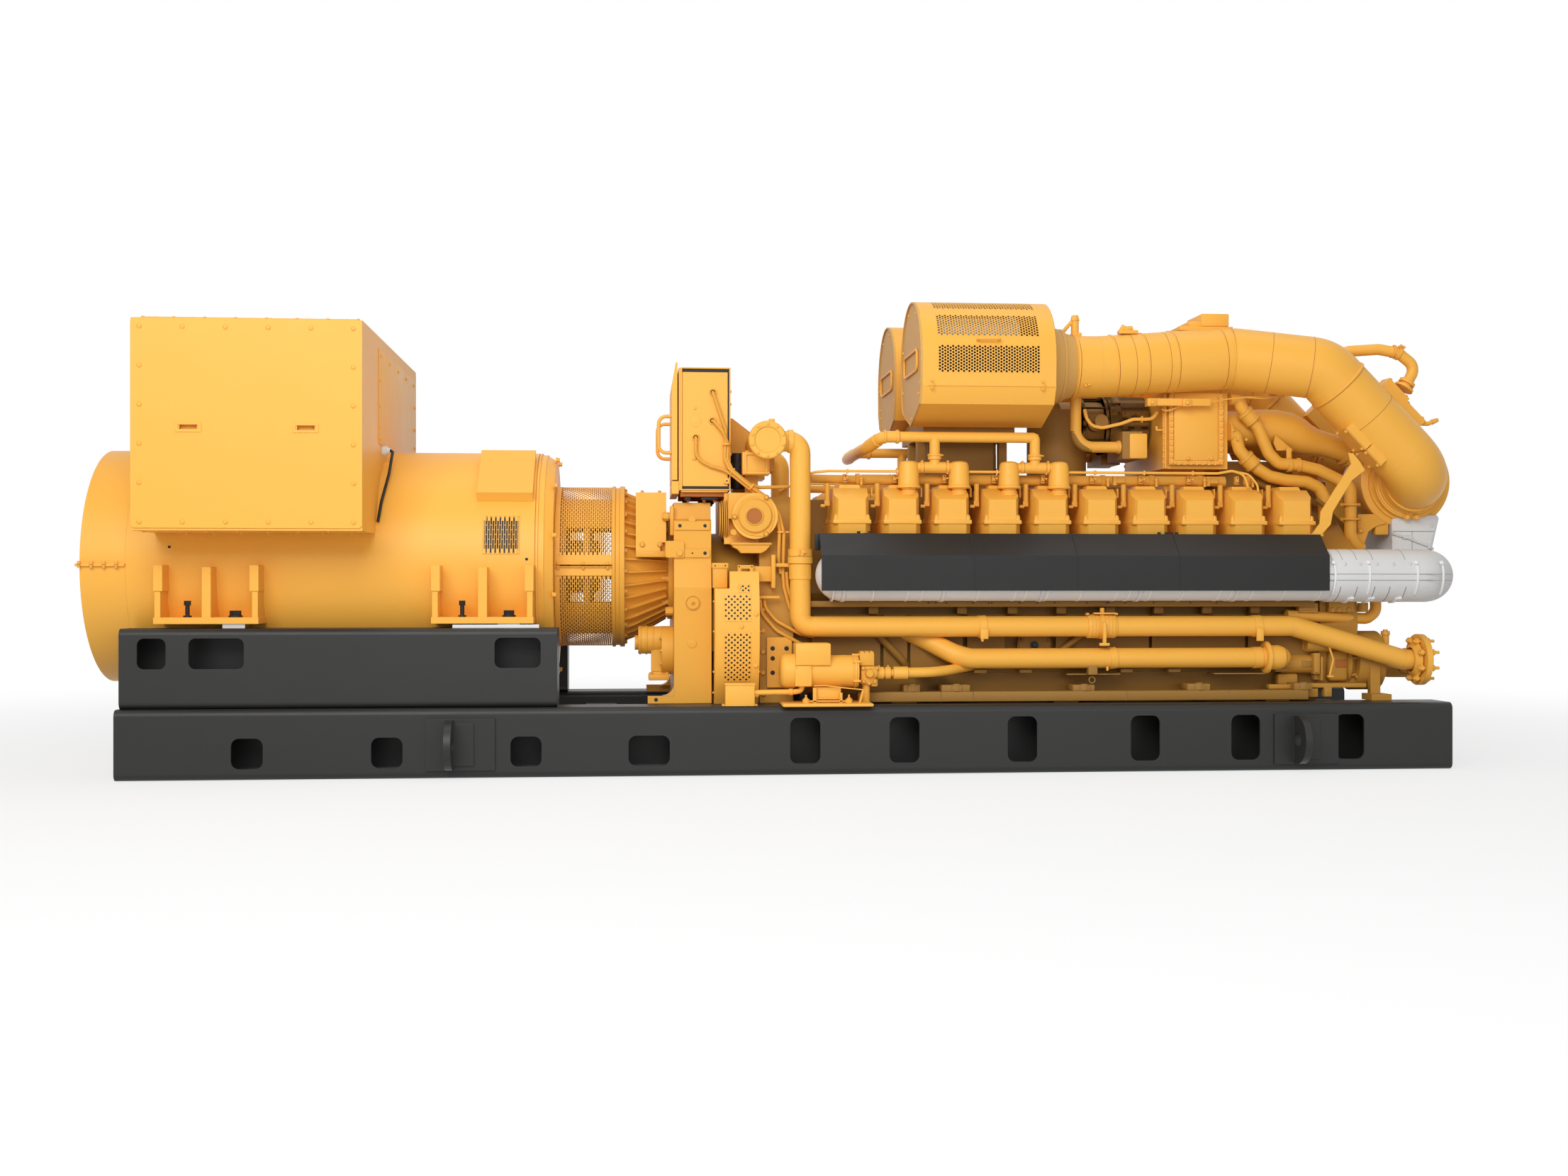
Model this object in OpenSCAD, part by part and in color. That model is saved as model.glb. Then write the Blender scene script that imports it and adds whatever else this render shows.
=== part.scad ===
// Gas generator set: a V-engine, a step gearbox and a round alternator on a box-rail base.
// +X runs from the alternator to the front of the engine, -Y is the service side, +Z is up.
// The origin is the middle of the base's underside.

/* [Base frame] */
// Length of the two base rails
base_l = 6194; // [5900:10:6500]
// Width over the two base rails
base_w = 1490; // [1450:10:1600]
// Height of a base rail
rail_h = 318; // [280:1:360]
// Width of one base rail
rail_w = 250; // [230:1:270]
// Wall of rails and plinth beams
rail_wall = 16; // [8:1:25]
// Rounding of the rails' long edges
rail_round = 30; // [18:1:45]
// Width of the base windows
window_w = 140; // [90:1:180]
// Height of the small windows on the alternator half
small_window_h = 138; // [80:1:180]
// Height of the tall windows on the engine half
tall_window_h = 212; // [150:1:230]
// Distance between cross members
cross_pitch = 960; // [850:10:1000]
// Width of a cross member
cross_w = 160; // [100:5:240]
// Height of a cross member
cross_h = 200; // [120:5:240]

/* [Lifting lugs] */
// Radius of the round end of a lifting lug
lug_r = 112; // [90:1:130]
// Thickness of a lifting lug
lug_t = 32; // [20:1:45]
// Radius of the lifting eye
eye_r = 34; // [20:1:45]
// Distance of the eye from the rail's face
eye_reach = 62; // [56:1:80]
// Distance from the middle of the base to the alternator-end lugs
lug_x_left = 1617; // [1560:1:1680]
// Distance from the middle of the base to the engine-end lugs
lug_x_right = 2330; // [2280:1:2380]
// How much lower the eyes sit at the engine end
lug_step = 4; // [4:1:12]

/* [Alternator plinth] */
// Length of a plinth beam
plinth_l = 1946; // [1900:2:2000]
// Height of a plinth beam
plinth_h = 362; // [320:1:400]
// Width of a plinth beam
plinth_w = 215; // [190:1:225]
// Step from the rail's face back to the plinth's face
plinth_step = 35; // [20:1:45]

/* [Alternator] */
// Radius of the alternator's barrel
gen_r = 560; // [545:1:564]
// Length of the barrel between its end covers
barrel_l = 1849; // [1800:1:1900]
// Length of the rear cover
rear_cover_l = 201; // [150:1:260]
// Length of the drive-end ring
drive_ring_l = 83; // [60:1:110]
// Height of the alternator's axis above its foot plates
foot_drop = 240; // [225:1:260]
// Thickness of a foot plate
foot_t = 30; // [20:1:45]
// Height of the levelling shims
shim_h = 20; // [18:1:30]
// Length of a foot bracket
foot_l = 464; // [430:1:500]
// Distance from the alternator's seam to the first foot bracket
foot_inset = 153; // [120:1:200]
// Distance from the drive end ring back to the end of the second pair of feet
foot_end_inset = -2; // [-40:1:60]
// Thickness of the foot bracket's ribs
foot_rib_t = 40; // [25:1:50]
// Thickness of a foot's end rib under its cap
foot_end_t = 26; // [18:1:30]
// Height of the cap on a foot's end rib
foot_cap_h = 118; // [90:1:140]

/* [Terminal box] */
// Length of the terminal box
tbox_l = 992; // [900:2:1050]
// Width of the terminal box over its covers
tbox_w = 1860; // [1700:10:1900]
// Height of the terminal box
tbox_h = 928; // [850:2:1000]
// Height of the box's underside above the alternator axis
tbox_rise = 144; // [100:1:180]
// Distance from the alternator's seam to the terminal box
tbox_inset = 127; // [80:1:170]
// Thickness of the covers
cover_t = 12; // [8:1:16]
// Thickness of the terminal box's end cover
end_cover_t = 3; // [2:0.5:6]
// Depth of the finger holds in the side covers
pocket_depth = 34; // [24:1:44]

/* [Coupling and gearbox] */
// Radius of the coupling's mesh guard
guard_r = 396; // [380:1:410]
// Length of the mesh guard
guard_l = 273; // [230:1:320]
// Length of the coupling ring
ring_l = 60; // [40:1:90]
// Length of the ribbed bell
bell_l = 234; // [200:1:280]
// Wide radius of the bell
bell_r1 = 372; // [340:1:378]
// Narrow radius of the bell
bell_r2 = 262; // [240:1:290]
// Length of the gearbox along the shaft
gearbox_l = 177; // [150:1:220]
// Half width of the gearbox
gearbox_half_w = 505; // [502:1:515]
// Height of the gearbox's top above the alternator axis
gearbox_rise = 302; // [290:1:330]
// Distance along the shaft from gearbox to engine
flywheel_gap = 228; // [200:1:260]
// Radius of the curved guards beside the flywheel
guard_reach = 650; // [620:1:670]
// Height of the starter above the crankshaft
starter_rise = 522; // [500:1:540]
// Radius of the flywheel
flywheel_r = 400; // [360:1:410]

/* [Engine] */
// Height of the crankshaft above the base rails
crank_rise = 362; // [355:1:380]
// Pitch of the cylinders
pitch = 240; // [236:1:250]
// Cylinders in one bank
bank_count = 10; // [6:1:10]
// Thickness of the engine's rear plate
rear_plate_t = 160; // [130:1:180]
// Half width of the crankcase
block_half_w = 430; // [410:1:440]
// Height of the cylinder deck above the crankshaft
deck_rise = 370; // [368:1:380]
// Height of a cylinder head
head_h = 117; // [100:1:130]
// Height of a valve cover
cover_h = 190; // [175:1:200]
// Length of a cylinder head along the engine
head_l = 208; // [180:1:220]
// Distance from the deck's outer edge to the middle of the engine
head_out = 575; // [565:1:585]
// Distance of the first cylinder from the block's rear face
first_cylinder = 258; // [250:1:280]
// Distance of the last cylinder from the block's front face
last_cylinder = 178; // [170:1:200]
// Height of the intake plenum in the V
plenum_h = 250; // [240:1:256]
// Length of the front housing
front_l = 190; // [170:1:200]
// Half width of the front housing
front_half_w = 470; // [450:1:490]

/* [Exhaust] */
// Radius of the lagged exhaust manifold
manifold_r = 121; // [112:1:123]
// Distance of the manifold's axis from the middle of the engine
manifold_y = 605; // [603:1:612]
// Thickness of the heat shield's sheet
shield_t = 5; // [3:0.5:6]
// Height of the heat shield's lower face
shield_face_h = 165; // [150:1:180]
// Radius of the lagged exhaust elbow
elbow_r = 127; // [122:1:132]
// Radius of the turbocharger's compressor
compressor_r = 232; // [215:1:240]
// Radius of the compressor's inlet collar
inlet_r = 176; // [165:1:190]
// Height of the exhaust manifold's axis above the crankshaft
manifold_rise = 243; // [240:1:246]
// Distance of the turbochargers from the block's front face
turbo_reach = 520; // [505:1:540]
// Height of the turbochargers above the valve covers
turbo_rise = 42; // [35:1:50]
// Half width of the turbine casing
turbine_half_w = 120; // [119:1:130]
// Half width of the exhaust collector
box_half_w = 300; // [290:1:310]
// Radius of the exhaust outlet
outlet_r = 118; // [105:1:119]

/* [Intake] */
// Radius of the intake duct
duct_r = 149; // [135:1:155]
// Distance of the intake duct from the middle of the engine
duct_y = 400; // [390:1:410]
// Length of the duct's rising run
duct_rise_l = 800; // [780:5:820]
// Distance of the duct's knee from its neck
duct_knee_l = 1225; // [1210:5:1250]
// Distance of the filters' rear face from the first cylinder
filter_station = 330; // [320:1:340]
// Length of a filter's neck
neck_l = 144; // [138:1:150]
// Distance of the aftercooler from the duct's neck
cooler_gap = 484; // [475:1:500]
// Height of the aftercooler above the plenum
cooler_rise = 152; // [145:1:160]
// Radius of an air filter
filter_r = 300; // [285:1:305]
// Length of an air filter's body
filter_l = 635; // [610:1:650]
// Height of the air filter's axis above the valve covers
filter_rise = 585; // [570:1:600]
// Length of the aftercooler
cooler_l = 328; // [300:1:340]
// Height of the aftercooler
cooler_h = 378; // [360:1:382]
// Half width of the aftercooler
cooler_half_w = 330; // [300:1:340]
// Radius of the mixer
mixer_r = 120; // [100:1:125]

/* [Water pipes] */
// Radius of the upper water pipe
upper_pipe_r = 49; // [40:1:50]
// Radius of the lower water pipe
lower_pipe_r = 50; // [40:1:50]
// Distance of the upper water pipe from the middle of the engine
upper_pipe_y = 560; // [555:1:575]
// Radius of the water flange
flange_r = 124; // [118:1:130]
// Thickness of the water flange
flange_t = 28; // [20:1:36]
// Diameter of the water flange's bolt circle
flange_pcd = 200; // [190:1:206]
// Radius of the water flange's bolt holes
flange_hole_r = 9; // [6:0.5:11]
// Bore radius of the water connection
flange_bore_r = 40; // [30:1:42]
// Radius of the thermostat housing
thermostat_r = 90; // [80:1:95]

/* [Control panel] */
// Depth of the control panel
panel_d = 246; // [220:1:260]
// Width of the control panel
panel_w = 520; // [420:5:560]
// Height of the control panel
panel_h = 582; // [540:1:600]
// Thickness of the panel's door
door_t = 26; // [18:1:30]
// Gap between the door and the panel
door_gap = 6; // [5.5:0.5:8]
// Radius of the door's hinge pin
hinge_r = 7; // [5:0.5:9]
// Radius of the bar of the door's handles
handle_r = 9; // [7:0.5:12]
// Height of the door handles' middle above the panel's foot
handle_rise = 270; // [240:5:300]
// Height of a handle between its bars
handle_h = 174; // [140:2:220]
// How far a handle stands out from the door
handle_reach = 62; // [45:1:75]
// Distance of a handle from the door's edge
handle_inset = 62; // [40:1:120]
// Height of the door's lip above the panel
lip_h = 25; // [10:1:35]

/* [Pump and small units] */
// Radius of the pre-lube pump's motor
motor_r = 80; // [70:1:84]
// Length of the pump motor
motor_l = 330; // [300:1:350]
// Radius of the water pump's volute
volute_r = 146; // [130:1:150]
// Clearance at a curved seat
seat = 0.3; // [0.2:0.05:0.5]

/* [Hidden] */
$fn = 64;

yellow = "#f2b64e";
shade = "#c98f33";
dark = "#42423f";
black = "#2c2c2c";
silver = "#d9d9d6";
steel = "#8f8f8c";

// Stations along the shaft, counted from the gearbox's engine-side face.
gearbox_x1 = -424;
gearbox_x0 = gearbox_x1 - gearbox_l;
bell_x0 = gearbox_x0 - bell_l;
ring_x0 = bell_x0 - ring_l;
guard_x0 = ring_x0 - guard_l;
drive_x0 = guard_x0 - drive_ring_l;
seam_x = drive_x0 - barrel_l;
gen_x0 = seam_x - rear_cover_l;
plate_x0 = gearbox_x1 + flywheel_gap;
block_x0 = plate_x0 + rear_plate_t;
first_x = block_x0 + first_cylinder;
block_x1 = first_x + (bank_count - 1) * pitch + last_cylinder;

// Heights.
plinth_z = rail_h;
shim_z = plinth_z + plinth_h;
foot_z = shim_z + shim_h;
gen_z = foot_z + foot_t + foot_drop;
crank_z = rail_h + crank_rise;
deck_z = crank_z + deck_rise;
head_z = deck_z + head_h;
valve_z = head_z + cover_h;
manifold_z = crank_z + manifold_rise;
filter_z = valve_z + filter_rise;
filter_x0 = first_x + filter_station;
pipe_z = crank_z;
return_z = crank_z - 152;

rail_in = base_w / 2 - rail_w;
plinth_out = base_w / 2 - plinth_step;
plinth_in = plinth_out - plinth_w;
cyl_x = [for (i = [0 : bank_count - 1]) first_x + i * pitch];
face_y = head_out - 5;
cover_lead = 14;
fit = 0.05;
elbow_lap = 4;
elbow_step = 0.5;

// ---- helpers -------------------------------------------------------------------------

// Shape drawn in Y and Z, run along +X.
module run_x(x0, l) translate([x0, 0, 0]) rotate([90, 0, 90]) linear_extrude(l) children();

// Round bars along the three axes, from a start point.
module bar_x(p, r, l) translate(p) rotate([0, 90, 0]) cylinder(h = l, r = r);
module bar_y(p, r, l) translate(p) rotate([-90, 0, 0]) cylinder(h = l, r = r);
module bar_z(p, r, l) translate(p) cylinder(h = l, r = r);

// Box between two corners.
module block(a, b) translate(a) cube(b - a);

// Rectangle with round corners, centred.
module round_rect(w, h, r) {
    square([w - 2 * r, h], center = true);
    square([w, h - 2 * r], center = true);
    for (x = [-1, 1], y = [-1, 1]) translate([x * (w / 2 - r), y * (h / 2 - r)]) circle(r);
}

// The piece and its mirror image on the far side.
module both_sides() {
    children();
    mirror([0, 1, 0]) children();
}

function unit(v) = v / norm(v);
function heading(p, i) = unit(p[i + 1] - p[i]);
function turn(p, i) = acos(heading(p, i - 1) * heading(p, i));
function trim(p, i, bend) = (i == 0 || i == len(p) - 1) ? 0 : bend * tan(turn(p, i) / 2);

// Straight bar between two points.
module strut(a, b, r) {
    v = b - a;
    translate(a) rotate([0, acos(v.z / norm(v)), atan2(v.y, v.x)]) cylinder(h = norm(v), r = r);
}

// Round elbow at point i of a path. Its ends reach a little into the straight bars, and it is
// a hair thinner than they are.
module elbow(p, i, r, bend) {
    u = heading(p, i - 1);
    v = heading(p, i);
    inward = unit(v - u * (u * v));
    c = p[i] - u * trim(p, i, bend) + inward * bend;
    x = -inward;
    z = cross(x, u);
    reach = elbow_lap / bend * 180 / PI;
    multmatrix([[x.x, u.x, z.x, c.x], [x.y, u.y, z.y, c.y], [x.z, u.z, z.z, c.z]])
        rotate([0, 0, -reach]) rotate_extrude(angle = turn(p, i) + 2 * reach)
            translate([bend, 0]) circle(r - elbow_step);
}

// Pipe along a path with round elbows.
module pipe(p, r, bend) {
    for (i = [0 : len(p) - 2])
        strut(p[i] + heading(p, i) * trim(p, i, bend), p[i + 1] - heading(p, i) * trim(p, i + 1, bend), r);
    for (i = [1 : 1 : len(p) - 2]) elbow(p, i, r, bend);
}

// Lagged pipe with one round end, along +X.
module capsule_x(p, r, l) translate(p) rotate([0, 90, 0]) rotate_extrude() intersection() {
    union() {
        translate([0, r]) circle(r);
        translate([0, r]) square([r, l - r]);
    }
    square([r, l]);
}

// ---- base ----------------------------------------------------------------------------

small_windows = [-2517, -1900, -1278, -720];
cross_z = 60;
tall_windows = [-3, 459, 1014, 1600, 2084];
end_window = base_l / 2 - 505;

module base_windows() {
    for (x = small_windows) translate([x, 0, rail_h / 2 - 40]) rotate([90, 0, 0])
        linear_extrude(rail_wall * 2 + 4, center = true)
            round_rect(window_w + (x == small_windows[3] ? 48 : 0), small_window_h, 36);
    for (x = concat(tall_windows, [end_window])) translate([x, 0, rail_h / 2]) rotate([90, 0, 0])
        linear_extrude(rail_wall * 2 + 4, center = true) round_rect(window_w, tall_window_h, 36);
}

module hollow_beam(w, h, x0, l) {
    difference() {
        run_x(x0, l) round_rect(w, h, rail_round);
        run_x(x0 + rail_wall, l - 2 * rail_wall)
            round_rect(w - 2 * rail_wall, h - 2 * rail_wall, rail_round - rail_wall + 4);
    }
}

module base_rails() {
    color(dark) both_sides() difference() {
        translate([0, -base_w / 2 + rail_w / 2, rail_h / 2]) hollow_beam(rail_w, rail_h, -base_l / 2, base_l);
        translate([0, -base_w / 2, 0]) base_windows();
    }
}

module base_cross_members() {
    color(dark) for (i = [-3 : 3])
        block([i * cross_pitch - cross_w / 2, -rail_in, i == 0 ? 0 : cross_z],
              [i * cross_pitch + cross_w / 2, rail_in, cross_z + cross_h]);
}

lug_z = rail_h / 2 - 5;
module lifting_lug(x, z) {
    pad_t = 12;
    clamp_t = 10;
    difference() {
        translate([x, -base_w / 2, z]) union() {
            block([-110, -pad_t, -118], [200, 0, 118]);
            translate([-lug_t / 2, 0, 0]) rotate([90, 0, 90]) linear_extrude(lug_t) {
                translate([-eye_reach + 15, 0]) circle(lug_r);
                translate([-eye_reach + 15, -lug_r]) square([eye_reach - 15, 2 * lug_r]);
            }
            block([lug_t / 2, -pad_t - clamp_t, -95], [lug_t / 2 + 90, -pad_t, 95]);
        }
        block([x - 300, -base_w / 2, 0], [x + 300, 0, rail_h]);
        bar_x([x - lug_t, -base_w / 2 - eye_reach, z], eye_r, 2 * lug_t);
    }
}

module lifting_lugs() {
    color(dark) both_sides() {
        lifting_lug(-lug_x_left, lug_z);
        lifting_lug(lug_x_right, lug_z - lug_step);
    }
}

// ---- alternator ----------------------------------------------------------------------

plinth_x0 = seam_x + 15;

module generator_plinths() {
    window_z = plinth_z + plinth_h - 113;
    color(dark) both_sides() difference() {
        translate([0, -plinth_out + plinth_w / 2, plinth_z + plinth_h / 2])
            hollow_beam(plinth_w, plinth_h, plinth_x0, plinth_l);
        translate([plinth_x0, -plinth_out, window_z]) for (w = [[142, 126], [426, 243], [1767, 208]])
            translate([w[0], 0, 0]) rotate([90, 0, 0])
                linear_extrude(rail_wall * 2 + 4, center = true) round_rect(w[1], 138, 30);
    }
}

foot_y0 = plinth_out - 45;
foot_y1 = plinth_in + 5;
foot_xs = [seam_x + foot_inset, drive_x0 - foot_end_inset - foot_l];

module levelling_shims() {
    color(steel) both_sides() {
        block([foot_xs[0] + 300, -foot_y0 + 20, shim_z], [foot_xs[0] + 400, -foot_y1 - 20, foot_z]);
        block([foot_xs[1] + 97, -foot_y0 - 5, shim_z], [foot_xs[1] + 490, -foot_y1 - 20, foot_z - 5]);
        block([foot_xs[1] + 300, -foot_y0 + 20, foot_z - 5], [foot_xs[1] + 400, -foot_y1 - 20, foot_z]);
    }
}

module foot_bracket(x) {
    difference() {
        union() {
            block([x, -foot_y0, foot_z], [x + foot_l, -foot_y1 + 60, foot_z + foot_t]);
            for (rib_x = [x + 4, x + foot_l - foot_end_t - 4])
                block([rib_x, -foot_y0 + 6, foot_z + foot_t],
                    [rib_x + foot_end_t, -gen_r * 0.8, gen_z - 3]);
            block([x + (foot_l - foot_rib_t) / 2, -foot_y0 + 6, foot_z + foot_t],
                [x + (foot_l + foot_rib_t) / 2, -gen_r * 0.8, gen_z - 12]);
            for (cap_x = [x, x + foot_l - foot_rib_t])
                block([cap_x, -foot_y0, gen_z - 3 - foot_cap_h], [cap_x + foot_rib_t, -gen_r * 0.8, gen_z - 3]);
        }
        bar_x([x - 1, 0, gen_z], gen_r + seat, foot_l + 2);
    }
}

module generator_feet() {
    color(yellow) both_sides() for (x = foot_xs) foot_bracket(x);
}

module generator_barrel() {
    color(yellow) bar_x([seam_x, 0, gen_z], gen_r, barrel_l);
}

module generator_rear_cover() {
    color(yellow) {
        bar_x([gen_x0, 0, gen_z], gen_r, rear_cover_l);
        both_sides() block([gen_x0 - 18, -gen_r - 14, gen_z - 8], [seam_x, -gen_r + 60, gen_z + 4]);
    }
}

module drive_end_ring() {
    color(yellow) {
        bar_x([drive_x0, 0, gen_z], gen_r - 8, drive_ring_l / 2);
        translate([drive_x0 + drive_ring_l / 2, 0, gen_z]) rotate([0, 90, 0])
            cylinder(h = drive_ring_l / 2, r1 = gen_r - 12, r2 = gen_r - 38);
    }
}

inspect_x0 = drive_x0 - 271;
module inspection_cover() {
    color(yellow) difference() {
        translate([inspect_x0, 0, gen_z]) rotate([40, 0, 0])
            block([0, -170, gen_r - 40], [260, 170, gen_r + 26]);
        bar_x([inspect_x0 - 1, 0, gen_z], gen_r + seat, 262, $fn = 256);
    }
}

tbox_x0 = seam_x + tbox_inset;
tbox_z = gen_z + tbox_rise;

handle_shares = [0.245, 0.755];
tbox_x1 = tbox_x0 + tbox_l;
tbox_top = tbox_z + tbox_h;
end_cover_y = -tbox_w / 2 + 480;

// Finger holds reach through the cover into a pocket of the box.
module cover_handle(share, depth)
    translate([tbox_x0 + tbox_l * share, -tbox_w / 2, tbox_z + tbox_h * 0.49])
        block([-38, -1, -13], [38, depth, 13]);

module terminal_box() {
    color(yellow) difference() {
        block([tbox_x0, -tbox_w / 2 + cover_t, tbox_z], [tbox_x1, tbox_w / 2 - cover_t, tbox_top]);
        bar_x([tbox_x0 - 1, 0, gen_z], gen_r + seat, tbox_l + 2);
        both_sides() for (share = handle_shares) cover_handle(share, pocket_depth);
    }
}

module terminal_box_covers() {
    color(yellow) {
        both_sides() difference() {
            block([tbox_x0, -tbox_w / 2, tbox_z], [tbox_x1, -tbox_w / 2 + cover_t, tbox_top]);
            for (share = handle_shares) cover_handle(share, cover_t + 1);
        }
        block([tbox_x0 + 30, -tbox_w / 2 + 60, tbox_top],
              [tbox_x1 - 30, tbox_w / 2 - 60, tbox_top + cover_t]);
        block([tbox_x1, end_cover_y, gen_z + gen_r + 9],
              [tbox_x1 + end_cover_t, tbox_w / 2 - 60, tbox_top - 55]);
    }
}

// ---- coupling, bell and gearbox ------------------------------------------------------

module coupling_guard() {
    color(shade) difference() {
        bar_x([guard_x0, 0, gen_z], guard_r, guard_l);
        bar_x([guard_x0 - 1, 0, gen_z], guard_r - 6, guard_l + 2);
    }
}

module coupling_adapter() {
    r = guard_r - 34;
    color(shade) {
        difference() {
            bar_x([guard_x0, 0, gen_z], r, guard_l);
            bar_x([guard_x0 - 1, 0, gen_z], r - 30, guard_l + 2);
            for (a = [0 : 45 : 135]) translate([guard_x0 + guard_l * 0.22, 0, gen_z]) rotate([a, 0, 0])
                block([0, -r - 1, -95], [guard_l * 0.56, r + 1, 95]);
        }
        bar_x([guard_x0, 0, gen_z], 95, guard_l);
    }
}

module bell_housing() {
    rib_t = 22;
    color(yellow) {
        bar_x([ring_x0, 0, gen_z], guard_r + 4, ring_l);
        translate([bell_x0, 0, gen_z]) rotate([0, 90, 0])
            cylinder(h = bell_l, r1 = bell_r1 - 40, r2 = bell_r2 - 40);
        for (a = [15 : 30 : 345]) translate([bell_x0, 0, gen_z]) rotate([a, 0, 0]) rotate([90, 0, 0])
            linear_extrude(rib_t, center = true)
                polygon([[0, 100], [0, bell_r1], [bell_l, bell_r2], [bell_l, 100]]);
    }
}

bell_cover_x0 = bell_x0 + 54;
bell_cover_l = 145;
bell_cover_z = gen_z + 41;
bell_cover_half = bell_r1 + 8;
bell_cover_rise = 350;
module bell_cover() {
    slope = (bell_r1 - bell_r2) / bell_l;
    color(yellow) difference() {
        block([bell_cover_x0, -bell_cover_half, bell_cover_z],
              [bell_cover_x0 + bell_cover_l, bell_cover_half, gen_z + bell_cover_rise]);
        translate([bell_x0, 0, gen_z]) rotate([0, 90, 0])
            cylinder(h = bell_l, r1 = bell_r1 + seat, r2 = bell_r2 + seat);
        for (s = [-1, 1]) translate([0, s * bell_cover_half, 0])
            block([bell_cover_x0 + bell_cover_l - 28, -40, bell_cover_z + 20],
                  [bell_cover_x0 + bell_cover_l, 40, bell_cover_z + 70]);
    }
}

gearbox_top = gen_z + gearbox_rise;
module gearbox_case() {
    w = gearbox_half_w;
    color(yellow) {
        run_x(gearbox_x0, gearbox_l) polygon([[-w, rail_h], [-w, gen_z - 105], [-w + 35, gen_z + 26],
            [-w + 35, gen_z + 211], [-w + 110, gen_z + 222], [-w + 130, gearbox_top], [w - 130, gearbox_top],
            [w - 110, gen_z + 222], [w - 35, gen_z + 211], [w - 35, gen_z + 26],
            [w, gen_z - 105], [w, rail_h]]);
        both_sides() block([gearbox_x0 - 124, -w, rail_h], [gearbox_x0, -rail_in + 30, rail_h + 34]);
    }
}

pump_y = 300;
module gearbox_oil_pump() {
    z = gen_z - 410;
    color(shade) {
        bar_x([gearbox_x0 - 185, -pump_y, z + 40], 35, 20);
        bar_x([gearbox_x0 - 168, -pump_y, z + 52], 66, 120);
        bar_x([gearbox_x0 - 57, -pump_y, z + 3], 116, 57);
        block([gearbox_x0 - 106, -pump_y - 48, z - 98], [gearbox_x0 - 30, -pump_y + 48, z + 10]);
    }
}

module flywheel() {
    color(shade) {
        bar_x([gearbox_x1 + 30, 0, crank_z], flywheel_r, flywheel_gap - 60);
        bar_x([gearbox_x1, 0, crank_z], 120, flywheel_gap);
    }
}

starter_x = plate_x0 - 26;
starter_z = crank_z + starter_rise;
module flywheel_housing() {
    shroud_r = flywheel_r + 55;
    color(shade) {
        difference() {
            bar_x([gearbox_x1, 0, crank_z], shroud_r, flywheel_gap);
            bar_x([gearbox_x1 - 1, 0, crank_z], flywheel_r + 15, flywheel_gap + 2);
            block([gearbox_x1 - 1, -shroud_r - 1, crank_z - shroud_r - 1],
                  [plate_x0 + 1, shroud_r + 1, crank_z - 120]);
        }
        run_x(plate_x0, rear_plate_t) polygon([[-500, rail_h], [-500, crank_z + 250], [-360, crank_z + 622],
            [360, crank_z + 622], [500, crank_z + 250], [500, rail_h]]);
        both_sides() block([starter_x - 140, -420, crank_z + 420], [plate_x0, -120, starter_z + 112]);
    }
}

module flywheel_guards() {
    x0 = gearbox_x1 + 10;
    x1 = plate_x0 - 10;
    z1 = crank_z + 181;
    color(yellow) both_sides() difference() {
        intersection() {
            union() {
                block([x0, -guard_reach, rail_h], [x1, -gearbox_half_w - 1, z1]);
                block([x0 + 70, -guard_reach, z1 - 1], [x1, -gearbox_half_w - 1, z1 + 80]);
            }
            bar_x([x0, 0, crank_z], guard_reach, x1 - x0);
        }
        intersection() {
            block([x0 + 5, -guard_reach, rail_h + 5], [x1 - 5, -gearbox_half_w + 1, z1 - 5]);
            bar_x([x0, 0, crank_z], guard_reach - 5, x1 - x0);
        }
    }
}

// ---- engine --------------------------------------------------------------------------

block_out = manifold_y - manifold_r - 16;

module engine_block() {
    color(shade) run_x(block_x0, block_x1 - block_x0) polygon([[-block_half_w, rail_h + 138],
        [-block_half_w, crank_z + 100], [-block_out, crank_z + 160], [-block_out, deck_z],
        [block_out, deck_z], [block_out, crank_z + 160], [block_half_w, crank_z + 100],
        [block_half_w, rail_h + 138]]);
}

module oil_pan() {
    sump = rail_in - 45;
    color(shade) {
        block([block_x0 + 120, -sump, cross_z + cross_h + 6], [block_x1 - 20, sump, rail_h + 44]);
        block([block_x0, -block_half_w, rail_h + 44], [block_x1, block_half_w, rail_h + 138]);
        for (x = [0.2, 0.5, 0.9]) both_sides()
            block([block_x0 + x * (block_x1 - block_x0) - 60, -rail_in - 90, rail_h],
            [block_x0 + x * (block_x1 - block_x0) + 60, -sump + 10, rail_h + 44]);
    }
}

module head(x) block([x - head_l / 2, -head_out + 5, deck_z], [x + head_l / 2, -190, head_z]);

cover_rim = 22;
cover_half_w = 67;
module cover_hood(x, half_w, cap) {
    translate([x - half_w, 0, 0]) rotate([90, 0, 90]) linear_extrude(2 * half_w)
        polygon([[-face_y, head_z + cover_rim], [-face_y, head_z + cover_rim + 97],
            [-face_y + 105, valve_z - 14],
            [-270, valve_z - 14], [-235, valve_z - 70], [-235, head_z + cover_rim]]);
    block([x - cap, -face_y + 115, valve_z - 14], [x + cap, -290, valve_z]);
}

module valve_cover(x) {
    block([x - 91, -head_out - 5, head_z], [x + 91, -215, head_z + cover_rim]);
    cover_hood(x, cover_half_w, 50);
}

module cylinder_heads() color(yellow) both_sides() for (x = cyl_x) head(x + cover_lead);
module valve_covers() color(yellow) both_sides() for (x = cyl_x) valve_cover(x + cover_lead);

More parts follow.
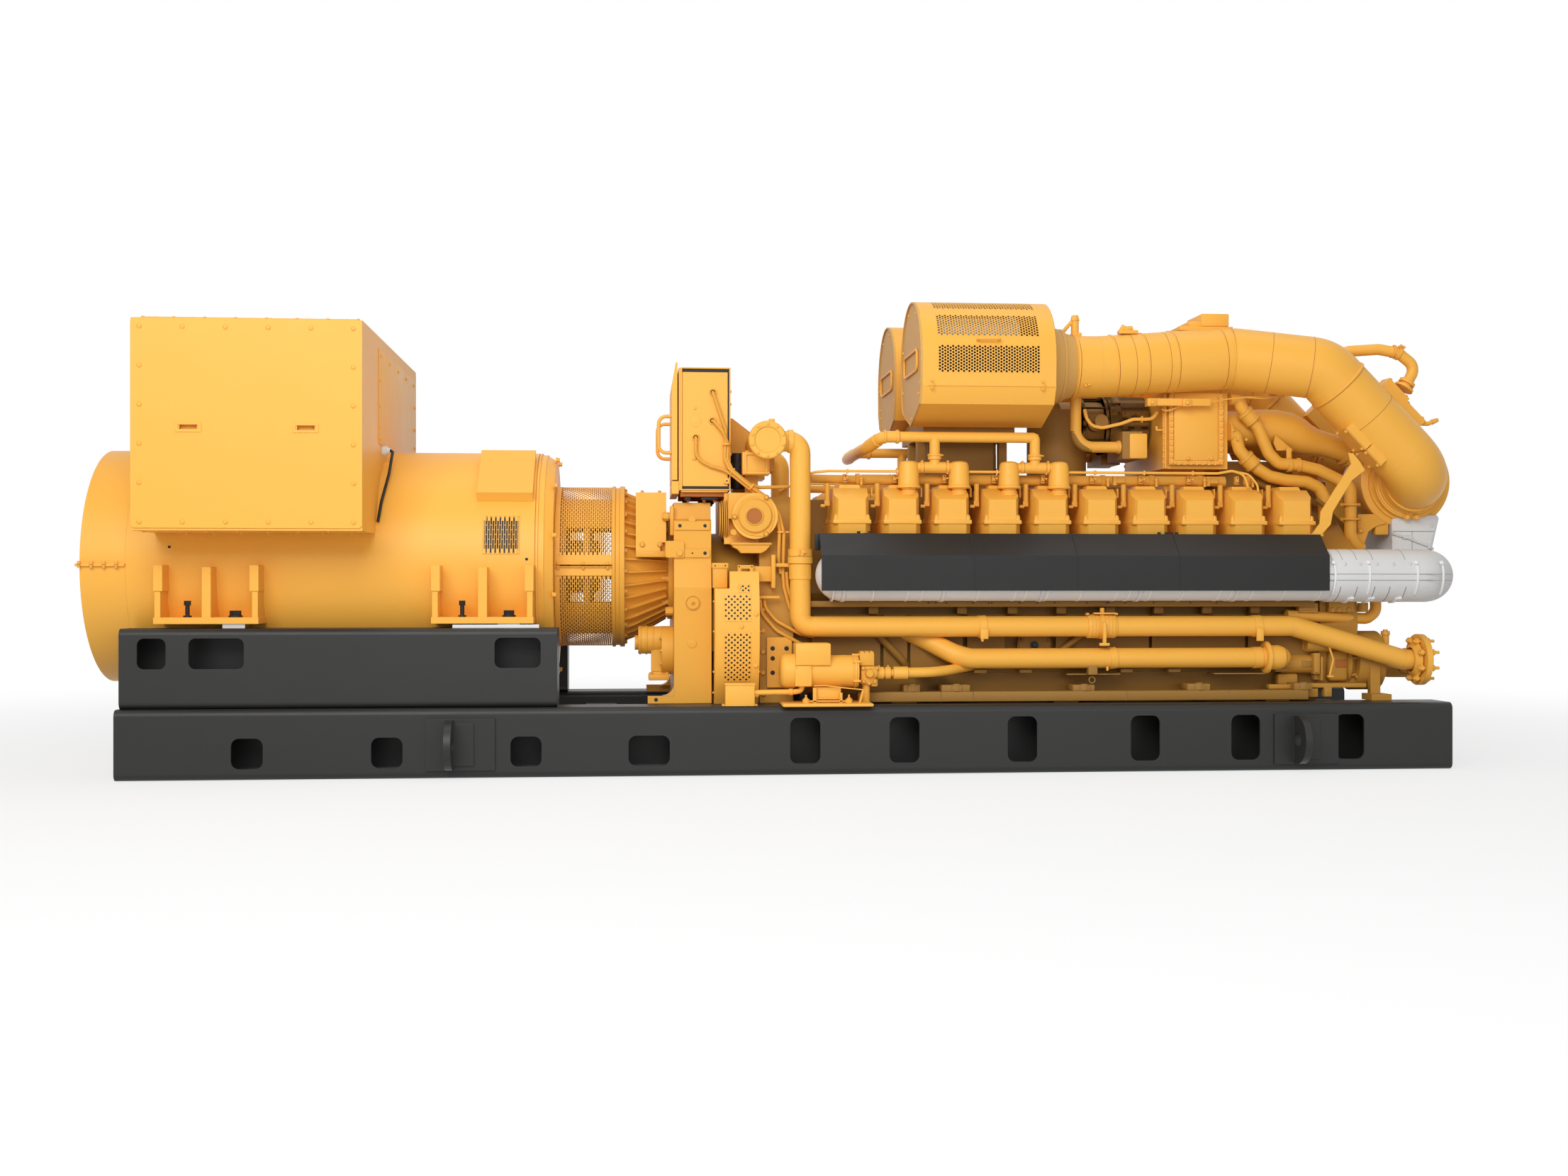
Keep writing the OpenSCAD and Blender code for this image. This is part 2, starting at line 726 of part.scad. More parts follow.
breather_y = 500;
cup_lead = 52;
module breathers() {
    top = valve_z + 113;
    link_z = valve_z + 84;
    header_z = valve_z + 228;
    x0 = cyl_x[1] - 81;
    x1 = cyl_x[3] + 183;
    color(yellow) both_sides() {
        for (i = [1 : 4]) difference() {
            union() {
                bar_z([cyl_x[i] + cup_lead, -breather_y, head_z + 119], 39, 60);
                bar_z([cyl_x[i] + cup_lead, -breather_y, valve_z - 19], 56, 14);
                bar_z([cyl_x[i] + cup_lead, -breather_y, valve_z - 5], 50, top - valve_z + 5);
            }
            cover_hood(cyl_x[i] + cup_lead, 150, 150);
        }
        for (i = [1, 3]) {
            bar_x([cyl_x[i] + cup_lead, -breather_y, link_z], 22.5, pitch);
            bar_z([cyl_x[i] + 183, -breather_y, link_z], 25, header_z - link_z);
        }
        bar_x([x0, -breather_y, header_z], 24, x1 + 24 - x0);
        bar_x([x0, -breather_y, header_z], 30, 96);
        pipe([[x0, -breather_y, header_z], [x0 - 40, -breather_y, header_z],
            [x0 - 80, -breather_y + 90, header_z - 80], [x0 - 110, -breather_y + 190, header_z - 85]], 26, 40);
    }
}

// ---- exhaust -------------------------------------------------------------------------

shield_x0 = block_x0 + 110;
shield_x1 = cyl_x[bank_count - 1] + 115;
manifold_x0 = shield_x0 - 15;

module exhaust_manifolds() {
    color(silver) both_sides() {
        capsule_x([manifold_x0, -manifold_y, manifold_z], manifold_r, shield_x1 + 25 - manifold_x0);
        for (x = cyl_x) block([x - 45, -manifold_y, manifold_z - 50], [x + 45, -block_out, manifold_z + 50]);
        for (x = [shield_x0 + 100 : 470 : shield_x1 - 40])
            bar_x([x, -manifold_y, manifold_z], manifold_r + 4, 18);
        pipe([[shield_x1 + 25, -manifold_y, manifold_z], [turbo_x, -manifold_y, manifold_z],
            [turbo_x, -box_half_w, manifold_z]], elbow_r, elbow_r + 8);
    }
}

turbo_x = block_x1 + turbo_reach;
turbo_z = valve_z + turbo_rise;

shield_y = manifold_y + manifold_r + 4.3 + shield_t;
module exhaust_shields() {
    fold_z = manifold_z + 92;
    bottom_z = fold_z - shield_face_h;
    run = 112;
    rise = 105;
    lean = shield_t * 0.73;
    color(black) both_sides() run_x(shield_x0, shield_x1 - shield_x0)
        polygon([[-shield_y, bottom_z], [-shield_y, fold_z], [-shield_y + run, fold_z + rise],
            [-shield_y + run + lean, fold_z + rise - lean], [-shield_y + shield_t, fold_z - shield_t / 2],
            [-shield_y + shield_t, bottom_z]]);
}

module turbine_housing() {
    color(silver) {
        block([turbo_x - 150, -box_half_w, manifold_z - 130], [turbo_x + 130, box_half_w, manifold_z + 135]);
        block([turbo_x - 130, -turbine_half_w, manifold_z + 135], [turbo_x + 110, turbine_half_w, turbo_z]);
        block([block_x1 + front_l, -100, manifold_z - 90], [turbo_x - 150, 100, manifold_z + 90]);
        bar_y([turbo_x, -turbine_half_w, turbo_z], 165, 2 * turbine_half_w);
        bar_x([turbo_x, 0, turbo_z], outlet_r, 210);
        difference() {
            bar_x([turbo_x + 200, 0, turbo_z], outlet_r + 34, 24);
            for (a = [22.5 : 45 : 350]) translate([turbo_x + 199, 0, turbo_z]) rotate([a, 0, 0])
                bar_x([0, outlet_r + 19, 0], 8, 26);
        }
    }
}

module compressors() {
    color(yellow) both_sides() {
        bar_y([turbo_x, -turbine_half_w - 41, turbo_z], 150, 41);
        bar_y([turbo_x, -turbine_half_w - 150, turbo_z], compressor_r, 109);
        bar_y([turbo_x, -turbine_half_w - 185, turbo_z], compressor_r - 32, 35);
        bar_y([turbo_x, -duct_end_y, turbo_z], inlet_r, duct_end_y - turbine_half_w - 185);
    }
}

// ---- intake --------------------------------------------------------------------------

duct_end_y = turbine_half_w + 215;
duct_bend = duct_r + 12;
neck_x = filter_x0 + filter_l + neck_l;

drop_y = duct_end_y + duct_bend + 8;
duct_path = [[neck_x, -duct_y, filter_z], [neck_x + 130, -duct_y, filter_z],
    [neck_x + duct_rise_l, -duct_y, filter_z + 50], [neck_x + duct_knee_l, -drop_y, filter_z - 10],
    [turbo_x, -drop_y, turbo_z], [turbo_x, -duct_end_y, turbo_z]];

module intake_ducts() {
    color(yellow) both_sides() pipe(duct_path, duct_r, duct_bend);
}

// Boxes under the sloping duct and the strut from them down to the last cylinder head.
module duct_brackets() {
    u = heading(duct_path, 3);
    mid = duct_path[3] + u * 330;
    lean = atan2(-u.z, u.x);
    foot_x = cyl_x[bank_count - 1] + 104 + cover_lead;
    foot_l = 70 - cover_lead;
    color(yellow) both_sides() {
        difference() {
            union() {
                translate(mid) rotate([0, lean, 0]) {
                    block([-110, -60, -duct_r - 60], [0, 60, -duct_r + 30]);
                    block([0, -100, -duct_r - 70], [140, 60, -duct_r + 40]);
                }
                rotate([90, 0, 0]) translate([0, 0, drop_y + 40]) linear_extrude(8) polygon([
                    [foot_x, deck_z], [foot_x + foot_l, deck_z], [foot_x + foot_l, deck_z + 80],
                    [mid.x - 20, mid.z - duct_r - 90], [mid.x + 30, mid.z - duct_r - 20],
                    [mid.x - 60, mid.z - duct_r + 20], [mid.x - 90, mid.z - duct_r - 60],
                    [foot_x, deck_z + 110]]);
            }
            strut(duct_path[3], duct_path[4], duct_r + seat);
        }
        block([foot_x, -drop_y - 40, deck_z], [foot_x + foot_l, -block_out + 40, deck_z + 12]);
    }
}

keel = 300;
module filter_section() {
    circle(filter_r);
    polygon([[-filter_r, 0], [-filter_r + 4, -135], [-filter_r + 45, -215], [0, -keel],
        [filter_r - 45, -215], [filter_r - 4, -135], [filter_r, 0]]);
}

module air_filters() {
    color(yellow) both_sides() translate([0, -duct_y, filter_z]) {
        run_x(filter_x0, filter_l) filter_section();
        run_x(filter_x0 - 10, 10) circle(filter_r - 12);
        bar_x([filter_x0 + filter_l, 0, 0], 180, 60);
        bar_x([filter_x0 + filter_l + 60, 0, 0], 166, neck_l - 60);
    }
}

support_top = filter_z - keel;
support_half_w = duct_y - 70;
module filter_support() {
    x0 = filter_x0 + 65;
    x1 = filter_x0 + 518;
    color(shade) {
        difference() {
            block([x0, -support_half_w, support_top - 40], [x1, support_half_w, support_top + 55]);
            for (s = [-1, 1]) translate([0, s * duct_y, filter_z])
                run_x(x0 - 1, x1 - x0 + 2) offset_section();
        }
        for (x = [x0, x1 - 40]) for (s = [-1, 1])
            block([x, s * 130 - 25, plenum_top], [x + 40, s * 130 + 25, support_top - 40]);
        difference() {
            block([x0 + 60, -120, plenum_top], [x1 - 60, 120, support_top - 40]);
            bar_y([x0 + 226, -121, plenum_top - 40], 130, 242);
        }
    }
}

// The filter's outline with its seat clearance.
module offset_section() {
    circle(filter_r + seat);
    polygon([[-filter_r, 0], [-filter_r + 4, -135], [-filter_r + 45, -215 - seat], [0, -keel - seat],
        [filter_r - 45, -215 - seat], [filter_r - 4, -135], [filter_r, 0]]);
}

plenum_top = deck_z + plenum_h;
throttle_y = 290;
module intake_plenum() {
    mix_x = neck_x + 195;
    color(shade) {
        block([block_x0 + 60, -170, deck_z], [block_x1 - 60, 170, plenum_top]);
        bar_z([neck_x + 30, 0, plenum_top], 150, filter_z - 180 - plenum_top);
        bar_x([neck_x + 30, 0, filter_z - 250], mixer_r, cooler_x0 - neck_x - 30);
        both_sides() bar_y([mix_x, -mixer_r - 34, filter_z - 250], 40, 60);
        both_sides() difference() {
            pipe([[neck_x + 55, -throttle_y, filter_z - 60], [neck_x + 55, -throttle_y, plenum_top + 260],
                [neck_x + 280, -throttle_y, plenum_top + 260]], 27, 70);
            bar_x([neck_x, -duct_y, filter_z], duct_r + seat, 130);
        }
        both_sides() block([neck_x + 280, -throttle_y - 40, plenum_top + 200],
            [neck_x + 380, -60, plenum_top + 335]);
    }
}

cooler_x0 = neck_x + cooler_gap;
cooler_z = plenum_top + cooler_rise;
module aftercooler() {
    color(yellow) {
        block([cooler_x0, -cooler_half_w, cooler_z],
              [cooler_x0 + cooler_l, cooler_half_w, cooler_z + cooler_h]);
        block([cooler_x0 + 60, -160, plenum_top], [cooler_x0 + cooler_l - 60, 160, cooler_z]);
        both_sides() block([cooler_x0 + 35, -cooler_half_w - 22, cooler_z + 32],
            [cooler_x0 + cooler_l - 45, -cooler_half_w, cooler_z + cooler_h - 8]);
    }
}

// Charge air elbows from the compressors to the cooler's front face.
module charge_air_pipes() {
    x1 = cooler_x0 + cooler_l;
    y = turbine_half_w + 95;
    color(shade) both_sides() difference() {
        pipe([[x1, -y, cooler_z + 210], [x1 + 180, -y, cooler_z + 210], [x1 + 420, -y, turbo_z + 110],
            [turbo_x, -y, turbo_z + 110]], 92, 110);
        bar_y([turbo_x, -duct_end_y, turbo_z], compressor_r + seat, duct_end_y);
    }
}

// ---- water ---------------------------------------------------------------------------

module water_flange(x) {
    difference() {
        bar_x([x, -upper_pipe_y, pipe_z - 165], flange_r, flange_t);
        for (i = [0 : 7]) translate([x - 1, -upper_pipe_y, pipe_z - 165]) rotate([22.5 + 45 * i, 0, 0])
            bar_x([0, flange_pcd / 2, 0], flange_hole_r, flange_t + 2);
    }
}

water_x1 = turbo_x - 46;
module water_pipes() {
    riser_x = block_x0 + 27;
    color(yellow) both_sides() difference() {
        union() {
            pipe([[thermostat_x + thermostat_r - 30, -upper_pipe_y, thermostat_z],
                [riser_x, -upper_pipe_y, thermostat_z],
                [riser_x, -upper_pipe_y, pipe_z], [cyl_x[9], -upper_pipe_y, pipe_z],
                [water_x1 - 95, -upper_pipe_y, pipe_z - 165], [water_x1, -upper_pipe_y, pipe_z - 165]],
                upper_pipe_r, upper_pipe_r + 9);
            water_flange(water_x1 - flange_t);
        }
        bar_y([thermostat_x, -upper_pipe_y - 100, thermostat_z], thermostat_r - 12 + seat, 200);
        bar_x([water_x1 - 60, -upper_pipe_y, pipe_z - 165], flange_bore_r, 61);
    }
}

module return_pipes() {
    y = upper_pipe_y + 10;
    color(yellow) both_sides() {
        pipe([[cyl_x[1] + 10, -block_half_w, return_z + 44], [cyl_x[1] + 10, -y, return_z + 44],
            [cyl_x[2] + 90, -y, return_z], [cyl_x[8] + 204, -y, return_z],
            [cyl_x[8] + 204, -block_half_w, return_z]], lower_pipe_r, lower_pipe_r + 30);
    }
}

thermostat_x = plate_x0 + 28;
thermostat_z = starter_z + 112 + 240;
thermostat_y = upper_pipe_y + upper_pipe_r + 8;
module thermostats() {
    color(yellow) both_sides() {
        bar_y([thermostat_x, -thermostat_y - 18, thermostat_z], thermostat_r, 18);
        bar_y([thermostat_x, -thermostat_y, thermostat_z], thermostat_r - 12, thermostat_y - 200);
        block([thermostat_x - 90, -400, starter_z + 112], [thermostat_x - 29, -200, thermostat_z - 60]);
        block([thermostat_x - 90, -400, thermostat_z - 130], [thermostat_x + 49, -200, thermostat_z - 30]);
    }
}

module starter_motor() {
    color(yellow) {
        block([starter_x - 140, -450, starter_z - 130], [starter_x + 26, -420, starter_z + 112]);
        difference() {
            bar_y([starter_x, -560, starter_z], 108, 110);
            bar_y([starter_x, -561, starter_z], 36, 60);
        }
    }
}

// ---- control panel -------------------------------------------------------------------

panel_x1 = plate_x0 - 136;
panel_x0 = panel_x1 - panel_d;
panel_y0 = -450;
panel_z = crank_z + 647;
door_x1 = panel_x0 - door_gap;
door_z = gen_z + guard_r + 10;
handle_z = panel_z + handle_rise;

module control_panel() {
    color(yellow) {
        difference() {
            block([panel_x0, panel_y0, panel_z], [panel_x1, panel_y0 + panel_w, panel_z + panel_h]);
            block([panel_x0 - 1, panel_y0 + 30, panel_z + 30],
                  [panel_x0 + 60, panel_y0 + panel_w - 30, panel_z + panel_h - 30]);
        }
        block([door_x1 - door_t, panel_y0 - 6, panel_z - 16], [panel_x0, panel_y0 + panel_w, door_z - 5.5]);
        hinge_lugs();
    }
}

// Bracket from the rear plate up to the panel's back, with hinge lugs left to the panel.
module panel_bracket() {
    y0 = panel_y0 + 262;
    plate_top = starter_z + 112 + seat;
    color(shade) {
        block([panel_x1 + 30, y0, plate_top + 4], [panel_x1 + 50, y0 + 260, panel_z + 150]);
        for (y = [0, 1]) translate([panel_x1, y0 + 20 + 240 * y, 0]) rotate([90, 0, 0])
            linear_extrude(20) polygon([[30, plate_top + 4 * y], [96, plate_top + 4 * y], [99, panel_z + 211],
                [108, panel_z + 299], [26, panel_z + 369], [0, panel_z + 369],
                [0, panel_z + 100], [30, panel_z + 100]]);
    }
}

hinge_x = door_x1 - door_t / 2;
hinge_y = panel_y0 + panel_w + 14;
knuckle_h = 70;
knuckles = [panel_z + 90, panel_z + panel_h - 160];

// Fixed lugs and pins on the panel's far side, one under each knuckle of the door.
module hinge_lugs() {
    for (z = knuckles) {
        block([panel_x0, panel_y0 + panel_w, z - 14], [panel_x0 + 40, hinge_y + door_t / 2, z - seat]);
        block([hinge_x, hinge_y - door_t / 4, z - 14], [panel_x0, hinge_y + door_t / 2, z - seat]);
        bar_z([hinge_x, hinge_y, z - 14], door_t / 2, 14 - seat);
        bar_z([hinge_x, hinge_y, z - 14], hinge_r, knuckle_h + 14);
    }
}

module control_panel_door() {
    x1 = door_x1;
    top = panel_z + panel_h;
    color(yellow) {
        difference() {
            union() {
                translate([0, panel_y0 - 6, 0]) rotate([90, 0, 0]) mirror([0, 0, 1])
                    linear_extrude(panel_w + 6)
                    polygon([[x1 - door_t, door_z], [x1 - door_t, top - 76], [x1 - 8, top + lip_h],
                        [x1, top + lip_h], [x1, door_z]]);
                for (z = knuckles) {
                    block([x1 - door_t, panel_y0 + panel_w, z], [x1, hinge_y, z + knuckle_h]);
                    bar_z([hinge_x, hinge_y, z], door_t / 2, knuckle_h);
                }
            }
            for (z = knuckles) bar_z([hinge_x, hinge_y, z - 1], hinge_r + fit, knuckle_h + 2);
        }
        for (y = [panel_y0 + handle_inset, panel_y0 + panel_w - handle_inset])
            pipe([[x1 - door_t, y, handle_z - handle_h / 2],
                [x1 - door_t - handle_reach, y, handle_z - handle_h / 2],
                [x1 - door_t - handle_reach, y, handle_z + handle_h / 2],
                [x1 - door_t, y, handle_z + handle_h / 2]], handle_r, 36);
    }
}

// ---- front end and small units -------------------------------------------------------

module front_housing() {
    color(shade) {
        w = front_half_w;
        run_x(block_x1, front_l) polygon([[40 - w, rail_h + 60], [-w, crank_z], [30 - w, deck_z],
            [-170, deck_z + 180], [170, deck_z + 180], [w - 30, deck_z], [w, crank_z],
            [w - 40, rail_h + 60]]);
    }
}

volute_z = crank_z - 176;
module water_pumps() {
    foot_x = block_x1 + front_l + 20;
    color(shade) both_sides() {
        bar_x([block_x1 + front_l, -355, volute_z], volute_r, 135);
        block([foot_x, -rail_in - 90, rail_h], [foot_x + 100, -rail_in + 25, rail_h + 30]);
        block([foot_x + 30, -rail_in - 8, rail_h + 30], [foot_x + 80, -rail_in + 25, volute_z]);
    }
}

module prelube_pump() {
    x0 = block_x0 - 75;
    y = -655;
    z = rail_h + 158;
    color(yellow) {
        block([x0 - 10, y - 85, rail_h], [x0 + motor_l + 60, y + 85, rail_h + 14]);
        block([x0 + 60, y - 50, rail_h + 14], [x0 + 240, y + 50, z - 40]);
        bar_x([x0, y, z], motor_r, motor_l);
        block([x0 + 75, y - 60, z + 30], [x0 + 242, y + 60, z + 130]);
        block([x0 + motor_l, y - 35, z - 60], [x0 + motor_l + 90, y + 35, z + 95]);
    }
}

module junction_boxes() {
    color(yellow) both_sides()
        block([gearbox_x1 + 53, -base_w / 2 + 20, rail_h],
            [gearbox_x1 + 189, -guard_reach - 10, rail_h + 104]);
}

base_rails();
base_cross_members();
lifting_lugs();
generator_plinths();
levelling_shims();
generator_feet();
generator_barrel();
generator_rear_cover();
drive_end_ring();
inspection_cover();
terminal_box();
terminal_box_covers();
coupling_guard();
coupling_adapter();
bell_housing();
bell_cover();
gearbox_case();
gearbox_oil_pump();
flywheel();
flywheel_housing();
flywheel_guards();
engine_block();
oil_pan();
cylinder_heads();
valve_covers();
breathers();
exhaust_manifolds();
exhaust_shields();
turbine_housing();
compressors();
intake_ducts();
duct_brackets();
air_filters();
filter_support();
aftercooler();
charge_air_pipes();
intake_plenum();
water_pipes();
return_pipes();
thermostats();
starter_motor();
control_panel();
panel_bracket();
control_panel_door();
front_housing();
water_pumps();
prelube_pump();
junction_boxes();
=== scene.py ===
# %% [markdown]
# # A gas generator set, dressed for its portrait
# The solid model of the machine is loaded as a fixed frame, and this lesson adds what a solid
# modeller leaves out: bolts, clamps, conduits, perforated guards, seams, and paint.
# Everything is in metres, +X runs along the shaft, and the service side faces -Y.

# %% Load the frame
import bpy
import bmesh
from math import asin, cos, degrees, radians, sin, sqrt, tan, tau
from mathutils import Matrix, Vector


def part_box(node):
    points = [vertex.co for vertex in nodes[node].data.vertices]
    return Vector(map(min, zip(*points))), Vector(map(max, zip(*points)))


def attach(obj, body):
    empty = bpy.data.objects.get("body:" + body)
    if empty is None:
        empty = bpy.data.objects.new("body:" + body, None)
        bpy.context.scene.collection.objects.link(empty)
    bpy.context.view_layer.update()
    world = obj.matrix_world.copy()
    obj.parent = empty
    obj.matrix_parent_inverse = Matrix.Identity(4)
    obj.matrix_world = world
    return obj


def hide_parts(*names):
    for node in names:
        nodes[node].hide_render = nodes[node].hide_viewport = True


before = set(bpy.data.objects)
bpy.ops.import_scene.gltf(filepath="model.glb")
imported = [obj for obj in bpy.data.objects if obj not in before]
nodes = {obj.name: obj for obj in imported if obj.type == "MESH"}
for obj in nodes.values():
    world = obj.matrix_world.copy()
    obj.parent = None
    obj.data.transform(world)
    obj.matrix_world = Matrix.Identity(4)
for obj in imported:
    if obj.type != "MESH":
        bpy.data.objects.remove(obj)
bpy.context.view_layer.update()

# %% [markdown]
# ## Camera
# A long side view of a big machine is taken from a stand well back, with the film kept upright so
# that vertical edges stay parallel. The camera looks level, five degrees off square.

# %% Camera
camera_data = bpy.data.cameras.new("side_camera")
camera_data.lens = 39.06
camera_data.sensor_width = 36
camera_data.sensor_fit = "HORIZONTAL"
camera = bpy.data.objects.new("side_camera", camera_data)
camera.location = (-0.784, -8.545, 0.863)
camera.rotation_euler = (radians(90), 0, radians(-5))
bpy.context.scene.collection.objects.link(camera)
bpy.context.scene.camera = camera
bpy.context.scene.view_settings.view_transform = "Standard"
print("camera at", tuple(camera.location))

# %% [markdown]
# ## Effects shared by several finishes
# Paint drifts a little in tone over a large casting and has a fine orange peel; sharp edges get a
# painted highlight. Each effect is a node group, so every finish can place it with values of its own.

# %% Node groups
def new_group(name, inputs, outputs):
    group = bpy.data.node_groups.new(name, "ShaderNodeTree")
    for label, kind, value in inputs:
        socket = group.interface.new_socket(name=label, in_out="INPUT", socket_type=kind)
        if value is not None:
            socket.default_value = value
    for label, kind in outputs:
        group.interface.new_socket(name=label, in_out="OUTPUT", socket_type=kind)
    source = group.nodes.new("NodeGroupInput")
    sink = group.nodes.new("NodeGroupOutput")
    return group, source, sink


def object_coordinates(tree):
    return tree.nodes.new("ShaderNodeTexCoord").outputs["Object"]


def noise(tree, vector, scale, detail=3.0, rough=0.5):
    node = tree.nodes.new("ShaderNodeTexNoise")
    node.inputs["Scale"].default_value = scale
    node.inputs["Detail"].default_value = detail
    node.inputs["Roughness"].default_value = rough
    tree.links.new(vector, node.inputs["Vector"])
    return node


def math_node(tree, operation, a, b):
    node = tree.nodes.new("ShaderNodeMath")
    node.operation = operation
    for socket, value in zip(node.inputs, (a, b)):
        if isinstance(value, (int, float)):
            socket.default_value = value
        else:
            tree.links.new(value, socket)
    return node.outputs[0]


def mix_colour(tree, blend, factor, a, b):
    node = tree.nodes.new("ShaderNodeMix")
    node.data_type = "RGBA"
    node.blend_type = blend
    for socket, value in zip((node.inputs[0], node.inputs[6], node.inputs[7]), (factor, a, b)):
        if isinstance(value, bpy.types.NodeSocket):
            tree.links.new(value, socket)
        else:
            socket.default_value = value
    return node.outputs[2]


# Slow change of tone over a large surface.
drift, drift_in, drift_out = new_group("tone_drift", [("Colour", "NodeSocketColor", (1, 1, 1, 1)),
    ("Amount", "NodeSocketFloat", 0.1), ("Scale", "NodeSocketFloat", 3.0)], [("Colour", "NodeSocketColor")])
drift_noise = noise(drift, object_coordinates(drift), 1.0, 4.0)
drift.links.new(drift_in.outputs["Scale"], drift_noise.inputs["Scale"])
drift_span = math_node(drift, "MULTIPLY", math_node(drift, "SUBTRACT", drift_noise.outputs[0], 0.5),
    drift_in.outputs["Amount"])
drift_level = math_node(drift, "ADD", drift_span, 1.0)
drift_scale = drift.nodes.new("ShaderNodeVectorMath")
drift_scale.operation = "SCALE"
drift.links.new(drift_in.outputs["Colour"], drift_scale.inputs[0])
drift.links.new(drift_level, drift_scale.inputs["Scale"])
drift.links.new(drift_scale.outputs[0], drift_out.inputs["Colour"])

# Orange peel of sprayed paint, or the skin of a casting when it is coarse.
peel, peel_in, peel_out = new_group("film_texture", [("Scale", "NodeSocketFloat", 400.0),
    ("Depth", "NodeSocketFloat", 1.0)], [("Height", "NodeSocketFloat")])
peel_noise = noise(peel, object_coordinates(peel), 400.0, 2.0)
peel.links.new(peel_in.outputs["Scale"], peel_noise.inputs["Scale"])
peel.links.new(math_node(peel, "MULTIPLY", peel_noise.outputs[0], peel_in.outputs["Depth"]),
    peel_out.inputs["Height"])

# Rounded normals along edges, and a mask of those edges.
edges, edges_in, edges_out = new_group("soft_edges", [("Radius", "NodeSocketFloat", 0.003)],
    [("Normal", "NodeSocketVector"), ("Edge", "NodeSocketFloat")])
edge_bevel = edges.nodes.new("ShaderNodeBevel")
edge_bevel.samples = 4
edges.links.new(edges_in.outputs["Radius"], edge_bevel.inputs["Radius"])
edge_true = edges.nodes.new("ShaderNodeNewGeometry")
edge_dot = edges.nodes.new("ShaderNodeVectorMath")
edge_dot.operation = "DOT_PRODUCT"
edges.links.new(edge_bevel.outputs[0], edge_dot.inputs[0])
edges.links.new(edge_true.outputs["Normal"], edge_dot.inputs[1])
edge_mask = math_node(edges, "MULTIPLY", math_node(edges, "SUBTRACT", 1.0, edge_dot.outputs["Value"]), 4.0)
edges.links.new(edge_bevel.outputs[0], edges_out.inputs["Normal"])
edges.links.new(math_node(edges, "MINIMUM", edge_mask, 1.0), edges_out.inputs["Edge"])
print("node groups:", [g.name for g in bpy.data.node_groups])

# %% [markdown]
# ## Finishes
# The set is sprayed in one satin yellow enamel over castings, sheet and pipes alike, so castings
# differ from sheet only by a coarser skin. The skid and the heat shield are dark satin enamels.
# Darker and browner copies of the yellow paint shade into the colour, on parts under overhangs, in
# recesses and on the filter ends; near black paints the shade in holes, gaps and behind punched sheet.

# %% Finish maker
def place_group(tree, group, **values):
    node = tree.nodes.new("ShaderNodeGroup")
    node.node_tree = group
    for label, value in values.items():
        node.inputs[label].default_value = value
    return node


def finish(name, colour, rough=0.4, metal=0.0, drift_amount=0.08, peel_scale=350.0, peel_depth=0.3, edge=0.003,
        edge_highlight=0.12, bump=0.15, spec=0.5):
    material = bpy.data.materials.new(name)
    material.use_nodes = True
    tree = material.node_tree
    shader = tree.nodes["Principled BSDF"]
    shader.inputs["Metallic"].default_value = metal
    shader.inputs["Specular IOR Level"].default_value = spec
    tone = place_group(tree, drift, Colour=(*colour, 1), Amount=drift_amount, Scale=2.5)
    soft = place_group(tree, edges, Radius=edge)
    # Along sharp edges the colour is mixed toward a paler one: a painted highlight.
    pale = [c + (1 - c) * 0.35 for c in colour]
    edge_lit = mix_colour(tree, "MIX", math_node(tree, "MULTIPLY", soft.outputs["Edge"], edge_highlight),
        tone.outputs[0], (*pale, 1))
    tree.links.new(edge_lit, shader.inputs["Base Color"])
    patch = noise(tree, object_coordinates(tree), 9.0, 4.0)
    spread = math_node(tree, "MULTIPLY_ADD", patch.outputs[0], 0.12)
    tree.nodes[-1].inputs[2].default_value = rough - 0.06
    tree.links.new(spread, shader.inputs["Roughness"])
    skin = place_group(tree, peel, Scale=peel_scale, Depth=peel_depth)
    relief = tree.nodes.new("ShaderNodeBump")
    relief.inputs["Strength"].default_value = bump
    relief.inputs["Distance"].default_value = 0.0006
    tree.links.new(skin.outputs[0], relief.inputs["Height"])
    tree.links.new(soft.outputs["Normal"], relief.inputs["Normal"])
    tree.links.new(relief.outputs[0], shader.inputs["Normal"])
    return material


cast_skin = dict(peel_scale=160.0, peel_depth=1.0, edge=0.005, bump=0.35)
enamel = finish("yellow_enamel", (0.9, 0.452, 0.066), rough=0.4, drift_amount=0.05, spec=0.28)
cast_enamel = finish("cast_enamel", (0.8, 0.392, 0.05), rough=0.46, spec=0.25, drift_amount=0.12,
    **cast_skin)
skid_paint = finish("skid_paint", (0.0245, 0.0245, 0.0237), rough=0.42, spec=0.3, drift_amount=0.15,
    edge_highlight=0.08)
shield_paint = finish("shield_paint", (0.0135, 0.0135, 0.0132), rough=0.38, spec=0.26, drift_amount=0.12,
    edge_highlight=0.1, edge=0.002)
shim_steel = finish("shim_steel", (0.55, 0.55, 0.54), rough=0.35, metal=1.0, peel_scale=900.0)
lagging = finish("lagging", (0.7, 0.7, 0.69), rough=0.55, drift_amount=0.25, peel_scale=90.0, peel_depth=2.0,
    edge=0.006, bump=0.8)
pale_plastic = finish("pale_plastic", (0.72, 0.72, 0.7), rough=0.4, drift_amount=0.03)
# Near black: real rubber of the cable and isolators, and painted shade in holes, gaps and behind punched sheet.
rubber_and_shade_black = finish("rubber_and_shade_black", (0.012, 0.012, 0.012), rough=0.5, drift_amount=0.2, spec=0.3)
# A brown: painted shade in recesses and on undersides, and along the duct joints.
brown_shade = finish("brown_shade_paint", (0.46, 0.15, 0.032), rough=0.55, drift_amount=0.15, spec=0.2)
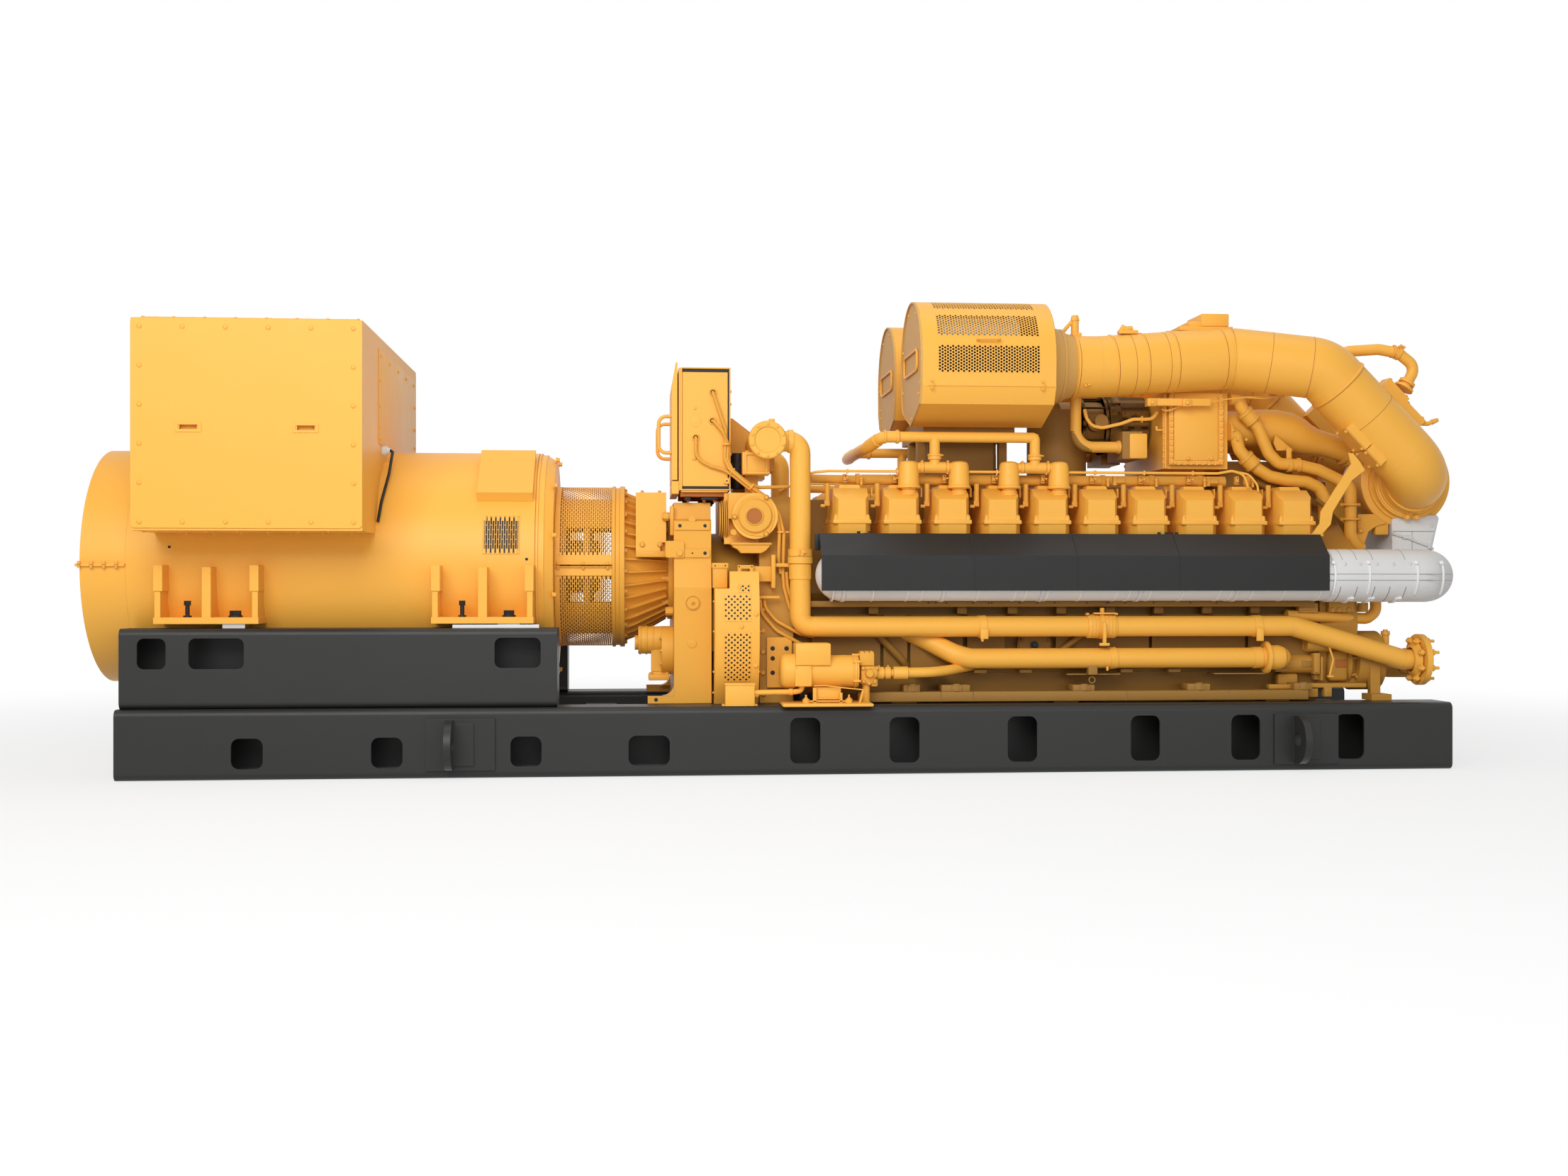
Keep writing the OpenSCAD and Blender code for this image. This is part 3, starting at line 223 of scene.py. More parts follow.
# The darkest yellow: painted shade on the block, pan, crankcase details and turbo mount, under overhangs.
shaded_cast = finish("shaded_cast", (0.27, 0.13, 0.02), rough=0.5, spec=0.2, drift_amount=0.16,
    **cast_skin)
# A mid-dark yellow: painted shade on the pan details, plenum, filter support and throttle parts.
half_shade_paint = finish("half_shade_paint", (0.36, 0.185, 0.04), rough=0.5, spec=0.2, drift_amount=0.14, edge=0.005)
seam_grey = finish("seam_grey", (0.26, 0.26, 0.25), rough=0.6, drift_amount=0.05)
# A duller yellow: painted shade on the filter end faces.
shaded_end_cap = finish("shaded_end_cap", (0.66, 0.365, 0.1), rough=0.5, spec=0.2, drift_amount=0.06)
# A yellow between full and shaded: painted half shade on the front castings and low front pumps.
part_shaded_cast = finish("part_shaded_cast", (0.52, 0.262, 0.042), rough=0.5, spec=0.2, drift_amount=0.14, peel_scale=160.0,
    peel_depth=1.0, edge=0.004, bump=0.3)
bright_band = finish("bright_band", (0.84, 0.84, 0.83), rough=0.35, drift_amount=0.05)
conduit = finish("painted_conduit", (0.74, 0.36, 0.05), rough=0.5, drift_amount=0.1, edge=0.001, spec=0.25)
print("finishes:", len(bpy.data.materials))

# %% Finishes of the frame's own nodes
finish_of = {n: enamel for n in nodes}
for material, names in (
        (skid_paint, "base_rails base_cross_members lifting_lugs generator_plinths"),
        (lagging, "exhaust_manifolds turbine_housing"),
        (cast_enamel, "gearbox_case bell_housing flywheel gearbox_oil_pump charge_air_pipes "
            "coupling_adapter thermostats panel_bracket cylinder_heads"),
        # The next three finishes are darker yellows: painted shade on castings that lie under overhangs.
        (shaded_cast, "engine_block oil_pan"),
        (half_shade_paint, "intake_plenum filter_support"),
        (part_shaded_cast, "front_housing water_pumps flywheel_housing"),
        (shield_paint, "exhaust_shields"),
        (shim_steel, "levelling_shims")):
    finish_of.update(dict.fromkeys(names.split(), material))
for n, material in finish_of.items():
    nodes[n].data.materials.clear()
    nodes[n].data.materials.append(material)
print("dressed nodes:", len(finish_of))

# %% [markdown]
# ## Studio
# A pale floor takes the shadow, and large soft lamps stand in front, above and to one side.

# %% Stage
def backdrop_share(tree):
    path = tree.nodes.new("ShaderNodeLightPath")
    seen = math_node(tree, "MAXIMUM", path.outputs["Is Camera Ray"], path.outputs["Is Glossy Ray"])
    return math_node(tree, "MAXIMUM", seen, path.outputs["Is Transmission Ray"])


floor_paint = bpy.data.materials.new("pale_floor")
floor_paint.use_nodes = True
tree = floor_paint.node_tree
floor_shader = tree.nodes["Principled BSDF"]
floor_shader.inputs["Base Color"].default_value = (0.8, 0.8, 0.8, 1)
floor_shader.inputs["Roughness"].default_value = 0.9
floor_shader.inputs["Specular IOR Level"].default_value = 0.1
glow = tree.nodes.new("ShaderNodeEmission")
blend = tree.nodes.new("ShaderNodeMixShader")
share = backdrop_share(tree)
away = tree.nodes.new("ShaderNodeVectorMath")
away.operation = "LENGTH"
tree.links.new(object_coordinates(tree), away.inputs[0])
fade = tree.nodes.new("ShaderNodeMapRange")
fade.interpolation_type = "SMOOTHSTEP"
fade.inputs["From Min"].default_value = 3.0
fade.inputs["From Max"].default_value = 9.0
fade.inputs["To Min"].default_value = 0.72
tree.links.new(away.outputs["Value"], fade.inputs["Value"])
tree.links.new(math_node(tree, "MULTIPLY", share, fade.outputs[0]), blend.inputs[0])
tree.links.new(floor_shader.outputs[0], blend.inputs[1])
tree.links.new(glow.outputs[0], blend.inputs[2])
tree.links.new(blend.outputs[0], tree.nodes["Material Output"].inputs["Surface"])

floor_bm = bmesh.new()
bmesh.ops.create_grid(floor_bm, x_segments=2, y_segments=2, size=150)
bmesh.ops.translate(floor_bm, verts=floor_bm.verts, vec=(0, 0, -0.002))
floor_mesh = bpy.data.meshes.new("floor")
floor_bm.to_mesh(floor_mesh)
floor_bm.free()
floor_mesh.materials.append(floor_paint)
floor = bpy.data.objects.new("floor", floor_mesh)
bpy.context.scene.collection.objects.link(floor)

world = bpy.data.worlds.new("studio")
bpy.context.scene.world = world
world.use_nodes = True
tree = world.node_tree
sky = tree.nodes["Background"]
share = backdrop_share(tree)
level = math_node(tree, "MULTIPLY_ADD", share, 0.64)
tree.nodes[-1].inputs[2].default_value = 0.36
tree.links.new(level, sky.inputs["Strength"])
sky.inputs["Color"].default_value = (1, 1, 1, 1)


def soft_lamp(name, place, target, width, height, power):
    data = bpy.data.lights.new(name, "AREA")
    data.shape = "RECTANGLE"
    data.size = width
    data.size_y = height
    data.energy = power
    lamp = bpy.data.objects.new(name, data)
    lamp.location = place
    lamp.rotation_euler = (Vector(target) - Vector(place)).to_track_quat("-Z", "Y").to_euler()
    bpy.context.scene.collection.objects.link(lamp)


soft_lamp("front_lamp", (-2.5, -7.5, 4.6), (0, 0, 1.0), 6.0, 4.0, 440)
soft_lamp("top_lamp", (0.0, -0.5, 6.5), (0, 0, 1.0), 8.0, 3.0, 90)
soft_lamp("low_lamp", (2.0, -8.0, 1.6), (0, 0, 1.0), 6.0, 1.6, 60)

# %% [markdown]
# ## A small workshop
# Most trim is built from a handful of operations: a block with its edges rounded, a round bar, a
# bolt with its washer, and a flat plate given thickness. Each one adds to a bmesh, so that many
# like shapes end up in one mesh.

# %% Shapes that go into a mesh
def block(bm, low, high, edge=0.0, steps=2):
    verts = bmesh.ops.create_cube(bm, size=1.0)["verts"]
    bmesh.ops.scale(bm, vec=Vector(high) - Vector(low), verts=verts)
    bmesh.ops.translate(bm, vec=(Vector(high) + Vector(low)) / 2, verts=verts)
    if edge:
        rims = list({e for v in verts for e in v.link_edges})
        bmesh.ops.bevel(bm, geom=rims, offset=edge, segments=steps, profile=0.5, affect="EDGES", material=-1)


def bar(bm, start, end, radius, end_radius=None, sides=24):
    start, end = Vector(start), Vector(end)
    place = Matrix.Translation((start + end) / 2) @ (end - start).to_track_quat("Z", "Y").to_matrix().to_4x4()
    made = bmesh.ops.create_cone(bm, cap_ends=True, segments=sides, radius1=radius,
        radius2=radius if end_radius is None else end_radius, depth=(end - start).length, matrix=place)
    return made["verts"]


def stud(bm, x, y, z0, z1, *size, **options):
    """A round bar that stands upright."""
    bar(bm, (x, y, z0), (x, y, z1), *size, **options)


def boss(bm, x, z, y0, y1, *size, **options):
    """A round bar square to the service side."""
    bar(bm, (x, y0, z), (x, y1, z), *size, **options)


def shaft(bm, y, z, x0, x1, *size, **options):
    """A round bar along the set."""
    bar(bm, (x0, y, z), (x1, y, z), *size, **options)


def bolt(bm, place, way, across=0.024, head=0.012):
    place, way = Vector(place), Vector(way).normalized()
    bar(bm, place - way * 0.003, place + way * head * 0.22, across * 0.72, sides=14)
    bar(bm, place, place + way * head * 0.85, across * 0.577, sides=6)
    bar(bm, place + way * head * 0.85, place + way * head, across * 0.577, across * 0.48, sides=6)


def verts_in(geom):
    return [g for g in geom if isinstance(g, bmesh.types.BMVert)]


def grow(bm, faces, depth):
    """Gives flat faces a thickness."""
    grown = bmesh.ops.extrude_face_region(bm, geom=faces)
    bmesh.ops.translate(bm, vec=depth, verts=verts_in(grown["geom"]))


def plate(bm, corners, depth):
    grow(bm, [bm.faces.new([bm.verts.new(c) for c in corners])], depth)


def hull(bm, points):
    made = bmesh.ops.convex_hull(bm, input=[bm.verts.new(p) for p in points])
    bmesh.ops.delete(bm, geom=verts_in(set(made["geom_interior"])), context="VERTS")


def lofted(bm, loops, caps=(False, False)):
    """Joins loops of points one after another; an end can be closed with a face."""
    rows = [[bm.verts.new(p) for p in loop] for loop in loops]
    for first, second in zip(rows, rows[1:]):
        for i in range(len(first)):
            j = (i + 1) % len(first)
            bm.faces.new((first[i], first[j], second[j], second[i]))
    for row, wanted in zip((rows[0], rows[-1]), caps):
        if wanted:
            bm.faces.new(row)


def flat(y, *pairs):
    """Points of an outline or a route that stays at one y, from x and z in turn."""
    return [(x, y, z) for x, z in zip(pairs[::2], pairs[1::2])]


def around(count, start=0.0):
    """Cosine and sine of evenly spaced angles, the first at start degrees."""
    angles = [radians(start + 360 / count * k) for k in range(count)]
    return [(cos(a), sin(a)) for a in angles]


def round_corners(x0, x1, z0, z1, r, steps):
    """The outline of a rectangle with round corners, as (x, z) pairs."""
    corners = ((x1 - r, z1 - r, 0), (x0 + r, z1 - r, 90), (x0 + r, z0 + r, 180), (x1 - r, z0 + r, 270))
    turns = [(x, z, radians(turn + 90 / steps * k)) for x, z, turn in corners for k in range(steps + 1)]
    return [(x + r * cos(a), z + r * sin(a)) for x, z, a in turns]


# %% [markdown]
# ## Rings, hoops and sheet
# A flange or a clamp is an outline spun round its axis. Sheet is drawn without thickness first, and
# gets its thickness when it is added to the mesh.

# %% Rings and sheet
def turned(bm, profile, centre, axis, sides=64):
    """Spins a closed outline of (distance along the axis, radius) pairs round the axis."""
    axis = Vector(axis).normalized()
    side = axis.orthogonal().normalized()
    ring = [bm.verts.new(Vector(centre) + axis * a + side * r) for a, r in profile]
    rims = [bm.edges.new((ring[i], ring[(i + 1) % len(ring)])) for i in range(len(ring))]
    bmesh.ops.spin(bm, geom=ring + rims, cent=centre, axis=axis, angle=tau, steps=sides, use_merge=True)


def hoop(bm, start, stop, inner, outer, centre, axis, sides=64):
    """A plain band round an axis, from start to stop along it."""
    turned(bm, [(start, inner), (stop, inner), (stop, outer), (start, outer)], centre, axis, sides)


def ring(bm, centre, axis, radius, width, proud=0.004):
    """A narrow band seated on a pipe."""
    hoop(bm, -width / 2, width / 2, radius - 0.002, radius + proud, centre, axis, 32)


def add_sheet(bm, sheet, thickness):
    """Thickens an open sheet and adds it to the mesh."""
    bmesh.ops.recalc_face_normals(sheet, faces=sheet.faces)
    bmesh.ops.solidify(sheet, geom=sheet.faces[:], thickness=thickness)
    holder = bpy.data.meshes.new("sheet_holder")
    sheet.to_mesh(holder)
    sheet.free()
    bm.from_mesh(holder)
    bpy.data.meshes.remove(holder)


# %% [markdown]
# ## Pipes and hoses
# A pipe is given as straight legs with one bend radius, as a pipe fitter would. The corners are
# rounded, and a circle is extruded along the route and turned at every step.

# %% Pipes
def fillet_route(points, bend, steps=6):
    """Rounds the corners of a route of straight legs."""
    route = [Vector(points[0])]
    for a, b, c in zip(points, points[1:], points[2:]):
        a, b, c = Vector(a), Vector(b), Vector(c)
        u, v = (b - a).normalized(), (c - b).normalized()
        turn = u.angle(v)
        if turn < 0.02:
            continue
        cut = min(bend * tan(turn / 2), (b - a).length * 0.49, (c - b).length * 0.49)
        radius = cut / tan(turn / 2)
        inward = (v - u * u.dot(v)).normalized()
        centre = b - u * cut + inward * radius
        for i in range(steps + 1):
            t = turn * i / steps
            route.append(centre - inward * radius * cos(t) + u * radius * sin(t))
    route.append(Vector(points[-1]))
    return route


def tube(bm, points, radius, bend=0.03, sides=14, steps=6):
    """Sweeps a circle along a route; every ring is turned to face along it."""
    route = fillet_route(points, bend, steps)
    ways = [(route[min(i + 1, len(route) - 1)] - route[max(i - 1, 0)]).normalized() for i in range(len(route))]
    spin = ways[0].to_track_quat("Z", "Y")
    made = bmesh.ops.create_circle(bm, cap_ends=True, segments=sides, radius=radius,
        matrix=Matrix.Translation(route[0]) @ spin.to_matrix().to_4x4())
    loop = list({e for v in made["verts"] for e in v.link_edges})
    for i in range(1, len(route)):
        grown = bmesh.ops.extrude_edge_only(bm, edges=loop)["geom"]
        verts = verts_in(grown)
        loop = [g for g in grown if isinstance(g, bmesh.types.BMEdge) and all(v in verts for v in g.verts)]
        bmesh.ops.translate(bm, vec=route[i] - route[i - 1], verts=verts)
        turn = ways[i - 1].rotation_difference(ways[i]).to_matrix()
        bmesh.ops.rotate(bm, cent=route[i], matrix=turn, verts=verts)
    bmesh.ops.contextual_create(bm, geom=loop)


# %% [markdown]
# ## Finished pieces
# A finished mesh gets its normals, its material and its body here. Most trim is the same on both
# flanks of the set, so it is drawn once and copied across.

# %% Pieces
def piece(name, bm, material, slot="yellow_paint", body="set", smooth=35, instead_of=(), merge=0.0):
    """Turns the bmesh into a finished object that rides on its body."""
    if merge:
        bmesh.ops.remove_doubles(bm, verts=bm.verts, dist=merge)
    bmesh.ops.recalc_face_normals(bm, faces=bm.faces)
    mesh = bpy.data.meshes.new(name)
    bm.to_mesh(mesh)
    bm.free()
    mesh.materials.append(material)
    mesh.shade_smooth()
    mesh.set_sharp_from_angle(angle=radians(smooth))
    thing = bpy.data.objects.new(name, mesh)
    bpy.context.scene.collection.objects.link(thing)
    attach(thing, body)
    if instead_of:
        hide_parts(*instead_of)
    print(name, len(mesh.polygons), "faces")


def both_sides(shape, bm, *args):
    """Adds a shape and its mirror image on the far side."""
    before = set(bm.verts)
    shape(bm, *args)
    fresh = [v for v in bm.verts if v not in before]
    faces = list({f for v in fresh for f in v.link_faces})
    copy = bmesh.ops.duplicate(bm, geom=fresh + list({e for v in fresh for e in v.link_edges}) + faces)["geom"]
    bmesh.ops.scale(bm, vec=(1, -1, 1), verts=verts_in(copy))


def drawn(name, material, *shapes, **options):
    """Draws the shapes on both sides in a mesh of their own and makes a piece of it."""
    bm = bmesh.new()
    for shape in shapes:
        both_sides(shape, bm)
    piece(name, bm, material, **options)


# %% Where the main pieces stand
ALONG, BACK = (1, 0, 0), (-1, 0, 0)
OUT, UP, DOWN = (0, -1, 0), (0, 0, 1), (0, 0, -1)
core = 0.0005  # a solid of revolution keeps a hair's width clear of its axis


def low(node):
    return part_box(node)[0]


def high(node):
    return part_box(node)[1]


gen_z = (low("generator_rear_cover").z + high("generator_rear_cover").z) / 2
gen_r = high("generator_barrel").z - gen_z
rail_top = high("base_rails").z
print("alternator axis", round(gen_z, 3), "radius", round(gen_r, 3))

# %% [markdown]
# ## Perforated sheet
# Guards round a coupling or a flywheel are punched sheet. A grid of half cells is dissolved into
# staggered bricks, the bricks are pulled into hexagons, inset and opened, and the flat sheet is then
# bent to its form. Real holes let light and the background through, which a texture can't do.

# %% Perforated sheet
def perforated(bm, columns, rows, pull, web, form, thickness, hole=0.0):
    sheet = bmesh.new()
    across = 2 * columns
    bmesh.ops.create_grid(sheet, x_segments=across, y_segments=rows, size=1.0)
    cell = {v: (round((v.co.x + 1) / 2 * across), round((v.co.y + 1) / 2 * rows)) for v in sheet.verts}
    joints = []
    for e in sheet.edges:
        (i, k), (m, n) = cell[e.verts[0]], cell[e.verts[1]]
        if i == m and 0 < i < across and (i + min(k, n)) % 2 == 0:
            joints.append(e)
    for v, (i, k) in cell.items():
        lift = 0 if k in (0, rows) else (pull if (i + k) % 2 else -pull)
        v.co = form(i / across, (k + lift) / rows)
    bmesh.ops.dissolve_edges(sheet, edges=joints, use_verts=False)
    open_cells = [f for f in sheet.faces if len(f.verts) == 6]
    if hole:
        bmesh.ops.subdivide_edges(sheet, edges=sheet.edges[:], cuts=1)
    bmesh.ops.inset_individual(sheet, faces=open_cells, thickness=web / 2, use_even_offset=True)
    for f in open_cells if hole else ():
        middle = f.calc_center_median()
        for v in f.verts:
            v.co = middle + (v.co - middle).normalized() * hole
    bmesh.ops.delete(sheet, geom=open_cells, context="FACES")
    add_sheet(bm, sheet, thickness)


def on_drum(x0, x1, axis_z, radius, start, end, axis_y=0.0):
    """Maps a flat sheet onto a drum about X, rows along it; angles are in degrees from -Y, upward."""
    def form(u, v):
        a = radians(start + (end - start) * u)
        return Vector((x0 + (x1 - x0) * v, axis_y - radius * cos(a), axis_z + radius * sin(a)))
    return form


def bent_patch(bm, form):
    """A plain sheet bent to the same kind of form, to stand dark behind the holes as painted shade."""
    for v in bmesh.ops.create_grid(bm, x_segments=12, y_segments=1, size=1.0)["verts"]:
        v.co = form((v.co.x + 1) / 2, (v.co.y + 1) / 2)


# %% [markdown]
# ## Coupling and its guard
# The alternator is driven through a flexible coupling: a hub and a disc inside a windowed ring. Its
# guard is a drum of slotted sheet in two halves, joined by solid strips at the level of the shaft.

# %% Coupling guard
guard_low, guard_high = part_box("coupling_guard")
guard_r = (guard_high.z - guard_low.z) / 2
bm = bmesh.new()
slot_x0, slot_x1 = guard_low.x + 0.024, guard_high.x - 0.001
for start, end in ((7.0, 173.0), (187.0, 353.0)):
    perforated(bm, 44, 24, 0.04, 0.0042, on_drum(slot_x0, slot_x1, gen_z, guard_r - 0.002, start, end), 0.002)


def guard_strip(bm, side, level):
    y = side * sqrt(guard_r ** 2 - 0.03 ** 2)
    z0, z1 = (gen_z + 0.004, gen_z + 0.049) if level > 0 else (gen_z - 0.049, gen_z - 0.004)
    block(bm, (guard_low.x, y - 0.003, z0), (guard_high.x, y + 0.003, z1), 0.001, 1)
    block(bm, (guard_low.x, y - 0.003 + side * 0.012, z0 if level > 0 else z1 - 0.005),
        (guard_high.x, y + 0.003 + side * 0.012, z0 + 0.005 if level > 0 else z1), 0.001, 1)


for side in (-1, 1):
    for level in (-1, 1):
        guard_strip(bm, side, level)
    for x in (guard_low.x + 0.018, (guard_low.x + guard_high.x) / 2, guard_high.x - 0.02):
        bolt(bm, (x, side * (guard_r + 0.01), gen_z + 0.008), UP, 0.012, 0.01)
        bolt(bm, (x, side * (guard_r + 0.01), gen_z - 0.008), DOWN, 0.012, 0.01)
hoop(bm, 0, 0.026, guard_r - 0.006, guard_r, (guard_low.x, 0, gen_z), ALONG, 96)
hoop(bm, 0, 0.004, guard_r - 0.012, guard_r + 0.012, (guard_low.x + 0.002, 0, gen_z), ALONG, 96)
piece("coupling_guard_mesh", bm, enamel, instead_of=("coupling_guard",))

# %% Flexible coupling inside the guard
bm = bmesh.new()
x0, x1 = guard_low.x, guard_high.x
ring_r = 0.335
drum = bmesh.new()
bmesh.ops.create_grid(drum, x_segments=5, y_segments=96, size=1.0)
for v in drum.verts:
    i, k = round((v.co.x + 1) / 2 * 5), round((v.co.y + 1) / 2 * 96)
    x = (x0 + 0.004, x0 + 0.054, x0 + 0.12, x0 + 0.18, x1 - 0.004, x1 - 0.001)[i]
    a = tau * k / 96
    v.co = Vector((x, -ring_r * cos(a), gen_z + ring_r * sin(a)))
bmesh.ops.remove_doubles(drum, verts=drum.verts, dist=0.0005)
windows = [f for f in drum.faces if abs(f.calc_center_median().z - gen_z) < 0.187
    and x0 + 0.05 < f.calc_center_median().x < x1 - 0.006]
bmesh.ops.delete(drum, geom=windows, context="FACES")
add_sheet(bm, drum, 0.016)
turned(bm, [(0, 0.001), (0.144, 0.001), (0.144, 0.124), (0.13, 0.13), (0.014, 0.13), (0, 0.124)],
    (-1.108, 0, gen_z), ALONG)
hoop(bm, 0, 0.027, 0.001, ring_r - 0.012, (-1.032, 0, gen_z), ALONG)
shaft(bm, 0, gen_z, x0, x1, 0.042)
for c, s in around(12):
    bolt(bm, (-1.005, 0.16 * c, gen_z + 0.16 * s), ALONG, 0.022, 0.014)
piece("flexible_coupling", bm, cast_enamel, instead_of=("coupling_adapter",))

# %% [markdown]
# ## Bell housing
# The bell is a cone stiffened by thin fins, cast in one with its flange. One fin is drawn as a flat
# plate and turned about the shaft; three dozen of them share one mesh with the cone.

# %% Bell housing
bell_x0, bell_x1 = low("bell_housing").x, high("bell_housing").x
flange_x1 = bell_x0 + 0.06
bm = bmesh.new()
turned(bm, [(0, 0.25), (0, guard_r + 0.004), (0.014, guard_r + 0.004), (0.018, guard_r - 0.004),
    (0.034, guard_r - 0.004), (0.038, guard_r + 0.004), (0.06, guard_r + 0.004), (0.06, 0.348), (0.11, 0.318),
    (bell_x1 - bell_x0 - 0.022, 0.232), (bell_x1 - bell_x0 - 0.022, 0.262), (bell_x1 - bell_x0, 0.262),
    (bell_x1 - bell_x0, 0.2)], (bell_x0, 0, gen_z), ALONG, 96)
for k in range(36):
    before = set(bm.verts)
    plate(bm, flat(-0.004, flange_x1 - 0.002, 0.3, flange_x1 - 0.002, 0.372, flange_x1 + 0.05, 0.352,
        bell_x1 - 0.03, 0.262, bell_x1 - 0.03, 0.2), (0, 0.008, 0))
    fresh = [v for v in bm.verts if v not in before]
    bmesh.ops.rotate(bm, cent=(0, 0, 0), matrix=Matrix.Rotation(radians(10 * k + 5), 3, "X"), verts=fresh)
    bmesh.ops.translate(bm, vec=(0, 0, gen_z), verts=fresh)
r = guard_r - 0.02
for c, s in around(24, 4):
    bolt(bm, (flange_x1, r * c, gen_z + r * s), ALONG, 0.019, 0.012)
for c, s in around(12, 15):
    y, z = 0.245 * c, gen_z + 0.245 * s
    shaft(bm, y, z, bell_x1 - 0.055, bell_x1 - 0.01, 0.016, sides=16)
piece("bell_housing_cast", bm, cast_enamel, instead_of=("bell_housing",), smooth=30)

# %% [markdown]
# ## Terminal box
# The box is folded sheet closed by bolted covers. Button-headed screws run round each cover, the
# big side covers have framed finger holds, and one cable leaves through a gland in the end.

# %% Terminal box trim
def button(bm, place, way, radius=0.01, height=0.006):
    place, way = Vector(place), Vector(way).normalized()
    bar(bm, place - way * 0.002, place + way * height * 0.3, radius * 1.15, sides=12)
    bar(bm, place + way * height * 0.3, place + way * height, radius, radius * 0.6, sides=12)


def frame_ring(bm, centre, half_w, half_h, border, depth):
    """A flat rectangular ring in the XZ plane, thickened by depth."""
    loops = []
    for w, h in ((half_w, half_h), (half_w - border, half_h - border)):
        loops.append([bm.verts.new(Vector(centre) + Vector((sx * w, 0, sz * h)))
            for sx, sz in ((-1, -1), (1, -1), (1, 1), (-1, 1))])
    outer, inner = loops
    faces = [bm.faces.new((outer[i], outer[(i + 1) % 4], inner[(i + 1) % 4], inner[i])) for i in range(4)]
    grow(bm, faces, depth)


def spread(start, end, count):
    return [start + (end - start) * i / (count - 1) for i in range(count)]


box_low, box_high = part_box("terminal_box_covers")
face_x0, face_x1 = box_low.x, high("terminal_box").x
box_top = high("terminal_box").z
cover_y = box_low.y + 0.006
handle_x, handle_z = (-2.727, -2.224), 1.566
bm = bmesh.new()


def cover_plate(bm):
    """A cover plate with round corners and two openings for the hand."""
    loops = [round_corners(face_x0, face_x1, box_low.z + 0.011, box_top, 0.018, 5)]
    for x in handle_x:
        loops.append([(x - 0.038, 1.553), (x + 0.038, 1.553), (x + 0.038, 1.579), (x - 0.038, 1.579)])
    edges = []
    for loop in loops:
        verts = [bm.verts.new((x, cover_y, z)) for x, z in loop]
        edges += [bm.edges.new((verts[i - 1], verts[i])) for i in range(len(verts))]
    filled = bmesh.ops.triangle_fill(bm, use_beauty=True, edges=edges)["geom"]
    grow(bm, [g for g in filled if isinstance(g, bmesh.types.BMFace)], (0, 0.006, 0))


both_sides(cover_plate, bm)
block(bm, (box_low.x + 0.03, box_low.y + 0.06, box_top), (face_x1 - 0.03, box_high.y - 0.06, box_high.z), 0.001)
block(bm, (face_x1, box_low.y + 0.48, high("generator_barrel").z + 0.009),
    (box_high.x, box_high.y - 0.06, box_top - 0.055), 0.0008)
piece("terminal_covers_mesh", bm, enamel, instead_of=("terminal_box_covers",))
bm = bmesh.new()


def box_front(bm):
    inset = 0.038
    columns = spread(face_x0 + inset, face_x1 - inset, 6)
    rows = spread(box_low.z + inset, box_top - inset, 6)
    edge = [(x, z) for x in columns for z in (rows[0], rows[-1])]
    edge += [(x, z) for z in rows[1:-1] for x in (columns[0], columns[-1])]
    for x, z in edge:
        button(bm, (x, cover_y, z), OUT)
    for x in handle_x:
        frame_ring(bm, (x, cover_y, handle_z), 0.056, 0.022, 0.012, (0, -0.003, 0))
    for x in spread(face_x0 + 0.045, face_x1 - 0.02, 8):
        bolt(bm, (x, -0.895, box_top), UP, 0.012, 0.01)
        bolt(bm, (x, -0.88, box_low.z), DOWN, 0.01, 0.008)
    for x in spread(face_x0 + 0.16, face_x1 - 0.1, 7):
        bolt(bm, (x, -0.62, box_low.z), DOWN, 0.01, 0.008)


both_sides(box_front, bm)
for x in spread(box_low.x + 0.08, face_x1 - 0.08, 6):
    for y in (-0.83, 0.83):
        button(bm, (x, y, box_high.z), UP)
for y in spread(-0.4, 0.8, 5):
    button(bm, (box_high.x, y, 1.957), ALONG, 0.009)
for z in (1.84, 1.72, 1.62, 1.565):
    button(bm, (box_high.x, -0.42, z), ALONG, 0.009)
    button(bm, (box_high.x, 0.83, z), ALONG, 0.009)
piece("terminal_box_screws", bm, enamel)

bm = bmesh.new()
shaft(bm, -0.32, 1.515, face_x1 - 0.002, face_x1 + 0.022, 0.024, sides=20)
shaft(bm, -0.32, 1.515, face_x1 + 0.022, face_x1 + 0.036, 0.018, 0.013, sides=20)
piece("cable_gland", bm, pale_plastic)
bm = bmesh.new()
tube(bm, [(face_x1 + 0.02, -0.32, 1.515), (face_x1 + 0.05, -0.325, 1.515), (face_x1 + 0.045, -0.42, 1.4),
    (face_x1 + 0.022, -0.51, 1.26), (face_x1 + 0.012, -0.545, 1.17)], 0.007, bend=0.1, sides=10)
piece("terminal_box_cable", bm, rubber_and_shade_black)

# %% [markdown]
# ## Alternator trim
# Outlet grilles sit on both flanks near the coupling. The shell is bolted to the drive-end ring,
# lifting screws and jacking screws stand in the feet, and a flanged seam runs round the rear cover.

# %% Alternator trim
bm = bmesh.new()


def vent(bm):
    perforated(bm, 4, 16, 0.0, 0.003, on_drum(-1.489, -1.321, gen_z, gen_r + 0.004, 5.2, 24.0), 0.0025)


def vent_shade_sheet(bm):
    """A curved dark sheet behind the punched one, painted shade of the alternator's inside, its corners trimmed
    by short end strips.
    """
    for x0, x1, a0, a1 in ((-1.474, -1.336, 5.8, 23.4), (-1.483, -1.474, 7.6, 21.6),
            (-1.336, -1.327, 7.6, 21.6)):
        bent_patch(bm, on_drum(x0, x1, gen_z, gen_r + 0.0015, a0, a1))


both_sides(vent, bm)


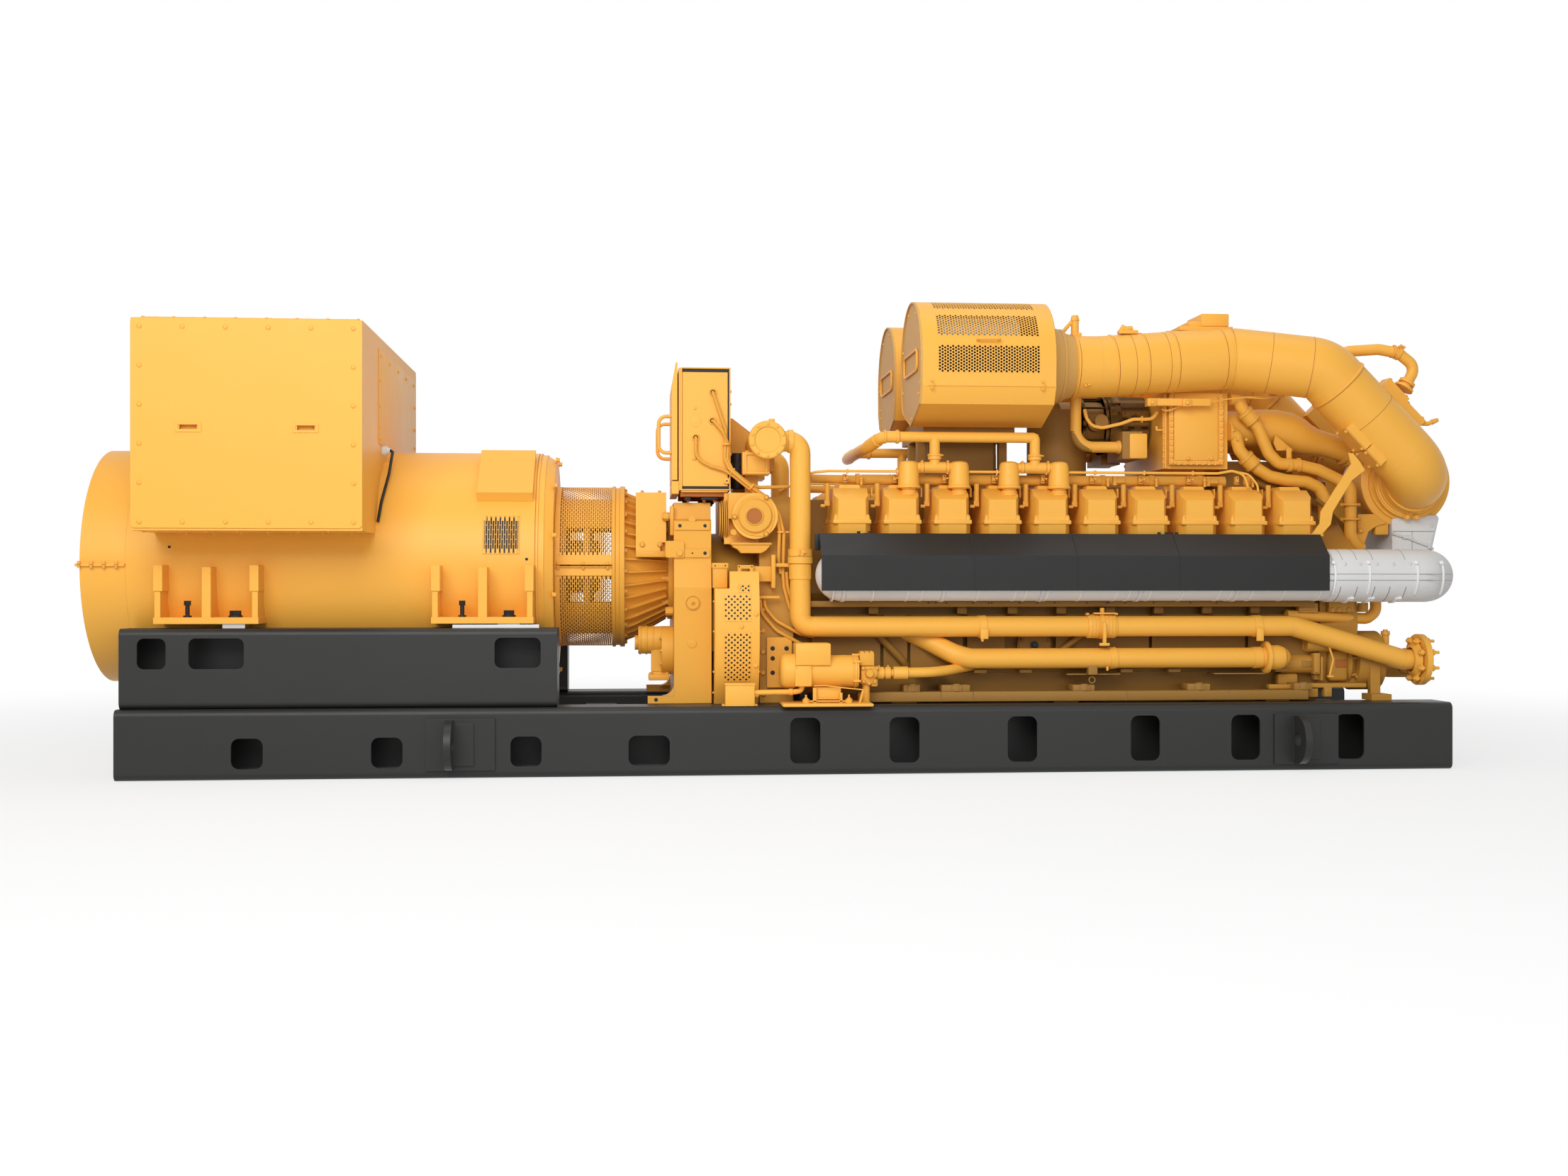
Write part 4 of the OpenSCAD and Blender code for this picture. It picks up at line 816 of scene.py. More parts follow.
def flank(bm):
    for x, z in ((-2.905, 1.05), (-1.287, 0.997)):
        y = -sqrt(gen_r ** 2 - (z - gen_z) ** 2)
        boss(bm, x, z, y + 0.003, y - 0.001, 0.007, sides=12)
    foot_length = 0.464
    for x0 in (low("generator_feet").x, high("generator_feet").x - foot_length):
        for share, r, h in ((0.29, 0.016, 0.085), (0.75, 0.027, 0.04)):
            x = x0 + share * foot_length
            stud(bm, x, -0.6, 0.72, 0.72 + h, r * 0.62, sides=12)
            stud(bm, x, -0.6, 0.72 + h - 0.022, 0.72 + h, r, sides=6)
            stud(bm, x, -0.6, 0.728, 0.738, r * 1.15, sides=24)


drawn("alternator_dark_parts", rubber_and_shade_black, vent_shade_sheet, flank)
ring_x0, ring_x1 = low("drive_end_ring").x, high("drive_end_ring").x
r = gen_r - 0.022
for c, s in around(12, 15):
    bolt(bm, (ring_x1, r * c, gen_z + r * s), ALONG, 0.019, 0.016)
for x in (ring_x0 + 0.004, ring_x0 - 0.02):
    hoop(bm, 0, 0.01, gen_r - 0.008, gen_r, (x, 0, gen_z), ALONG, 96)


def cover_screws(bm):
    for x in (-1.5, -1.284):
        for a in (48, 66):
            r = gen_r + 0.012
            way = Vector((0, -cos(radians(a)), sin(radians(a))))
            button(bm, Vector((x, 0, gen_z)) + way * r, way, 0.008, 0.007)


cover_screws(bm)


def rear_seam(bm):
    for k in range(4):
        x = low("generator_barrel").x - 0.035 - k * 0.055
        bolt(bm, (x, -0.575, gen_z + 0.004), UP, 0.012, 0.012)
        bolt(bm, (x, -0.575, gen_z - 0.004), DOWN, 0.012, 0.012)


both_sides(rear_seam, bm)
hoop(bm, 0, 0.004, gen_r - 0.008, gen_r, (low("generator_barrel").x + 0.05, 0, gen_z), ALONG, 96)
piece("alternator_trim", bm, enamel)

# %% [markdown]
# ## Gearbox and flywheel
# Machined pads, cover plates and blanked bosses break up the plain flank of the gearbox. Beside it,
# the flywheel turns behind a curved guard with two fields of round holes.

# %% Gearbox trim
def tile(bm, x0, x1, z0, z1, y, depth, radius=0.006):
    """A plate in the XZ plane with round corners, grown from y by depth."""
    plate(bm, [(x, y, z) for x, z in round_corners(x0, x1, z0, z1, radius, 4)], (0, depth, 0))


# Holes are thin discs drawn in near black: painted shade inside the hole.
def hole(bm, x, y, z, radius, sides=20):
    boss(bm, x, z, y + 0.004, y - 0.0006, radius, sides=sides)


case_low = low("gearbox_case")
upper_face, lower_face = case_low.y + 0.035, case_low.y
cap_x, cap_z = -0.512, 0.792
bm = bmesh.new()


def gearbox_flank(bm):
    tile(bm, -0.6, -0.43, 1.137, 1.178, upper_face, -0.007, 0.008)
    tile(bm, -0.553, -0.43, 1.007, 1.049, upper_face, -0.007, 0.008)
    tile(bm, -0.642, -0.552, 1.007, 1.086, upper_face + 0.004, -0.018, 0.01)
    boss(bm, -0.574, 1.029, upper_face - 0.012, upper_face - 0.02, 0.017, 0.015, sides=32)
    boss(bm, -0.515, 1.19, upper_face + 0.01, upper_face - 0.004, 0.018, sides=24)
    turned(bm, [(0, 0.031), (0.003, 0.031), (0.005, 0.0335), (0.003, 0.036), (0, 0.036)],
        (cap_x, lower_face, cap_z), OUT, 48)
    turned(bm, [(0, core), (0.004, core), (0.004, 0.029), (0, 0.03)], (cap_x, lower_face, cap_z), OUT, 48)
    turned(bm, [(0, core), (0.0025, core), (0.0015, 0.023), (0, 0.023)], (-0.517, lower_face, 0.602), OUT, 48)
    boss(bm, cap_x, cap_z, lower_face, lower_face - 0.01, 0.01, 0.008, sides=20)
    shaft(bm, -0.395, 1.205, -0.655, -0.601, 0.015, sides=20)
    shaft(bm, -0.395, 1.205, -0.65, -0.625, 0.021, sides=6)
    block(bm, (-0.618, -0.42, 1.115), (-0.6, -0.33, 1.255), 0.003)
    shaft(bm, -0.395, 0.752, -0.64, -0.603, 0.02, sides=6)
    for x in (-0.75, -0.667):
        bolt(bm, (x, low("bell_cover").y, 1.071), OUT, 0.02, 0.01)
        bolt(bm, (x, low("bell_cover").y + 0.05, high("bell_cover").z), UP, 0.016, 0.012)
    block(bm, (-0.778, low("bell_cover").y - 0.004, 1.011), (-0.64, low("bell_cover").y, 1.04), 0.0015)


def gearbox_foot_fillet(bm):
    radius, steps = 0.055, 8
    corner = [(case_low.x + 0.124, case_low.y, 0.352)]
    for k in range(steps + 1):
        a = radians(90 * k / steps)
        corner.append((case_low.x + 0.124 - radius + radius * sin(a), case_low.y,
            0.352 + radius - radius * cos(a)))
    plate(bm, corner, (0, 0.1, 0))


def gearbox_holes(bm):
    for x, z in ((-0.573, 1.158), (-0.454, 1.158), (-0.454, 1.028)):
        hole(bm, x, upper_face - 0.007, z, 0.0085)
    hole(bm, -0.514, upper_face - 0.007, 1.028, 0.004)
    hole(bm, -0.686, lower_face, 0.336, 0.009)
    hole(bm, cap_x, lower_face - 0.01, cap_z, 0.003)


both_sides(gearbox_flank, bm)
both_sides(gearbox_foot_fillet, bm)
pump_x, oil_pump_y = low("gearbox_oil_pump").x, -0.3
for c, s in around(10):
    bolt(bm, (pump_x + 0.128, oil_pump_y + 0.104 * c, 0.563 + 0.104 * s), BACK, 0.014, 0.01)
for x in (0.022, 0.052, 0.082):
    hoop(bm, 0, 0.008, 0.06, 0.0695, (pump_x + x, oil_pump_y, 0.612), ALONG, 48)
block(bm, (pump_x + 0.066, -0.365, 0.42), (pump_x + 0.166, -0.235, 0.447), 0.004)
block(bm, (pump_x + 0.08, -0.345, 0.44), (pump_x + 0.155, -0.255, 0.47), 0.004)
for x in (0.076, 0.156):
    bolt(bm, (pump_x + x, -0.352, 0.447), UP, 0.014, 0.012)
piece("gearbox_trim", bm, cast_enamel)
drawn("gearbox_bolt_holes", rubber_and_shade_black, gearbox_holes)

# %% Flywheel guard screens
guard_z, guard_out = 0.68, -low("flywheel_guards").y


def angle_at(z):
    return degrees(asin((z - guard_z) / guard_out))


fields = [(-0.371, -0.246, 0.707, 0.836, 5, 9), (-0.303, -0.25, 0.842, 0.88, 2, 4),
    (-0.371, -0.246, 0.424, 0.657, 10, 9)]


def guard_fields(bm):
    for x0, x1, z0, z1, columns, rows in fields:
        perforated(bm, columns, rows, 0.0, 0.002, on_drum(x0, x1, guard_z, guard_out + 0.0015, angle_at(z0),
            angle_at(z1)), 0.001, hole=0.005)


# A dark sheet under each field of holes: painted shade inside the guard.
def guard_shade_sheet(bm):
    for x0, x1, z0, z1, columns, rows in fields:
        bent_patch(bm, on_drum(x0 + 0.003, x1 - 0.003, guard_z, guard_out + 0.0003, angle_at(z0 + 0.003),
            angle_at(z1 - 0.003)))


def guard_trim(bm):
    x0, x1 = low("flywheel_guards").x, high("flywheel_guards").x
    for x in (x0 - 0.008, x1):
        for z in (0.37, 0.47, 0.66, 0.8):
            y = -sqrt((guard_out - 0.03) ** 2 - (z - guard_z) ** 2)
            block(bm, (x, y, z - 0.004), (x + 0.008, y + 0.02, z + 0.004), 0.001, 1)
    for x, z in ((-0.291, 0.683), (-0.3, 0.865), (-0.222, 0.74), (-0.222, 0.5)):
        y = -sqrt(guard_out ** 2 - (z - guard_z) ** 2)
        button(bm, (x, y, z), OUT, 0.01, 0.006)


drawn("flywheel_guard_screens", enamel, guard_fields, guard_trim)
drawn("flywheel_guard_shadows", rubber_and_shade_black, guard_shade_sheet)

# %% Small housings round the flywheel
bm = bmesh.new()


def flywheel_boxes(bm):
    block(bm, (-0.421, -0.56, 0.862), (-0.352, -0.44, 0.958), 0.003)
    block(bm, (-0.424, -0.564, 0.954), (-0.347, -0.44, 0.981), 0.003)
    frame_ring(bm, (-0.2675, -0.572, 0.9285), 0.0375, 0.0425, 0.018, (0, 0.012, 0))
    frame_ring(bm, (-0.2675, -0.562, 0.9285), 0.0245, 0.033, 0.006, (0, 0.09, 0))
    block(bm, (-0.245, -0.55, 0.893), (-0.14, -0.47, 0.966), 0.004)
    block(bm, (-0.146, -0.575, 0.862), (-0.126, -0.47, 1.02), 0.004)
    block(bm, (-0.126, -0.56, 0.962), (-0.05, -0.54, 0.98), 0.003)
    tile(bm, -0.163, -0.044, 0.392, 0.63, -0.515, -0.008, 0.003)
    block(bm, (-0.205, -0.555, 0.813), (-0.105, -0.54, 0.826), 0.002)
    for z in (0.36, 0.46, 0.56, 0.66, 0.76):
        bolt(bm, (-0.18, -0.5, z), OUT, 0.018, 0.012)


def flywheel_box_holes(bm):
    for x in (-0.41, -0.362):
        hole(bm, x, -0.564, 0.968, 0.0035)
    for sx in (-1, 1):
        for sz in (-1, 1):
            hole(bm, -0.2675 + sx * 0.0295, -0.572, 0.9285 + sz * 0.0345, 0.0035)
    for x, z in ((-0.136, 0.577), (-0.07, 0.577), (-0.136, 0.53), (-0.136, 0.462)):
        hole(bm, x, -0.523, z, 0.011)


both_sides(flywheel_boxes, bm)
piece("flywheel_fittings", bm, cast_enamel)
drawn("flywheel_fitting_holes", rubber_and_shade_black, flywheel_box_holes)

bm = bmesh.new()


def junction_box(bm):
    x0, x1, y0, y1, top = -0.371, -0.235, -0.725, -0.655, 0.424
    block(bm, (x0, y0, rail_top), (x1, y1, top - 0.004), 0.003)
    block(bm, (x0 - 0.003, y0 - 0.003, top - 0.01), (x1 + 0.003, y1, top), 0.0015)
    for x in (x0 - 0.014, x1):
        block(bm, (x, y0 + 0.015, rail_top), (x + 0.014, y1, rail_top + 0.008), 0.001, 1)
    shaft(bm, -0.69, 0.372, x1, x1 + 0.02, 0.016, sides=24)


both_sides(junction_box, bm)
piece("junction_boxes_mesh", bm, enamel, instead_of=("junction_boxes",))

# %% [markdown]
# ## Control panel
# The side of the cabinet is an inset panel behind a folded rim, with cable glands in it. Conduits
# leave the glands, are tied into one bundle and run down past the starter.

# %% Control panel side
panel_low, panel_high = Vector((-0.578, -0.45, 1.327)), Vector((-0.332, 0.07, 1.909))
bm, dark = bmesh.new(), bmesh.new()
side = panel_low.y


def open_frame(bm, x0, x1, z0, z1, y, border, depth):
    frame_ring(bm, ((x0 + x1) / 2, y, (z0 + z1) / 2), (x1 - x0) / 2, (z1 - z0) / 2, border, (0, depth, 0))


open_frame(bm, panel_low.x + 0.01, panel_high.x, panel_low.z, panel_high.z + 0.002, side, 0.006, -0.01)
tile(bm, -0.561, -0.3455, 1.347, 1.889, side - 0.001, -0.003, 0.002)
# A dark sheet in the gap behind the inset panel, and dark discs in the glands: painted shade.
block(dark, (panel_low.x + 0.012, side - 0.0008, panel_low.z + 0.004),
    (panel_high.x - 0.004, side, panel_high.z - 0.002))
skin = side - 0.004
for x, z in ((-0.4156, 1.794), (-0.418, 1.658), (-0.497, 1.578)):
    turned(bm, [(0, 0.012), (0.005, 0.012), (0.006, 0.017), (0, 0.02)], (x, skin, z), OUT, 32)
    boss(dark, x, z, skin + 0.002, skin - 0.001, 0.012, sides=24)
turned(bm, [(0, core), (0.002, core), (0.001, 0.027), (0, 0.027)], (-0.497, skin, 1.656), OUT, 40)
button(bm, (-0.501, skin, 1.717), OUT, 0.007, 0.004)
button(bm, (-0.504, skin, 1.478), OUT, 0.009, 0.008)
block(bm, (-0.364, skin - 0.012, 1.358), (-0.336, skin, 1.386), 0.002)
for z in (1.8, 1.74, 1.66, 1.5, 1.44):
    shaft(bm, -0.43, z, high("control_panel").x, high("control_panel").x + 0.006, 0.006, sides=12)
block(bm, (-0.566, side - 0.004, 1.3185), (-0.345, side + 0.03, 1.3265), 0.002)
piece("control_panel_side", bm, enamel)
hole(dark, -0.35, skin - 0.012, 1.372, 0.004)
piece("control_panel_gaps", dark, rubber_and_shade_black)

# %% Panel mounts
bm, dark = bmesh.new(), bmesh.new()
shelf = panel_low.z - 0.012
for y0, y1 in ((-0.43, -0.35), (-0.03, 0.05)):
    block(bm, (-0.57, y0, shelf - 0.016), (-0.345, y1, shelf + 0.01), 0.002)
    block(dark, (-0.548, y0 + 0.01, shelf - 0.034), (-0.52, y1 - 0.01, shelf - 0.014), 0.002)
    block(dark, (-0.47, y0 + 0.01, shelf - 0.03), (-0.39, y1 - 0.01, shelf - 0.014), 0.002)
    for x in (-0.532, -0.455, -0.405):
        bolt(bm, (x, (y0 + y1) / 2, shelf - 0.032), DOWN, 0.014, 0.01)
plate(bm, flat(-0.1, -0.332, 1.7, -0.306, 1.696, -0.224, 1.626, -0.233, 1.538, -0.332, 1.538), (0, 0.012, 0))
plate(bm, flat(-0.185, -0.332, 1.7, -0.306, 1.696, -0.216, 1.626, -0.216, 1.515, -0.332, 1.515), (0, 0.008, 0))
# The mounts under the cabinet are drawn in brown: painted shade.
piece("panel_mounts", bm, brown_shade)
stud(dark, -0.29, -0.3, 1.515, 1.345, 0.034, sides=24)
turned(dark, [(0.02, 0.03), (0.03, 0.042), (0.1, 0.042), (0.11, 0.03)], (-0.29, -0.3, 1.36), UP, 32)
piece("panel_isolators", dark, rubber_and_shade_black)

# %% Conduits and hoses
bm, ties = bmesh.new(), bmesh.new()
lead = skin - 0.018
front = -0.52
bundle = [(-0.355, lead, 1.61), (-0.357, lead, 1.548), (-0.3615, lead - 0.004, 1.478), (-0.338, -0.49, 1.425),
    (-0.22, front, 1.327), (-0.157, front, 1.281), (-0.116, front, 1.213), (-0.103, front, 1.133),
    (-0.108, front, 0.996), (-0.098, front, 0.93)]
tube(bm, [(-0.4156, skin, 1.794), (-0.4156, lead, 1.79), (-0.389, lead, 1.712)] + bundle, 0.0085, 0.05)
beside = [(x + 0.013, y + 0.004, z - 0.004) for x, y, z in bundle[1:7]]
tube(bm, [(-0.418, skin, 1.658), (-0.412, lead - 0.006, 1.655), (-0.368, lead - 0.012, 1.603)] + beside
    + [(-0.082, front, 1.12), (-0.086, front, 0.94)], 0.0085, 0.05)
tube(bm, [(-0.497, skin, 1.578), (-0.497, lead, 1.57), (-0.497, lead, 1.497), (-0.474, lead, 1.466),
    (-0.429, lead, 1.442), (-0.366, lead - 0.004, 1.424), (-0.325, -0.478, 1.4), (-0.226, -0.505, 1.319),
    (-0.165, -0.505, 1.27)], 0.0085, 0.04)
tube(bm, [(-0.362, -0.44, 1.5), (-0.34, -0.44, 1.43), (-0.262, -0.455, 1.368), (-0.2, -0.47, 1.341),
    (-0.06, -0.47, 1.345)], 0.0085, 0.05)
tube(bm, flat(front, -0.088, 0.94, -0.0825, 0.866, -0.054, 0.765, 0.03, 0.655), 0.0085, 0.09)
tube(bm, flat(front, -0.07, 0.94, -0.0645, 0.866, -0.034, 0.768, 0.045, 0.668), 0.0085, 0.09)
tube(bm, [(-0.175, front, 0.818), (-0.172, front, 0.772), (-0.118, front, 0.707),
    (-0.005, front - 0.01, 0.645), (0.06, front, 0.632)], 0.0085, 0.09)
tube(bm, [(-0.192, front + 0.01, 0.818), (-0.19, front + 0.01, 0.745), (-0.118, front, 0.662),
    (0.01, front, 0.592)], 0.0085, 0.09)
for x, z, way in ((-0.357, 1.545, UP), (-0.329, 1.416, (0.76, 0, -0.65)), (-0.24, 1.342, (0.78, 0, -0.62)),
        (-0.1, 1.128, UP)):
    w = Vector(way).normalized() * 0.004
    middle = Vector((x + 0.004, lead - 0.004 if x < -0.3 else front + 0.002, z))
    bar(ties, middle - w, middle + w, 0.0195, sides=20)
block(ties, (-0.359, skin - 0.012, 1.541), (-0.334, skin, 1.551), 0.001)
block(ties, (-0.1, front - 0.002, 1.124), (-0.055, front + 0.002, 1.132), 0.001)
piece("engine_conduits", bm, conduit)
piece("conduit_ties", ties, enamel)

# %% [markdown]
# ## Starter and thermostats
# The starter's nose is a three-lobed casting on a square flange; the thermostat housings are round
# with bolted covers. Both lobed and stepped outlines come from hulls and turned profiles.

# %% Starter
bm = bmesh.new()
start_low, start_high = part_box("starter_motor")
sx, sz = -0.222, 1.202
nose = start_low.y


def lobed(bm, y0, y1, body_r, lobes, lobe_r, end_scale=1.0):
    points = []
    for x, z, r in [(sx, sz, body_r)] + [(lx, lz, lobe_r) for lx, lz in lobes]:
        for c, s in around(28):
            points += [(x + r * c, y0, z + r * s), (x + r * end_scale * c, y1, z + r * end_scale * s)]
    hull(bm, points)


lobes = [(-0.169, 1.289), (-0.318, 1.197), (-0.171, 1.116)]
lobed(bm, nose + 0.004, nose - 0.004, 0.094, lobes, 0.014)
lobed(bm, nose - 0.003, nose - 0.016, 0.084, [], 0.0, 0.9)
turned(bm, [(-0.012, 0.0365), (0.02, 0.0365), (0.0215, 0.041), (0.012, 0.046), (-0.012, 0.046)],
    (sx - 0.004, nose, sz - 0.002), OUT, 48)
for x, z in lobes:
    turned(bm, [(0, core), (0.01, core), (0.012, 0.01), (0, 0.013)], (x, nose - 0.004, z), OUT, 20)
    bolt(bm, (x, nose - 0.012, z), OUT, 0.016, 0.009)
block(bm, (start_low.x + 0.016, nose + 0.05, 1.19), (-0.198, nose + 0.07, start_high.z), 0.003)
plate(bm, flat(-0.52, -0.33, 1.078, -0.145, 1.078, -0.15, 1.06, -0.168, 1.04, -0.19, 1.028, -0.285, 1.028,
    -0.3, 1.045, -0.325, 1.058), (0, 0.1, 0))
block(bm, (-0.336, -0.527, 1.066), (-0.14, -0.5, 1.078), 0.003)
boss(bm, -0.322, 1.125, -0.5, -0.545, 0.015, sides=20)
for k in range(5):
    x = start_low.x - 0.022 + 0.009 * k
    shaft(bm, -0.41, sz - 0.01, x, x + 0.005, 0.1 - 0.006 * abs(k - 3), sides=40)
piece("starter_castings", bm, cast_enamel)
# A disc in the starter's nose recess, drawn in brown: painted shade inside the recess.
bm = bmesh.new()
boss(bm, sx - 0.004, sz - 0.002, nose - 0.004, nose - 0.0172, 0.0366, sides=40)
piece("starter_recess_shade", bm, brown_shade)

# %% Thermostat covers
thermo_low, thermo_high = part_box("thermostats")
tx, tz, tr = (thermo_low.x + thermo_high.x) / 2, 1.554, 0.09


def thermostat_cover(bm):
    face = thermo_low.y
    turned(bm, [(0, core), (0.001, core), (0.001, 0.06), (0.0075, 0.062), (0.0085, 0.066), (0.0085, 0.083),
        (0.004, tr - 0.002), (0, tr)], (tx, face, tz), OUT, 64)
    for c, s in around(10, 18):
        button(bm, (tx + 0.075 * c, face - 0.008, tz + 0.075 * s), OUT, 0.007, 0.005)
    block(bm, (tx + 0.006, face + 0.005, tz + tr - 0.006), (tx + 0.034, face + 0.033, tz + tr + 0.01), 0.004)
    hoop(bm, 0, 0.022, 0.07, 0.082, (tx, face + 0.06, tz), OUT, 48)
    block(bm, (tx - 0.11, -0.5, tz - 0.155), (tx + 0.02, -0.42, tz - 0.045), 0.006)
    open_frame(bm, tx - 0.1, tx + 0.01, tz - 0.15, tz - 0.05, -0.508, 0.01, 0.01)
    for x, z in ((tx - 0.102, tz - 0.145), (tx + 0.012, tz - 0.145)):
        bolt(bm, (x, -0.506, z), OUT, 0.012, 0.008)


def riser_clamps(bm):
    x, y, r = -0.009, -0.56, 0.049
    hoop(bm, 0, 0.034, r - 0.004, r + 0.008, (x, y, 1.012), UP, 40)
    hoop(bm, 0, 0.032, r - 0.004, r + 0.01, (x, y, 0.978), UP, 40)
    turned(bm, [(0, r - 0.004), (0.075, r - 0.004), (0.071, r + 0.004), (0, r + 0.004)], (x, y, 0.904), UP, 40)
    for dx in (-0.01, 0.008):
        block(bm, (x + dx - 0.003, y - r - 0.018, 1.016), (x + dx + 0.003, y - r, 1.046), 0.001, 1)
    bolt(bm, (x + 0.012, y - r - 0.012, 1.031), ALONG, 0.012, 0.01)
    hoop(bm, -0.012, 0.012, r - 0.004, r + 0.006, (-0.055, y, tz), ALONG, 40)


drawn("thermostat_covers", enamel, thermostat_cover, riser_clamps)

# %% [markdown]
# ## Cylinder heads, covers and breathers
# Ten heads a side carry slant-topped covers. Each is the convex hull of a few corners, which gives
# the chamfered fronts at once; the breather cups on four of them are turned, and stand on the slant.

# %% Covers and heads
head_low, head_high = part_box("cylinder_heads")
head_count, head_pitch, first_head = 10, 0.2408, 0.105
head_x = [head_low.x + first_head + head_pitch * i for i in range(head_count)]
deck, rim = head_low.z, head_high.z


def mirrored(x, points):
    return [(x + s * dx, y, z) for dx, y, z in points for s in (-1, 1)]


def head_casting(bm, x):
    plan = ((0.064, -0.57), (0.089, -0.54), (0.095, -0.5), (0.095, -0.19))
    hull(bm, mirrored(x, [(dx, y, z) for dx, y in plan for z in (deck, rim)]))


def cover(bm, x):
    block(bm, (x - 0.0905, -0.575, rim), (x + 0.0905, -0.215, rim + 0.019), 0.003)
    hull(bm, mirrored(x, [(0.066, -0.566, rim + 0.015), (0.0645, -0.566, rim + 0.117),
        (0.083, -0.536, rim + 0.015), (0.0825, -0.534, rim + 0.136), (0.081, -0.483, rim + 0.173),
        (0.081, -0.25, rim + 0.173), (0.083, -0.235, rim + 0.015)]))
    hull(bm, mirrored(x, [(0.052, -0.484, rim + 0.17), (0.047, -0.466, rim + 0.19),
        (0.047, -0.262, rim + 0.19), (0.052, -0.25, rim + 0.17)]))
    for dx in (-0.0755, 0.0755):
        for y in (-0.556, -0.236):
            stud(bm, x + dx, y, rim + 0.016, rim + 0.032, 0.0125, 0.011, sides=16)
            bolt(bm, (x + dx, y, rim + 0.034), UP, 0.015, 0.01)


bm, heads = bmesh.new(), bmesh.new()
for x in head_x:
    both_sides(cover, bm, x)
    both_sides(head_casting, heads, x)
piece("covers_mesh", bm, enamel, instead_of=("valve_covers",))
piece("heads_mesh", heads, cast_enamel, instead_of=("cylinder_heads",))

# %% Breathers
first_cup, cup_pitch = 0.037, 0.2435
cup_x = [head_x[0] + first_cup + cup_pitch * i for i in range(1, 5)]
cup_y, link_z, header_z = -0.5, 1.441, 1.585


def breather_cups(bm):
    for x in cup_x:
        turned(bm, [(0, core), (0, 0.036), (0.016, 0.036), (0.018, 0.0395), (0.026, 0.0395), (0.028, 0.035),
            (0.034, 0.0385), (0.038, 0.0385), (0.04, 0.033), (0.048, 0.034), (0.049, 0.052), (0.052, 0.0565),
            (0.06, 0.0565), (0.066, 0.0505), (0.108, 0.0492), (0.11, 0.0485), (0.155, 0.0465), (0.17, 0.0425),
            (0.177, 0.034), (0.18, 0.018), (0.1805, core)], (x, cup_y, 1.29), UP, 48)


def breather_lines(bm):
    for a, b in ((0, 1), (2, 3)):
        mid = (cup_x[a] + cup_x[b]) / 2 + 0.004
        tube(bm, [(cup_x[a], cup_y, link_z), (cup_x[b], cup_y, link_z)], 0.0225, sides=24)
        shaft(bm, cup_y, link_z, mid - 0.052, mid + 0.052, 0.0255, sides=24)
        for dx in (-0.062, 0.062):
            ring(bm, (mid + dx, cup_y, link_z), ALONG, 0.0245, 0.013, 0.004)
            bar(bm, (mid + dx, cup_y - 0.024, link_z + 0.026), (mid + dx, cup_y - 0.008, link_z + 0.03), 0.004,
                sides=8)
        ring(bm, (mid, cup_y, 1.491), UP, 0.0255, 0.028, 0.0065)
        ring(bm, (mid, cup_y, 1.497), UP, 0.032, 0.006, 0.003)
        bar(bm, (mid + 0.022, cup_y - 0.026, 1.497), (mid + 0.038, cup_y - 0.018, 1.497), 0.004, sides=8)
        if a == 0:
            stud(bm, mid, cup_y, link_z, header_z, 0.025, sides=24)
        else:
            tube(bm, flat(cup_y, 0.472, header_z, mid, header_z, mid, link_z), 0.025, 0.006, sides=24, steps=2)
    tube(bm, [(0.474, cup_y, header_z), (0.392, cup_y, header_z), (0.33, -0.37, 1.54), (0.318, -0.2, 1.535),
        (0.318, 0.0, 1.535)], 0.028, 0.05, sides=24)
    bar(bm, (0.375, -0.465, 1.572), (0.341, -0.393, 1.548), 0.0315, sides=24)
    ring(bm, (0.462, cup_y, header_z), ALONG, 0.0285, 0.012, 0.0045)
    ring(bm, (0.402, cup_y, header_z), ALONG, 0.03, 0.01, 0.003)


drawn("breathers_mesh", enamel, breather_cups, breather_lines, instead_of=("breathers",))

# %% Rails along the heads
def head_rail(bm):
    shaft(bm, -0.42, 1.385, 0.3, 2.095, 0.0245, sides=24)
    bar(bm, (0.055, -0.425, 1.388), (0.302, -0.42, 1.385), 0.02, sides=24)
    for i, x in enumerate(head_x):
        stud(bm, x - 0.107, -0.47, 1.277, 1.364, 0.0125, sides=16)
        block(bm, (x - 0.122, -0.48, 1.255), (x - 0.096, -0.462, 1.281), 0.002)
        block(bm, (x - 0.142, -0.495, 1.248), (x - 0.12, -0.478, 1.262), 0.002)
        if i < 9:
            ring(bm, (x + 0.045, -0.42, 1.385), ALONG, 0.0245, 0.02, 0.004)
            block(bm, (x + 0.104, -0.462, 1.3), (x + 0.112, -0.43, 1.345), 0.001, 1)
            block(bm, (x - 0.03, -0.47, 1.368), (x - 0.012, -0.44, 1.408), 0.002)
            stud(bm, x + 0.058, -0.466, 1.355, 1.398, 0.007, sides=12)
            stud(bm, x + 0.058, -0.466, 1.383, 1.391, 0.011, sides=6)
    for x in (1.559, 2.024):
        block(bm, (x - 0.03, -0.455, 1.36), (x - 0.012, -0.4, 1.407), 0.002)
        block(bm, (x - 0.03, -0.452, 1.372), (x + 0.03, -0.4, 1.398), 0.003)


